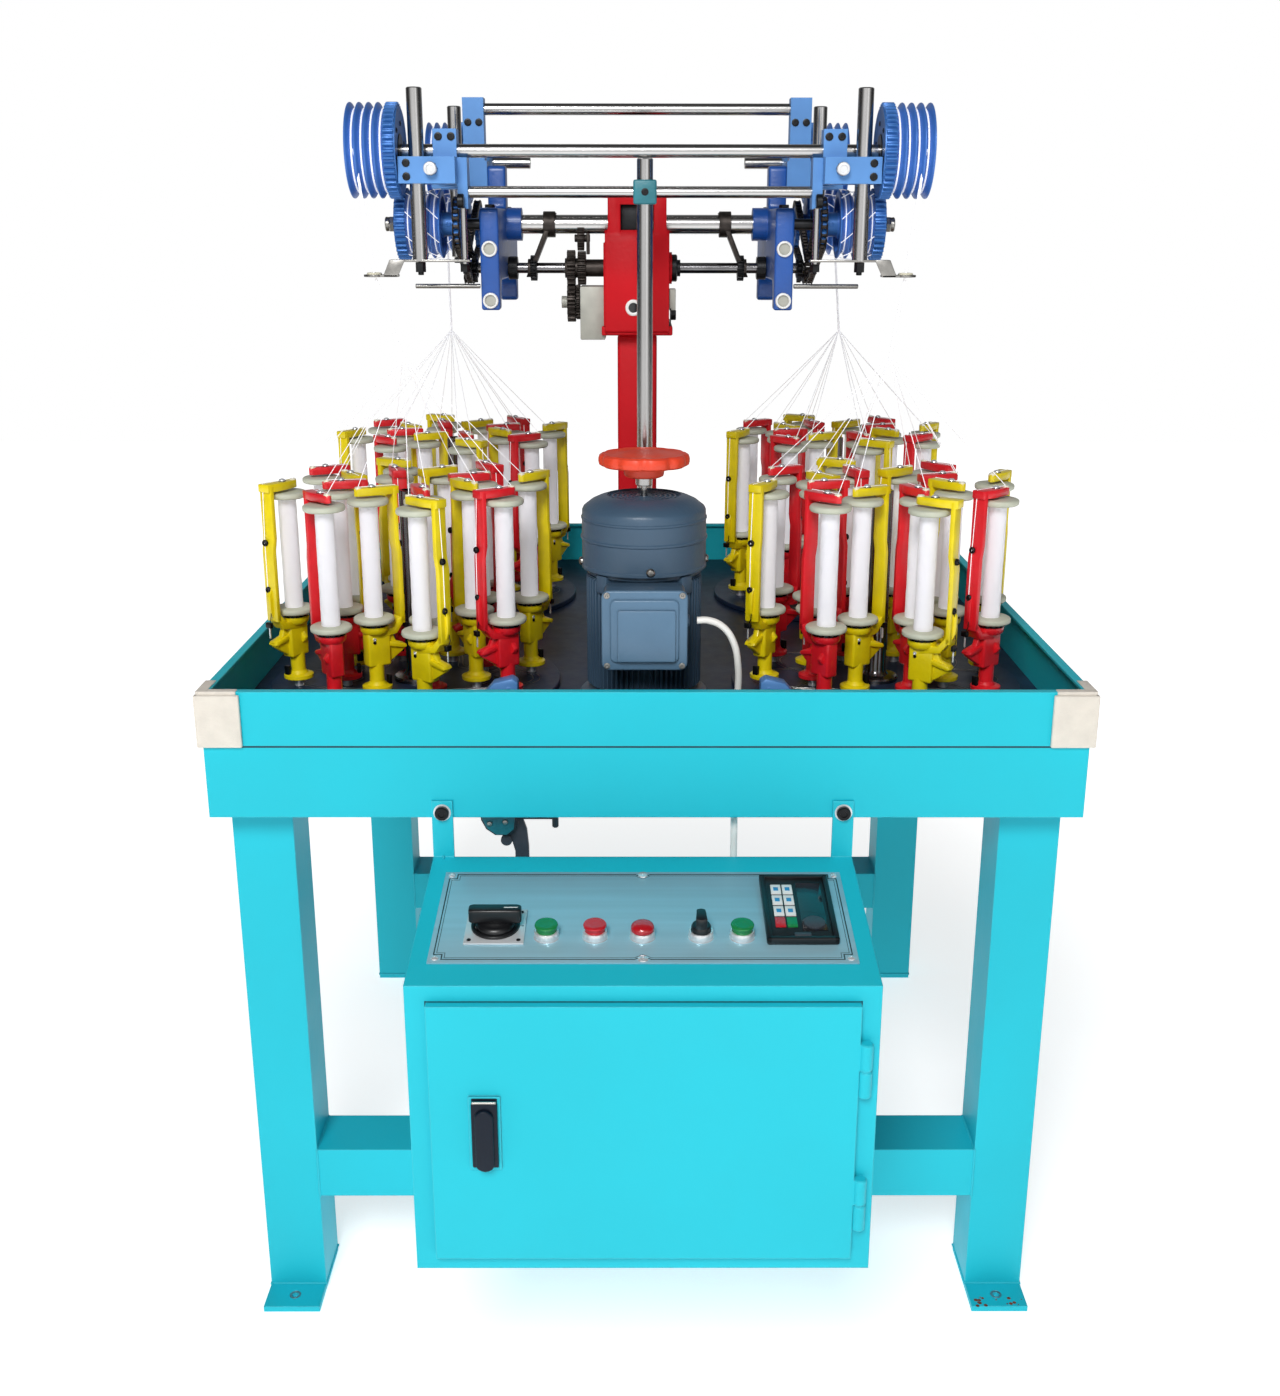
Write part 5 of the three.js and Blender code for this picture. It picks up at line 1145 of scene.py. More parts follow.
def side_bracket(side, sign):
    """Casting beside the beam, with its tie ends, the lower capstans' axles and its bolts."""
    x = TAKE_X + sign * BRACKET_OUT
    top, crown, foot = BRACKET_TOP, BRACKET_TOP + 55, BRACKET_TOP - 126
    plate = bmesh.new()
    prism(plate, [
        (330, foot), (330, top - 4), (334, top), (450, top), (453, top + 4), (453, crown - 4), (457, crown),
        (483, crown), (487, crown - 4), (487, top + 4), (490, top), (631, top), (635, top - 4),
        (635, foot + 4), (631, foot), (615, foot), (611, foot + 4), (611, foot + 21), (606, foot + 30),
        (596, foot + 36), (369, foot + 36), (359, foot + 30), (354, foot + 21), (354, foot + 4), (350, foot),
    ], "x", x - BRACKET_HALF, x + BRACKET_HALF, 3, 3)
    turned(plate, [
        (12.7, 0), (20, 0), (21.5, 1.5), (21.5, 22), (12.7, 22),
    ], (x - sign * 10, COLUMN_Y, BEAM_Z), -ACROSS * sign)
    piece(f"side_bracket_{side}_casting", plate, bracket_blue, stands_for=[f"side_bracket_{side}"])
    rings, ends = bmesh.new(), bmesh.new()
    for z in (1345, 1281):
        place = (x, BRACKET_FACE, z)
        turned(rings, [(7.3, 0), (7.3, 4.5), (8, 5), (9.4, 4.5), (10, 3), (10, 0)], place, -BACK)
        turned(ends, [(0, 0), (7.3, 0), (7.3, 1.4), (0, 1.5)], place, -BACK)
    piece(f"side_bracket_{side}_tie_ends", ends, cast_metal)
    piece(f"side_bracket_{side}_eyes", rings, white_plastic)
    axles, nuts = bmesh.new(), bmesh.new()
    for row, tip in (("front", 324), ("rear", 320)):
        y, face = ROWS[row]["lower_y"], tip - 15
        start = Vector((ROWS[row]["x"], y, LOWER_Z))
        axis = ACROSS * sign
        bar(axles, (TAKE_X + sign * 199, y, LOWER_Z), start + axis * tip, AXLE_RADIUS, FINE)
        pipe(axles, start + axis * (face + 0.2), start + axis * (face + 3.6), 14.5, AXLE_RADIUS, FINE)
        hexagon(nuts, start, axis, 18, face + 3.8, face + 10)
        turned(nuts, [(7, face + 10), (8.6, face + 10), (9, tip - 1), (8, tip), (7, tip)], start, axis)
    piece(f"side_axles_{side}", axles, black_steel)
    bar(nuts, (TAKE_X + sign * 201, 332, 1299), (TAKE_X + sign * 284, 332, 1299), 2.9)
    piece(f"side_nuts_{side}", nuts, steel)
    bolts = bmesh.new()
    for y in (352, 612):
        hexagon(bolts, (x, y, BRACKET_TOP + 0.2), UP, 11, 0, 4, 8)
    piece(f"side_bracket_{side}_bolts", bolts, black_steel)


def gearbox():
    """A casting open at the top and the front for the beam, with its seal, sight glass and bolts, and a dark
    block of painted shade in the notch.
    """
    x, y = TAKE_X, COLUMN_Y
    left, right, bottom, top = BOX_LEFT, BOX_RIGHT, BOX_BOTTOM + 1, 1410
    box = bmesh.new()
    prism(box, [
        (left, bottom + 4), (left + 3, bottom), (right - 3, bottom), (right, bottom + 4), (right, 1356),
        (right - 4, 1372), (right - 4, top), (10, top), (10, 1358), (-34, 1358), (-34, top), (left + 4, top),
        (left + 4, 1372), (left, 1356),
    ], "y", BOX_FRONT + 4, 525, 1.4)
    # chamfered band over the lower half of the front
    band = [
        (BOX_FRONT, 1239), (BOX_FRONT, 1352), (BOX_FRONT + 6, 1368), (BOX_FRONT + 9, 1368),
        (BOX_FRONT + 9, 1236), (BOX_FRONT + 1, 1236),
    ]
    prism(box, band, "x", left, right)
    block(box, (-34.5, 516, 1350), (10.5, 524, top), 1)
    block(box, (-36, BOX_FRONT + 4, 1400), (12, 431, top), 1)
    block(box, (x - 48, y - 48, BOX_BOTTOM), (x + 48, y + 48, 1243.5), 2)
    block(box, (left - 2, 418, 1244), (left + 1, 522, 1352), 1)
    turned(box, [(0, 0), (19, 0), (21, 1.5), (21, 4.5), (0, 4.5)], (right - 0.2, y, DRIVE_Z), ACROSS)
    piece("gearbox_casting", box, red_enamel, stands_for=["gearbox"])
    fittings = bmesh.new()
    for dx in (-40, 40):
        for dy in (-40, 40):
            hexagon(fittings, (x + dx, y + dy, 1243.4), UP, 10, 0, 5)
    # a dark block of painted shade fills the notch and hides the rods behind it
    block(fittings, (-33.5, 430, 1352), (9.5, 516.3, 1401), 0.5)
    turned(fittings, [
        (7.2, 0), (17, 0), (18, 1), (18, 6.6), (16, 7.8), (11, 7.8), (11, 12), (7.2, 12),
    ], (right + 3.8, y, DRIVE_Z), ACROSS)
    hexagon(fittings, (right, 428, 1258), ACROSS, 13, 3, 9.5, 10)
    piece("gearbox_fittings_and_notch_shade", fittings, black_steel)
    sight = (-17, BOX_FRONT + 0.8, 1268)
    glass = bmesh.new()
    turned(glass, [(0, 0), (6.6, 0), (6.6, 1.2), (0, 1.6)], sight, -BACK)
    piece("sight_glass", glass, screen_glass)
    ring = bmesh.new()
    turned(ring, [(6.6, 0), (6.6, 2.6), (8.5, 3.4), (10.4, 2.6), (11, 0.6), (11, 0)], sight, -BACK)
    piece("sight_ring", ring, white_plastic)
    support = bmesh.new()
    block(support, (-89, 429, 1225), (left - 0.2, 484, 1295), 1.5)
    block(support, (right + 0.4, 424, 1264), (40, 452, 1292), 1)
    bar(support, (-89, y, IDLER_Z), (-115.8, y, IDLER_Z), 8, FINE)
    piece("shaft_support", support, cast_metal)


def column():
    x, y = TAKE_X, COLUMN_Y
    post = bmesh.new()
    block(post, (x - 46, y - 46, COLUMN_BASE), (x + 46, y + 46, COLUMN_BASE + 12), 1.5)
    block(post, (x - 27, y - 27, COLUMN_SEAT), (x + 27, y + 27, BOX_BOTTOM - 0.3), 4, 3)
    gusset = [
        (26, COLUMN_SEAT), (43, COLUMN_SEAT), (43, COLUMN_SEAT + 3), (28, COLUMN_SEAT + 30),
        (26, COLUMN_SEAT + 30),
    ]
    for angle in ring_of(4):
        prism(post, gusset, "y", -3, 3, at=shift(x, y, 0) @ Matrix.Rotation(angle, 4, "Z"))
    piece("column_tube", post, red_enamel, stands_for=["column"])
    feet = bmesh.new()
    for dx in (-38, 38):
        for dy in (-38, 38):
            hexagon(feet, (x + dx, y + dy, COLUMN_SEAT + 0.2), UP, 13, 1.4, 8, 9)
    piece("column_bolts", feet, steel)


def centre_post():
    x, y = CENTRE_X, FRONT_BAR_Y
    post = bmesh.new()
    bar(post, (x, y, DECK + 0.3), (x, y, 1452.5), 10, FINE, 1)
    turned(post, [(10, 0), (19, 0), (20, 1), (20, 7), (19, 8), (10, 8)], (x, y, DECK + 0.4))
    piece("centre_post_bright", post, chrome, stands_for=["centre_post"])
    clamp = bmesh.new()
    block(clamp, (x - 14.5, y - 14.5, 1398.5), (x + 14.5, y + 14.5, 1427.5), 2.5, 3)
    piece("centre_post_block", clamp, teal_paint)
    marks = bmesh.new()
    screw(marks, (x, y - 14.4, 1413), -BACK, 4.6, 0.6)
    for dx in (-7, 7):
        screw(marks, (x + dx, y - 5, 1427.3), UP, 2.6, 1.4)
    piece("centre_post_screws", marks, black_steel)


def collar(form, x, low, high, radius):
    pipe(form, (x + low, COLUMN_Y, DRIVE_Z), (x + high, COLUMN_Y, DRIVE_Z), radius, AXLE_RADIUS, FINE)


def drive():
    """The drive shaft with its chain wheels, collars and change wheel, and the idler beside it."""
    y, z = COLUMN_Y, DRIVE_Z
    shaft = bmesh.new()
    bar(shaft, (TAKE_X - 229, y, z), (TAKE_X + 229, y, z), AXLE_RADIUS, FINE)
    piece("drive_shaft_bar", shaft, tube_steel, "drive", ["drive_shaft"])
    wheels = bmesh.new()
    centre = Vector((TAKE_X, y, z))
    sprocket = gear_outline(9, 0, CHAIN_LOWER, 1.8, 3.6, 0.16, 0.66)
    knurl = gear_outline(22, 0, 15.6, 1.3, 1.6, 0.3, 0.66)
    for _, sign in SIDES:
        axis = ACROSS * sign
        toothed(wheels, sprocket, centre, sign * 218.5, sign * 224.5, 0.4)
        pipe(wheels, centre + axis * 217.2, centre + axis * 226, 12, AXLE_RADIUS)
        toothed(wheels, knurl, centre, sign * 136.7, sign * 145.3, 0.3)
        pipe(wheels, centre + axis * 163, centre + axis * 175.5, 15, AXLE_RADIUS, FINE)
        for angle in ring_of(28):
            spot = centre + axis * 169 + Vector((0, math.cos(angle), math.sin(angle))) * 14.7
            block(wheels, (-5, -0.5, -0.7), (5, 0.5, 0.4), 0.2, 1,
                  Matrix.Translation(spot) @ Matrix.Rotation(angle, 4, "X"))
    piece("drive_wheels", wheels, black_steel, "drive")
    change = bmesh.new()
    toothed(change, gear_outline(14, -math.pi / 2, 21, 2.6, 3.4, 0.26, 0.7), (0, y, z), -107.6, -96.4, 0.4)
    collar(change, 0, -110.5, -93, 13)
    collar(change, 0, -93.5, -57.5, 11.5)
    toothed(change, gear_outline(24, 0, 21, 1.2, 2.2, 0.3, 0.7), (0, y, z), -93, -82, 0.3)
    piece("change_wheel", change, dark_iron, "drive")
    small = bmesh.new()
    third = (0, y - 4, z + 39)
    toothed(small, gear_outline(20, 0, 15, 1.2, 2, 0.3, 0.7), third, -93, -84, 0.3)
    bar(small, (-97, *third[1:]), (-76, *third[1:]), 5)
    block(small, (-81, y - 10, z + 18), (-76.5, y + 2, z + 46), 1)
    piece("third_wheel", small, dark_iron)
    idler = bmesh.new()
    axle = (0, y, IDLER_Z)
    mesh_phase = math.radians(101.25)
    toothed(idler, gear_outline(16, mesh_phase, 24, 2.6, 3.4, 0.26, 0.7), axle, -107.6, -96.4, 0.4)
    toothed(idler, gear_outline(26, 0, 22, 1.2, 2, 0.3, 0.7), axle, -95.5, -90, 0.3)
    piece("idler_wheel", idler, dark_iron, "idler", ["change_gear"])


capstans()
bars()
for side, sign in SIDES:
    front_post(side, sign)
    rear_clamp(side, sign)
    clamp_screws(side, sign)
for side, sign in SIDES:
    side_bracket(side, sign)
gearbox()
column()
centre_post()
drive()


# Motor: finned housing, fan cover with its grille, terminal box with a lid, and the handwheel
MOTOR_X = -3
MOTOR_Y = 190
MOTOR = (MOTOR_X, MOTOR_Y, 0)
MOTOR_BASE = 790.4
HOUSING_RADIUS = 66
HOUSING_TOP = 963.6
ROUND = 72
FINS = 64
FIN_REACH_OUT = 72.6
FIN_TOP = 957
FIN_TOP_BEHIND_BOX = 861
BOX_HALF_ANGLE = 0.62
COVER_BASE = 964.5
COVER_RADIUS = 77.6
GRILLE_TOP = 1053
GRILLE_RINGS = 6
WHEEL_SCALLOPS = 10
WHEEL_SIDES = 120
WHEEL_RIM = 56.5
WHEEL_FACE = 40
SCALLOP_DEPTH = 3.4
LID_FRONT = 57.4
TERMINAL_X = -2.5
TERMINAL_Z = 914


def round_motor(angle, height=0):
    """Place of a form that is drawn out along X from the motor's axis."""
    return shift(MOTOR_X, MOTOR_Y, height) @ Matrix.Rotation(angle, 4, "Z")


def motor():
    corners = ring_of(4, math.pi / 4)
    body = bmesh.new()
    turned(body, [
        (0, MOTOR_BASE), (80, MOTOR_BASE), (82, 792), (82, 801), (80, 803.3), (72, 804.5), (68, 808),
        (HOUSING_RADIUS, 815), (HOUSING_RADIUS, 955), (68, 958), (72.5, 960), (72.5, HOUSING_TOP),
        (0, HOUSING_TOP),
    ], MOTOR, UP, ROUND)
    for angle in ring_of(FINS):
        facing_box = abs(math.remainder(angle + math.pi / 2, TURN)) < BOX_HALF_ANGLE
        top = FIN_TOP_BEHIND_BOX if facing_box else FIN_TOP
        prism(body, [(64, 812), (FIN_REACH_OUT, 816), (FIN_REACH_OUT, top - 4), (64, top)], "y", -1, 1,
              0.4, 1, round_motor(angle))
    for angle in corners:
        block(body, (60, -9, 940), (75, 9, 963), 2, at=round_motor(angle))
        block(body, (58, -11, 803), (79, 11, 812), 2, at=round_motor(angle))
    piece("motor_housing_fins", body, motor_blue, stands_for=["motor_housing"])
    bolts = bmesh.new()
    for corner, angle in zip(corners, ring_of(4, 0.1)):
        spot = (MOTOR_X + 73 * math.cos(corner), MOTOR_Y + 73 * math.sin(corner), 0)
        hexagon(bolts, spot, UP, 10, 812, 817)
        way = Vector((math.cos(angle), math.sin(angle), 0))
        head = Vector((MOTOR_X, MOTOR_Y, 972)) + way * (COVER_RADIUS - 0.6)
        turned(bolts, [(0, 0), (5.6, 0), (5.4, 2.6), (3.6, 4.4), (0, 5)], head, way, COARSE)
    piece("motor_bolts", bolts, steel)


def fan_cover():
    skirt, lip = COVER_RADIUS, COVER_RADIUS + 0.8
    cover = bmesh.new()
    turned(cover, [
        (70, COVER_BASE), (77.5, COVER_BASE), (lip, 965.5), (lip, 969), (skirt, 970), (skirt, 1000.6),
        (lip, 1001.4), (79.2, 1002), (79.2, 1004), (77.8, 1005.6), (skirt, 1025), (78.6, 1026.4),
        (78.6, 1028), (77.4, 1029.4), (77.2, 1036.6), (75.6, 1040), (66, 1047.6), (57, 1051.8), (50, 1054),
        (46, 1054.6), (46, 1051), (54, 1047), (64, 1042), (70, 1030),
    ], MOTOR, UP, ROUND)
    # ribs and rings of the grille over the fan
    rib = [(8, GRILLE_TOP - 4), (50, GRILLE_TOP - 4), (50, GRILLE_TOP - 0.5), (8, GRILLE_TOP - 0.5)]
    for angle in ring_of(16):
        prism(cover, rib, "y", -1.5, 1.5, 0.4, 1, round_motor(angle))
    for i in range(GRILLE_RINGS):
        inner, outer = 14 + 6 * i, 16 + 6 * i
        turned(cover, [
            (inner, GRILLE_TOP - 3.6), (outer, GRILLE_TOP - 3.6), (outer, GRILLE_TOP), (inner, GRILLE_TOP),
        ], MOTOR, UP, 56)
    turned(cover, [(5.5, 1048.6), (11, 1048.6), (11, 1053.4), (5.5, 1053.4)], MOTOR)
    piece("fan_cover_grille", cover, motor_blue, stands_for=["fan_cover"])
    fan = bmesh.new()
    turned(fan, [(5, 966), (66, 966), (66, 969), (24, 972), (22, 1000), (5, 1002)], MOTOR)
    for angle in ring_of(9):
        prism(fan, [(20, 970), (62, 970), (60, 1010), (24, 1000)], "y", -1, 1, 0, at=round_motor(angle))
    piece("fan_blades", fan, black, "rotor")


def rounded(half_x, half_z, corner, steps=5):
    """Outline of a rectangle with round corners, about its own centre."""
    outline = []
    for quarter, (sign_x, sign_z) in enumerate(((1, 1), (-1, 1), (-1, -1), (1, -1))):
        for k in range(steps + 1):
            angle = math.pi / 2 * (quarter + k / steps)
            outline.append((
                sign_x * (half_x - corner) + corner * math.cos(angle),
                sign_z * (half_z - corner) + corner * math.sin(angle),
            ))
    return outline


def terminal_box():
    at = shift(TERMINAL_X, 0, TERMINAL_Z)
    box = bmesh.new()
    prism(box, rounded(49, 46.5, 9), "y", LID_FRONT + 6, 112, 1, at=at)
    block(box, (-46, 108, TERMINAL_Z - 40), (41, 128, TERMINAL_Z + 40), 2)
    turned(box, [(4.6, 0), (8, 0), (8, 2), (6.4, 4.6), (4.6, 5)], (46.6, 78, 922), ACROSS, MEDIUM)
    piece("terminal_box_shell", box, motor_blue, stands_for=["terminal_box"])
    # the lid's three steps, each on the one behind it
    lid = bmesh.new()
    prism(lid, rounded(51.2, 48.7, 9), "y", LID_FRONT, 63, 2.2, 3, at)
    prism(lid, rounded(41, 38.6, 7), "y", LID_FRONT - 3.8, LID_FRONT + 1.6, 2.6, 3, at)
    prism(lid, rounded(34.5, 31.5, 2.5), "y", LID_FRONT - 8, LID_FRONT - 2.4, 1.8,
          at=shift(0, 0, TERMINAL_Z - 5))
    piece("terminal_box_lid", lid, motor_light)
    trim = bmesh.new()
    for x in (TERMINAL_X - 44.7, TERMINAL_X + 44.7):
        for z in (TERMINAL_Z - 43, TERMINAL_Z + 43):
            turned(trim, [
                (0, 0), (4, 0), (3.7, 0.9), (1.6, 1), (1.2, 0.2), (0, 0.2),
            ], (x, LID_FRONT, z), -BACK, COARSE)
    piece("terminal_box_screws", trim, steel)
    gland = bmesh.new()
    turned(gland, [(4.6, 0), (9, 0), (9, 3), (7, 5), (4.6, 5)], (108, 80, MOTOR_BASE), UP, MEDIUM)
    piece("deck_gland", gland, black)


def handwheel():
    wheel = bmesh.new()
    part = bmesh.new()
    rings = []
    for radius, z in (
        (25, 1092), (WHEEL_FACE, 1091), (52, 1090.4), (55.5, 1092.5), (WHEEL_RIM, 1096), (WHEEL_RIM, 1100),
        (55.2, 1103.8), (52, 1105.8), (44, 1104.4), (30, 1104.8), (24, 1106), (10, 1106),
    ):
        depth = SCALLOP_DEPTH * max(0.0, (radius - WHEEL_FACE) / (WHEEL_RIM - WHEEL_FACE))
        ring = []
        for angle in ring_of(WHEEL_SIDES):
            hollow = 0.5 - 0.5 * math.cos(angle * WHEEL_SCALLOPS)
            reach = radius - depth * hollow ** 4
            ring.append(part.verts.new((reach * math.cos(angle), reach * math.sin(angle), z)))
        rings.append(ring)
    skin(part, rings)
    merge(wheel, part, Matrix.Translation(MOTOR))
    turned(wheel, [
        (4.2, 1076.5), (21, 1076.5), (24, 1078), (25, 1081), (25, 1087), (27, 1092.5), (4.2, 1092.5),
    ], MOTOR)
    piece("handwheel_cap", wheel, orange, "rotor", ["handwheel"], angle=math.radians(28))
    shaft = bmesh.new()
    bar(shaft, (MOTOR_X, MOTOR_Y, COVER_BASE), (MOTOR_X, MOTOR_Y, 1077), 4)
    turned(shaft, [(0, 0), (9.4, 0), (10.5, 1), (10.5, 11), (0, 11)], (MOTOR_X, MOTOR_Y, 1066), UP, MEDIUM)
    piece("handwheel_shaft", shaft, chrome, "rotor")


motor()
fan_cover()
terminal_box()
handwheel()


# Console on the cabinet's sloping top, drawn flat: X along it and Y up the slope, then tilted
CONSOLE = shift(-4.5, -258, 615) @ Matrix.Rotation(math.radians(8.07), 4, "X")
PLATE_HALF = 231
PLATE_LOW = 38
PLATE_HIGH = 219
PLATE_THICK = 2.3
BORDER_NOTCH = 9
BORDER_DIP = 6
CONTROL_Y = 87
START_X = -105.5
STOP_X = -52.5
LAMP_X = -0.5
SELECTOR_X = 63.5
JOG_X = 108.5
SWITCH_X = -162.5
SWITCH_Y = 103
SWITCH_HALF = 33
KEYPAD_X = 174
KEYPAD_Y = 135
KEYPAD_HALF_X = 39.4
KEYPAD_HALF_Y = 65.4
KEYPAD_RIM = 6
KEY_BASE = 8
KEY_WIDE = 11.5
KEY_TALL = 19
KEY_PITCH_X = 13
KEY_PITCH_Y = 22
LAMP_BASE = 6.2


def flat(form):
    """Takes a form drawn on the flat console to its place on the slope."""
    form.transform(CONSOLE)
    return form


def console_plate():
    plate = bmesh.new()
    block(plate, (-PLATE_HALF, PLATE_LOW, 0), (PLATE_HALF, PLATE_HIGH, PLATE_THICK), 0.6)
    piece("console_sheet", flat(plate), brushed, stands_for=["console_plate"])
    screws = bmesh.new()
    low, high, out = PLATE_LOW + 8, PLATE_HIGH - 8, PLATE_HALF - 8
    for x, y, size in (
        (-out, low, 1), (out, low, 1), (-out, high, 1), (out, high, 1), (0, low - 1, 1.4), (0, high + 1, 1.4),
    ):
        turned(screws, [
            (0, 0), (4.4 * size, 0), (4 * size, 1.2), (2.4 * size, 2), (0.9, 2.1), (0.9, 1.4), (0, 1.4),
        ], (x, y, PLATE_THICK - 0.1), UP, COARSE)
    for x in (START_X, STOP_X, LAMP_X, SELECTOR_X, JOG_X):
        turned(screws, [
            (11.3, 2.2), (14.5, 2.2), (14.5, 3), (13.7, 3.4), (13.5, 10), (12.8, 11), (11.3, 11),
        ], (x, CONTROL_Y, 0))
    piece("console_bezels", flat(screws), polished)


def console_border():
    """Printed border of two lines, stepped in round the corner screws and the middle ones."""
    border = bmesh.new()
    notch = BORDER_NOTCH
    middle = (PLATE_LOW + PLATE_HIGH) / 2
    for inset, wide in ((6, 1.3), (9, 0.6)):
        x, half = PLATE_HALF - inset, (PLATE_HIGH - PLATE_LOW) / 2 - inset
        quarter = [
            (0, half - BORDER_DIP), (notch, half), (x - notch, half), (x - notch, half - notch),
            (x, half - notch),
        ]
        upper = [(-u, v) for u, v in quarter[:0:-1]] + quarter
        corners = [(u, v) for u, v in upper] + [(-u, -v) for u, v in upper]
        for one, two in zip(corners, corners[1:] + corners[:1]):
            one = Vector((one[0], middle + one[1], PLATE_THICK + 0.05))
            two = Vector((two[0], middle + two[1], PLATE_THICK + 0.05))
            turn = Matrix.Translation(one) @ (two - one).to_track_quat("X", "Z").to_matrix().to_4x4()
            far = (two - one).length + wide / 2
            block(border, (-wide / 2, -wide / 2, -0.15), (far, wide / 2, 0.05), 0, at=turn)
    piece("console_border", flat(border), black)


def buttons():
    """Flat caps with a rounded rim, a domed lamp and the selector."""
    for name, x, finish, body in (
        ("start_button", START_X, green, "start"), ("stop_button", STOP_X, red_cap, "stop"),
        ("jog_button", JOG_X, green, "jog"),
    ):
        cap = bmesh.new()
        turned(cap, [
            (0, 6.5), (11, 6.5), (11, 15.6), (12.6, 15.8), (12.8, 17.8), (12.2, 18.8), (10.8, 19.4),
            (7, 19), (0, 18.8),
        ], (x, CONTROL_Y, 0))
        piece(f"{name}_cap", flat(cap), finish, body, [name])
    lamp = bmesh.new()
    turned(lamp, [
        (0, LAMP_BASE), (11, LAMP_BASE), (11, 11.4), (12.8, 11.8), (12.8, 15), (12, 17), (9.6, 18.6),
        (5.4, 19.6), (0, 19.8),
    ], (LAMP_X, CONTROL_Y, 0))
    piece("pilot_lamp_lens", flat(lamp), lamp_red, stands_for=["pilot_lamp"])
    selector = bmesh.new()
    at = shift(SELECTOR_X, CONTROL_Y, 0)
    turned(selector, [
        (0, LAMP_BASE), (10.9, LAMP_BASE), (10.9, 15.5), (9.8, 17.8), (0, 18),
    ], (SELECTOR_X, CONTROL_Y, 0))
    prism(selector, [(-6.4, -10), (0, -11.8), (6.4, -10), (5, 10), (0, 11.6), (-5, 10)], "z", 17.6, 31.5,
          1.2, at=at)
    piece("selector_lever", flat(selector), black, "selector", ["selector_knob"])
    pointer = bmesh.new()
    block(pointer, (-0.8, 1, 29.3), (0.8, 9, 29.8), 0.1, at=at)
    piece("selector_pointer", flat(pointer), white_plastic, "selector")


def main_switch():
    x, y = SWITCH_X, SWITCH_Y
    base = PLATE_THICK - 0.1
    face = base + 3
    plate = bmesh.new()
    block(plate, (x - SWITCH_HALF, y - SWITCH_HALF, base), (x + SWITCH_HALF, y + SWITCH_HALF, face), 1)
    piece("main_switch_plate", flat(plate), white_metal)
    rim = bmesh.new()
    turned(rim, [(22.6, 5), (27, 5), (27, 7.4), (26, 8.2), (23.4, 8.2), (22.6, 7.4)], (x, y, 0))
    for dx in (-27, 27):
        for dy in (-27, 27):
            screw(rim, (x + dx, y + dy, face), UP, 2.4, 0.8)
    piece("main_switch_rim", flat(rim), black)
    knob = bmesh.new()
    turned(knob, [(0, 5.8), (22, 5.8), (22, 9), (20, 12), (17, 13.5), (0, 13.8)], (x, y, 0))
    prism(knob, [
        (-29, -5.5), (-24, -7.5), (0, -7.5), (24, -7.5), (29, -5.5), (29, 5.5), (24, 7.5), (-24, 7.5),
        (-29, 5.5),
    ], "z", 12.5, 29.5, 2.2, 3, shift(x, y, 0))
    piece("main_switch_lever", flat(knob), black, "main_switch", ["main_switch_knob"])
    mark = bmesh.new()
    block(mark, (x + 10, y - 0.8, 29.2), (x + 25, y + 0.8, 29.58), 0.1)
    piece("main_switch_pointer", flat(mark), white_plastic, "main_switch")
    ticks = bmesh.new()
    for angle in (0, math.pi / 2):
        turn = shift(x, y, 0) @ Matrix.Rotation(angle, 4, "Z")
        block(ticks, (28.5, -0.7, 5), (31.5, 0.7, 5.4), 0.1, at=turn)
    piece("main_switch_marks", flat(ticks), black)


def keypad():
    """A shell with a raised rim, a window, eight keys and a dial."""
    x, y = KEYPAD_X, KEYPAD_Y
    out_x, out_y, rim = KEYPAD_HALF_X, KEYPAD_HALF_Y, KEYPAD_RIM
    shell = bmesh.new()
    block(shell, (x - out_x, y - out_y, 2.6), (x + out_x, y + out_y, 8.4), 2)
    for low, high in (
        ((-out_x, -out_y), (rim - out_x, out_y)), ((out_x - rim, -out_y), (out_x, out_y)),
        ((-out_x, -out_y), (out_x, rim - out_y)), ((-out_x, out_y - rim), (out_x, out_y)),
    ):
        block(shell, (*low, 4), (*high, 11.4), 1.4, at=shift(x, y, 0))
    piece("keypad_shell", flat(shell), black, stands_for=["keypad"])
    window = bmesh.new()
    block(window, (x + 1, y - 46, KEY_BASE), (x + 29, y + 50, KEY_BASE + 1), 0.6)
    piece("keypad_window", flat(window), screen_glass)
    keys, marks, stops, runs = bmesh.new(), bmesh.new(), bmesh.new(), bmesh.new()
    for column, bottom_key in enumerate((stops, runs)):
        for row in range(4):
            left, low = x - 28 + column * KEY_PITCH_X, y - 40 + row * KEY_PITCH_Y
            form = keys if row else bottom_key
            block(form, (left, low, KEY_BASE), (left + KEY_WIDE, low + KEY_TALL, KEY_BASE + 1.8), 1)
            if row:
                block(marks, (left + 3, low + 6, KEY_BASE + 1.6), (left + 8.5, low + 13, KEY_BASE + 2.1))
    piece("keypad_keys", flat(keys), white_plastic)
    piece("keypad_marks", flat(marks), key_blue)
    piece("keypad_stop_key", flat(stops), red_cap)
    piece("keypad_run_key", flat(runs), green)
    dial = bmesh.new()
    centre = (x + 15, y - 32, 0)
    turned(dial, [(0, KEY_BASE), (12, KEY_BASE), (11.6, 10.8), (10, 11.5), (0, 11.5)], centre)
    for angle in ring_of(24):
        turn = Matrix.Translation(centre) @ Matrix.Rotation(angle, 4, "Z")
        block(dial, (10.8, -0.5, 8.2), (12.1, 0.5, 10.8), 0.2, 1, at=turn)
    block(dial, (x - 9, y - 60, 10), (x + 9, y - 54, 12), 1)
    piece("keypad_dial", flat(dial), dial_grey)


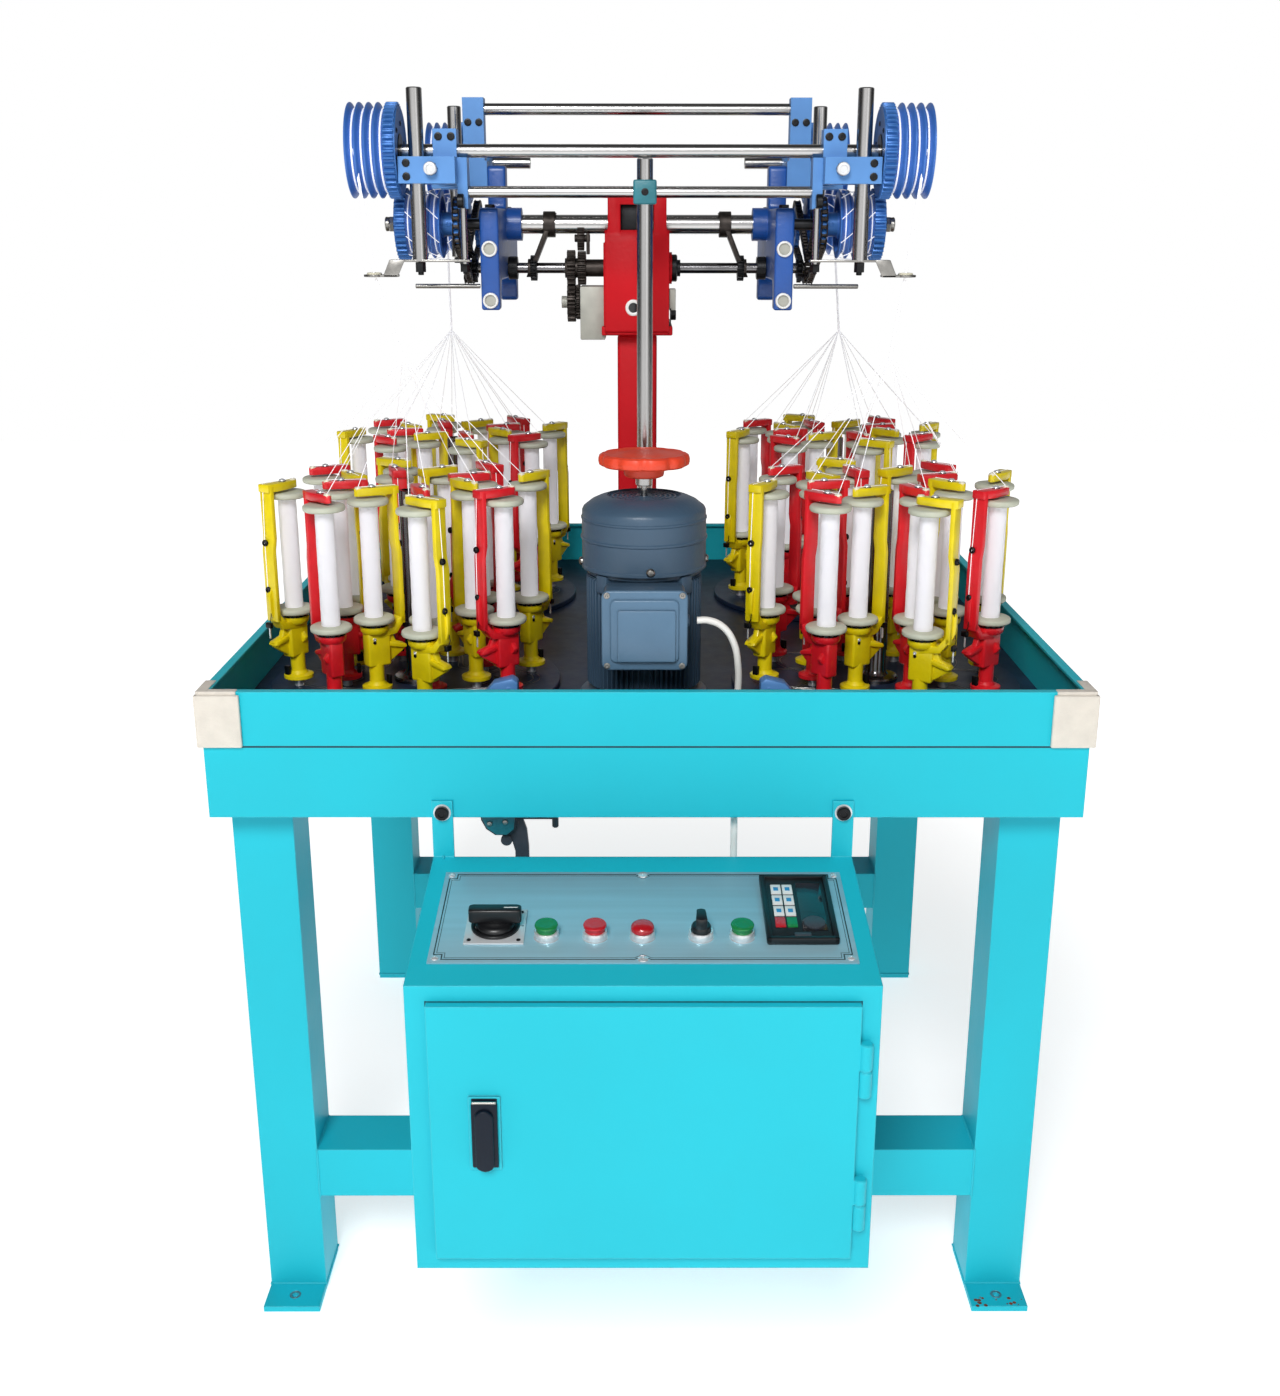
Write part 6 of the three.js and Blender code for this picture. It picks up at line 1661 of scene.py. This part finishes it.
# Front of the cabinet: the lock, the hinges, the straps' bolts and the painted shade in the gap round the
# door
LOCK_X = -173
LOCK_HALF = 17
LOCK_LOW = 402
LOCK_HIGH = 491
DOOR_LEFT = -233.6
DOOR_RIGHT = 225.6
DOOR_LOW = 284.4
DOOR_HIGH = 597.6
GAP_WIDE = 1.4
HINGE_X = 231
HINGE_Y = -265.3
STRAP_Z = 708


def door_lock():
    """Lever lock with its escutcheon and the pin that the lever turns on."""
    left, right = LOCK_X - LOCK_HALF, LOCK_X + LOCK_HALF
    plate = bmesh.new()
    block(plate, (left, -270.4, LOCK_LOW), (right, -267.8, LOCK_HIGH), 1)
    block(plate, (left + 3, -272, LOCK_LOW + 2.6), (right - 3, -268, LOCK_HIGH - 1.4), 1.4)
    piece("lock_plate", plate, lock_navy, "door")
    lever = bmesh.new()
    block(lever, (left + 3, -277, 408), (right - 3, -271.8, 486), 1.6)
    half = [(10, 406), (7.6, 402.6), (4, 400.4), (0, 399.6)]
    tall = [(0, 473.8), (4, 473), (7.6, 470.6), (10, 466)]
    outline = [(-u, z) for u, z in half] + [(u, z) for u, z in half[-2::-1]]
    outline += [(u, z) for u, z in tall[::-1]] + [(-u, z) for u, z in tall[1:]]
    prism(lever, outline, "y", -282.5, -274, 2, 3, shift(LOCK_X, 0, 6.2))
    piece("lock_lever", lever, lock_navy, "handle", ["door_handle"])
    pin = bmesh.new()
    bar(pin, (LOCK_X - 13, -275.6, 486.6), (LOCK_X + 13, -275.6, 486.6), 1.8, COARSE)
    piece("lock_pin", pin, steel, "handle")


def cabinet_fittings():
    """Hinge barrels, strap bolts and dark strips of painted shade in the gap round the door."""
    barrels = bmesh.new()
    for z in (355, 520):
        for low, high in ((z - 31.8, z - 0.8), (z + 0.8, z + 31.8)):
            turned(barrels, [
                (0, low), (6, low), (7.1, low + 1.2), (7.1, high - 1.2), (6, high), (0, high),
            ], (HINGE_X, HINGE_Y, 0), UP, MEDIUM)
    piece("hinge_barrels", barrels, cyan)
    washers, bolts = bmesh.new(), bmesh.new()
    for x in (-242.5, 233.5):
        turned(washers, [(0, 0), (10.4, 0), (10.4, 1.2), (0, 1.3)], (x, -4.2, STRAP_Z), -BACK, MEDIUM)
        turned(bolts, [
            (0, 0), (8.4, 0), (8.4, 5.4), (7.4, 6.8), (4.2, 6.8), (3.8, 5.5), (0, 5.5),
        ], (x, -4.4, STRAP_Z), -BACK, MEDIUM)
    piece("strap_washers", washers, white_metal)
    piece("strap_bolts", bolts, black_steel)
    # dark strips at the door's edges: painted shade where the gap falls in shade
    shadow = bmesh.new()
    for low, high in (
        ((DOOR_LEFT, DOOR_LOW), (DOOR_LEFT + GAP_WIDE, DOOR_HIGH)),
        ((DOOR_RIGHT - GAP_WIDE, DOOR_LOW), (DOOR_RIGHT, DOOR_HIGH)),
        ((DOOR_LEFT, DOOR_LOW), (DOOR_RIGHT, DOOR_LOW + GAP_WIDE)),
        ((DOOR_LEFT, DOOR_HIGH - GAP_WIDE), (DOOR_RIGHT, DOOR_HIGH - 0.4)),
    ):
        block(shadow, (low[0], -258.35, low[1]), (high[0], -257.8, high[1]), 0.1)
    piece("door_gap_shade", shadow, gap_shade_dark)


console_plate()
console_border()
buttons()
main_switch()
keypad()
door_lock()
cabinet_fittings()


# Threads, ropes and chains
BRAID_POINT = 1215
MEETING_RADIUS = 2.2
THREAD_DIP = 1.0
DIP_STEPS = 4
STRANDS = 3
STRAND_RADIUS = 1.05
STRAND_OUT = 0.8
STRAND_STEP = 6
STRAND_TWIST = 0.9
ROPE_STOPS = {
    "front": ((FRONT_X, GUIDE_OUT, POST_Y, 1314), (FRONT_X, 343, 245, UPPER_Z)),
    "rear": ((TAKE_X, 290, 719, UPPER_Z),),
}
CHAIN_PITCH = 9.5
ARC_STEPS = 16
LINK_HALF = 3.2
LINK_THICK = 0.9
LINK_REACH_SHARE = 0.82
ROLLER_RADIUS = 2.6


def sag(start, end, dip, count):
    """Points of a thread between two places, with a slight dip."""
    return [
        start.lerp(end, i / count) - UP * dip * math.sin(math.pi * i / count) for i in range(count + 1)
    ]


def yarn_threads(row, side, top):
    """Yarn from the eyelets of each carrier to the braiding point over the head."""
    threads = bmesh.new()
    for index, (at, _) in enumerate(carrier_places(top.x, top.y)):
        if row == "front" and side == "right" and index == FREE_CARRIER:
            continue
        leave = at @ Vector((LATCH_REACH + 2, 0, UPRIGHT_TOP + 3.4))
        meet = top + Vector((leave.x - top.x, leave.y - top.y, 0)).normalized() * MEETING_RADIUS
        sweep(threads, sag(leave, meet, THREAD_DIP, DIP_STEPS), THREAD_RADIUS, 5)
        low = at @ Vector((UPRIGHT_OUT + 1.2, -3, EYELET_LOW + 2))
        down = at @ Vector((UPRIGHT_OUT + 0.8, -3, EYELET_HIGH))
        over = at @ Vector((UPRIGHT_OUT - 2.4, -3, UPRIGHT_TOP + 2.6))
        sweep(threads, [low, down, over, leave], THREAD_RADIUS, 5)
    piece(f"threads_{row}_{side}", threads, cord_white)


def rope(row, side, sign, top):
    """The braided rope from the braiding point to its capstan: three strands laid round each other."""
    form = bmesh.new()
    stops = [top] + [Vector((x + sign * out, y, z)) for x, out, y, z in ROPE_STOPS[row]]
    points = []
    for one, two in zip(stops, stops[1:]):
        steps = max(4, int((two - one).length / STRAND_STEP))
        points += [one.lerp(two, i / steps) for i in range(steps)]
    points.append(stops[-1])
    for start in ring_of(STRANDS):
        wound = []
        for i, point in enumerate(points):
            angle = i * STRAND_TWIST + start
            wound.append(point + Vector((math.cos(angle), math.sin(angle), 0)) * STRAND_OUT)
        sweep(form, wound, STRAND_RADIUS, 6)
    piece(f"rope_{row}_{side}", form, cord_white)


def chain(form, one, radius_one, two, radius_two, x):
    """A roller chain round two wheels: plates on both sides and rollers between them."""
    span = two - one
    lean = math.atan2(span.y, span.x)
    spread = math.acos((radius_one - radius_two) / span.length)
    points = []
    for centre, radius, start, end in (
        (one, radius_one, lean + spread, lean + TURN - spread),
        (two, radius_two, lean - spread, lean + spread),
    ):
        for i in range(ARC_STEPS + 1):
            angle = start + (end - start) * i / ARC_STEPS
            points.append(centre + radius * Vector((math.cos(angle), math.sin(angle))))
    lengths = [(after - point).length for point, after in zip(points, points[1:] + points[:1])]
    links = 2 * round(sum(lengths) / CHAIN_PITCH / 2)
    step = sum(lengths) / links
    spots = []
    walked, index = 0.0, 0
    for i in range(links):
        while walked + lengths[index] < i * step:
            walked += lengths[index]
            index += 1
        share = (i * step - walked) / lengths[index]
        spots.append(points[index].lerp(points[(index + 1) % len(points)], share))
    for i, (spot, after) in enumerate(zip(spots, spots[1:] + spots[:1])):
        middle = (spot + after) / 2
        angle = math.atan2(after.y - spot.y, after.x - spot.x)
        wide = 3.6 if i % 2 else 2.6
        reach = step * LINK_REACH_SHARE
        at = shift(x, *middle) @ Matrix.Rotation(angle, 4, "X")
        for way in (-1, 1):
            near, far = way * wide, way * (wide + LINK_THICK)
            block(form, (near, -reach, -LINK_HALF), (far, reach, LINK_HALF), 0.4, 1, at)
        bar(form, (x - 3.4, *spot), (x + 3.4, *spot), ROLLER_RADIUS, 8, 0.2)


for row, y in HEAD_Y.items():
    for side, sign in SIDES:
        top = Vector((sign * HEAD_X, y, BRAID_POINT))
        yarn_threads(row, side, top)
        rope(row, side, sign, top)
for side, sign in SIDES:
    for row, at in ROWS.items():
        links = bmesh.new()
        chain(links, Vector((at["lower_y"], LOWER_Z)), CHAIN_UPPER, Vector((COLUMN_Y, DRIVE_Z)), CHAIN_LOWER,
              at["x"] + sign * CHAIN_OUT)
        piece(f"chain_{row}_{side}", links, dark_iron)


# Table: seams of weld, signs of use, foam guards, stops, the stop motion and the painted shade on the seam
# under the rim
LEG_IN = 431
LEG_OUT = 505
LEG_DEEP = 80
LEG_TOP = 700
LEG_FACES = (40, 920)
BRACE_LOW = 146
BRACE_HIGH = 216
FOOT_TOP = 8
FOOT_BOLT_X = 468
FOOT_BOLT_Y = (17, 1023)
TRAY_SIDE = 520
TRAY_BACK = 1040
WELD_RADIUS = 1.6
WELD_STEP = 3.4
WELD_SIDES = 8
CHIPS = 16
GUARD_DROP = 6
GUARD_WALL = 6
PLATE_FRONT = 27
PLATE_BACK = 32
ROD_HEIGHT = 685.5
# heights of the dark strip of painted shade on the seam under the rim
SEAM_SHADE_LOW = 787.6
SEAM_SHADE_HIGH = 789.9


def weld(form, start, end, radius=WELD_RADIUS):
    """A bead of weld: a row of flattened ripples in a corner."""
    start, end = Vector(start), Vector(end)
    count = max(2, int((end - start).length / WELD_STEP))
    part = bmesh.new()
    way = (end - start).normalized()
    side = way.orthogonal().normalized()
    other = way.cross(side)
    rings = []
    for i in range(count + 1):
        for share, reach in ((-0.5, 0.82), (0.0, 1.05)):
            middle = start.lerp(end, i / count) + way * WELD_STEP * share
            size = radius * reach * random.uniform(0.92, 1.08)
            rings.append([
                part.verts.new(middle + size * (side * math.cos(angle) + other * math.sin(angle)))
                for angle in ring_of(WELD_SIDES)
            ])
    skin(part, rings)
    merge(form, part)


def weld_seams():
    seams = bmesh.new()
    on_foot = FOOT_TOP + 0.2
    for sign in (-1, 1):
        inner, outer = sign * LEG_IN, sign * LEG_OUT
        for face in LEG_FACES:
            for z in (BRACE_LOW, BRACE_HIGH):
                weld(seams, (inner, face + 1, z), (inner, face + LEG_DEEP - 1, z))
            weld(seams, (inner, face, BRACE_LOW), (inner, face, BRACE_HIGH))
            weld(seams, (inner, face, LEG_TOP), (outer, face, LEG_TOP))
            weld(seams, (inner, face, on_foot), (outer, face, on_foot))
            weld(seams, (inner, face + LEG_DEEP, on_foot), (outer, face + LEG_DEEP, on_foot))
            for x in (inner, outer):
                weld(seams, (x, face, on_foot), (x, face + LEG_DEEP, on_foot))
    for sign in (-1, 1):
        x = sign * (TRAY_SIDE - 4.5)
        for y in (4.5, TRAY_BACK - 4.5):
            weld(seams, (x, y, 792), (x, y, 852), 1.3)
    weld(seams, (-242.5, -4.5, 651.5), (-242.5, -9, 651.5), 1.2)
    piece("weld_seams", seams, cyan)


def foot_details():
    rims = bmesh.new()
    for sign in (-1, 1):
        for y in FOOT_BOLT_Y:
            x = sign * FOOT_BOLT_X
            pipe(rims, (x, y, FOOT_TOP), (x, y, FOOT_TOP + 0.35), 7.5, 4.5)
    piece("foot_hole_rims", rims, bare_steel)
    chips = bmesh.new()
    for _ in range(CHIPS):
        x = FOOT_BOLT_X + random.uniform(-30, 34)
        y = random.uniform(-5, 12)
        size = random.uniform(1, 3.4)
        turned(chips, [(0, 0), (size, 0), (size * 0.7, 0.12), (0, 0.16)], (x, y, FOOT_TOP), UP, 7)
    piece("rust_chips", chips, rust)


def guards():
    """Foam corner guards: soft walls over the rim, with a slim lip that folds in."""
    for side, sign in SIDES:
        low, high = (BENCH.inverted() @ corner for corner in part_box(f"corner_guard_{side}"))
        outer, inner = (high.x, low.x) if sign > 0 else (low.x, high.x)
        top, lip = high.z - GUARD_DROP, high.z - 1.8
        form = bmesh.new()
        block(form, (inner, low.y + 0.2, low.z), (outer, low.y + 5.8, top), 1.8, 3)
        block(form, (outer - sign * GUARD_WALL, low.y + 0.3, low.z), (outer, high.y, top), 1.8, 3)
        block(form, (inner + sign * 4, low.y + 3.6, top - 6), (outer - sign * 2.4, low.y + 15, lip), 1, 3)
        block(form, (outer - sign * 15, low.y + 3.6, lip - 1), (outer - sign * 2.4, high.y - 3, lip), 0.3)
        piece(f"corner_guard_{side}_foam", form, foam, stands_for=[f"corner_guard_{side}"])


def low_stops():
    """Small blue blocks screwed to the deck behind the front rim, one to each front head."""
    top = DECK + 16
    for side, sign in SIDES:
        stop = bmesh.new()
        prism(stop, [
            (sign * x, y) for x, y in ((186, 84), (182, 98), (152, 108), (146, 106), (146, 88), (154, 80))
        ], "z", DECK + 0.3, top, 2)
        piece(f"deck_stop_{side}", stop, clamp_blue)
        hole = bmesh.new()
        screw(hole, (sign * 158, 94, top), UP, 4.5, 1.5)
        piece(f"deck_stop_screw_{side}", hole, black_steel)


def high_stops():
    """Taller blue stops behind the low ones."""
    for side, sign in SIDES:
        stop = bmesh.new()
        middle = sign * 170 - 9
        prism(stop, [
            (middle + sign * out, z) for out, z in (
                (23, 820), (9, 836), (-14, 842), (-21, 837), (-21, DECK + 0.3), (16, DECK + 0.3),
            )
        ], "y", 100, 122, 2)
        screw(stop, (middle - sign * 10, 100, 827), -BACK, 4.5, 0.6)
        piece(f"deck_stop_{side}", stop, clamp_blue)


def stop_motion():
    """Plate, arm and rod of the stop motion, hung behind the front of the band."""
    left = [(-200, LEG_TOP), (-199, 686), (-193, 674), (-182, 666)]
    right = [(-170, 666), (-161, 673), (-158, LEG_TOP)]
    backing = bmesh.new()
    prism(backing, [(x - 2, z - 2.5) for x, z in left] + [(x + 2, z - 2.5) for x, z in right], "y", 32, 38)
    prism(backing, [
        (-162, 696), (-151, 683), (-146, 668), (-144, 645), (-144, 598), (-161, 598), (-161, 640),
        (-165, 655), (-173, 664),
    ], "y", 38, 47, 2)
    bar(backing, (-160, 38, ROD_HEIGHT), (-111, 38, ROD_HEIGHT), 3)
    bar(backing, (-111, 38, 672), (-111, 38, 696), 4, MEDIUM, 2)
    bar(backing, (-171, 36, 655), (-171, 42, 655), 7)
    piece("stop_motion_arm", backing, arm_grey)
    plate = bmesh.new()
    prism(plate, left + right, "y", PLATE_FRONT, PLATE_BACK, 1)
    piece("stop_motion_plate", plate, teal_paint)
    bolts = bmesh.new()
    for x, z in ((-190, 681), (-171, 683)):
        turned(bolts, [(0, 0), (3.6, 0), (3, 2), (0, 2.8)], (x, PLATE_FRONT, z), -BACK, COARSE)
    piece("stop_motion_bolts", bolts, steel)


def rim_seam_shade():
    """A dark strip of painted shade on the seam between the rim and the band."""
    form = bmesh.new()
    block(form, (-TRAY_SIDE - 0.15, -0.15, SEAM_SHADE_LOW), (TRAY_SIDE + 0.15, 1, SEAM_SHADE_HIGH), 0.1)
    for sign in (-1, 1):
        inner, outer = sign * (TRAY_SIDE - 1), sign * (TRAY_SIDE + 0.2)
        block(form, (outer, -0.1, SEAM_SHADE_LOW), (inner, TRAY_BACK + 0.1, SEAM_SHADE_HIGH), 0.1)
    piece("rim_seam_shade", form, gap_shade_dark)


weld_seams()
foot_details()
low_stops()
high_stops()
stop_motion()
rim_seam_shade()
guards()
head_pieces()

# Finishes of the CAD solids that stay in sight
for finish, names in (
    (cyan, ("table_frame", "tray_rim", "front_leg_frame", "rear_leg_frame", "control_cabinet",
            "cabinet_door")),
    (deck_dark, ("track_deck",)), (rubber, ("drive_belt",)), (dark_iron, ("motor_pulley", "upright_shaft")),
    (clamp_blue, ("mid_block_left", "mid_block_right", "front_clamp_left", "front_clamp_right")),
):
    for name in names:
        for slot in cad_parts[name].material_slots:
            slot.material = finish


# Studio: white to the camera, a soft frontal key, and a banded sky that only polished metal sees
AMBIENT = 0.15
FLOOR_HALF = 8.0
FLOOR_GAP = 0.0005
FLOOR_TONE = 0.8
FLOOR_GLOW = 0.62
GLOW_FROM = 0.7
GLOW_FULL = 2.4
AIM_HEIGHT = 0.9
# brightness of the sky in reflections, from behind the machine to in front of it
SKY = ((0.0, 0.42), (0.22, 0.16), (0.42, 0.03), (0.66, 0.06), (0.8, 0.35), (0.9, 1.0), (1.0, 1.1))
# name, place, width and power of each lamp
LAMPS = (("key", (-0.6, -3.8, 3.55), 1.6, 152), ("fill", (2.0, -3.6, 1.5), 1.4, 3))


def banded_sky():
    """A world that is white to the camera, dim as light, and banded in reflections."""
    world = bpy.data.worlds.new("studio")
    bpy.context.scene.world = world
    world.use_nodes = True
    tree = world.node_tree
    tree.nodes.clear()
    out = tree.nodes.new("ShaderNodeOutputWorld")
    path = tree.nodes.new("ShaderNodeLightPath")

    def sky(strength):
        node = tree.nodes.new("ShaderNodeBackground")
        node.inputs["Strength"].default_value = strength
        return node

    seen, soft, banded = sky(1.0), sky(AMBIENT), sky(1.0)
    place = tree.nodes.new("ShaderNodeTexCoord")
    apart = tree.nodes.new("ShaderNodeSeparateXYZ")
    ramp = tree.nodes.new("ShaderNodeValToRGB")
    ramp.color_ramp.elements[0].position = 0.0
    ramp.color_ramp.elements[1].position = 1.0
    ramp.color_ramp.elements[0].color = shade((1, 1, 1), SKY[0][1])
    ramp.color_ramp.elements[1].color = shade((1, 1, 1), SKY[-1][1])
    for position, level in SKY[1:-1]:
        ramp.color_ramp.elements.new(position).color = shade((1, 1, 1), level)
    half = tree.nodes.new("ShaderNodeMath")
    half.operation = "MULTIPLY_ADD"
    half.inputs[1].default_value = -0.5
    half.inputs[2].default_value = 0.5
    tree.links.new(place.outputs["Generated"], apart.inputs["Vector"])
    tree.links.new(apart.outputs["Y"], half.inputs[0])
    tree.links.new(half.outputs["Value"], ramp.inputs["Fac"])
    tree.links.new(ramp.outputs["Color"], banded.inputs["Color"])
    for node in (seen, soft):
        node.inputs["Color"].default_value = WHITE

    def choose(factor, one, two):
        node = tree.nodes.new("ShaderNodeMixShader")
        tree.links.new(factor, node.inputs[0])
        tree.links.new(one, node.inputs[1])
        tree.links.new(two, node.inputs[2])
        return node.outputs[0]

    lit = choose(path.outputs["Is Glossy Ray"], soft.outputs[0], banded.outputs[0])
    tree.links.new(choose(path.outputs["Is Camera Ray"], lit, seen.outputs[0]), out.inputs["Surface"])


def pale_floor():
    """A plain floor that glows a little more away from the machine, so its edge isn't seen."""
    ground = bmesh.new()
    bmesh.ops.create_grid(ground, x_segments=1, y_segments=1, size=FLOOR_HALF)
    data = bpy.data.meshes.new("floor")
    ground.to_mesh(data)
    ground.free()
    floor = bpy.data.objects.new("floor", data)
    floor.location.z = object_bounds()[0][2] - FLOOR_GAP
    bpy.context.scene.collection.objects.link(floor)
    pale = material("floor", "F7F7F7", roughness=0.8, mottle=0.01)
    shader = pale.node_tree.nodes["Principled BSDF"]
    shader.inputs["Emission Color"].default_value = WHITE
    shader.inputs["Base Color"].default_value = (FLOOR_TONE, FLOOR_TONE, FLOOR_TONE, 1)
    nodes, links = pale.node_tree.nodes, pale.node_tree.links
    centre = nodes.new("ShaderNodeTexCoord")
    reach = nodes.new("ShaderNodeVectorMath")
    reach.operation = "LENGTH"
    glow = nodes.new("ShaderNodeMapRange")
    for socket, value in (
        ("From Min", GLOW_FROM), ("From Max", GLOW_FULL), ("To Min", FLOOR_GLOW), ("To Max", 1.0),
    ):
        glow.inputs[socket].default_value = value
    links.new(centre.outputs["Object"], reach.inputs[0])
    links.new(reach.outputs["Value"], glow.inputs["Value"])
    links.new(glow.outputs["Result"], shader.inputs["Emission Strength"])
    shader.inputs["Specular IOR Level"].default_value = 0.1
    data.materials.append(pale)


def lamps():
    for name, place, size, power in LAMPS:
        light = bpy.data.lights.new(name, "AREA")
        light.shape = "DISK"
        light.size = size
        light.energy = power
        lamp = bpy.data.objects.new(name, light)
        bpy.context.scene.collection.objects.link(lamp)
        lamp.location = place
        aim = Vector((0, 0, AIM_HEIGHT)) - Vector(place)
        lamp.rotation_euler = aim.to_track_quat("-Z", "Y").to_euler()


bpy.context.scene.view_settings.view_transform = "Standard"
banded_sky()
pale_floor()
lamps()
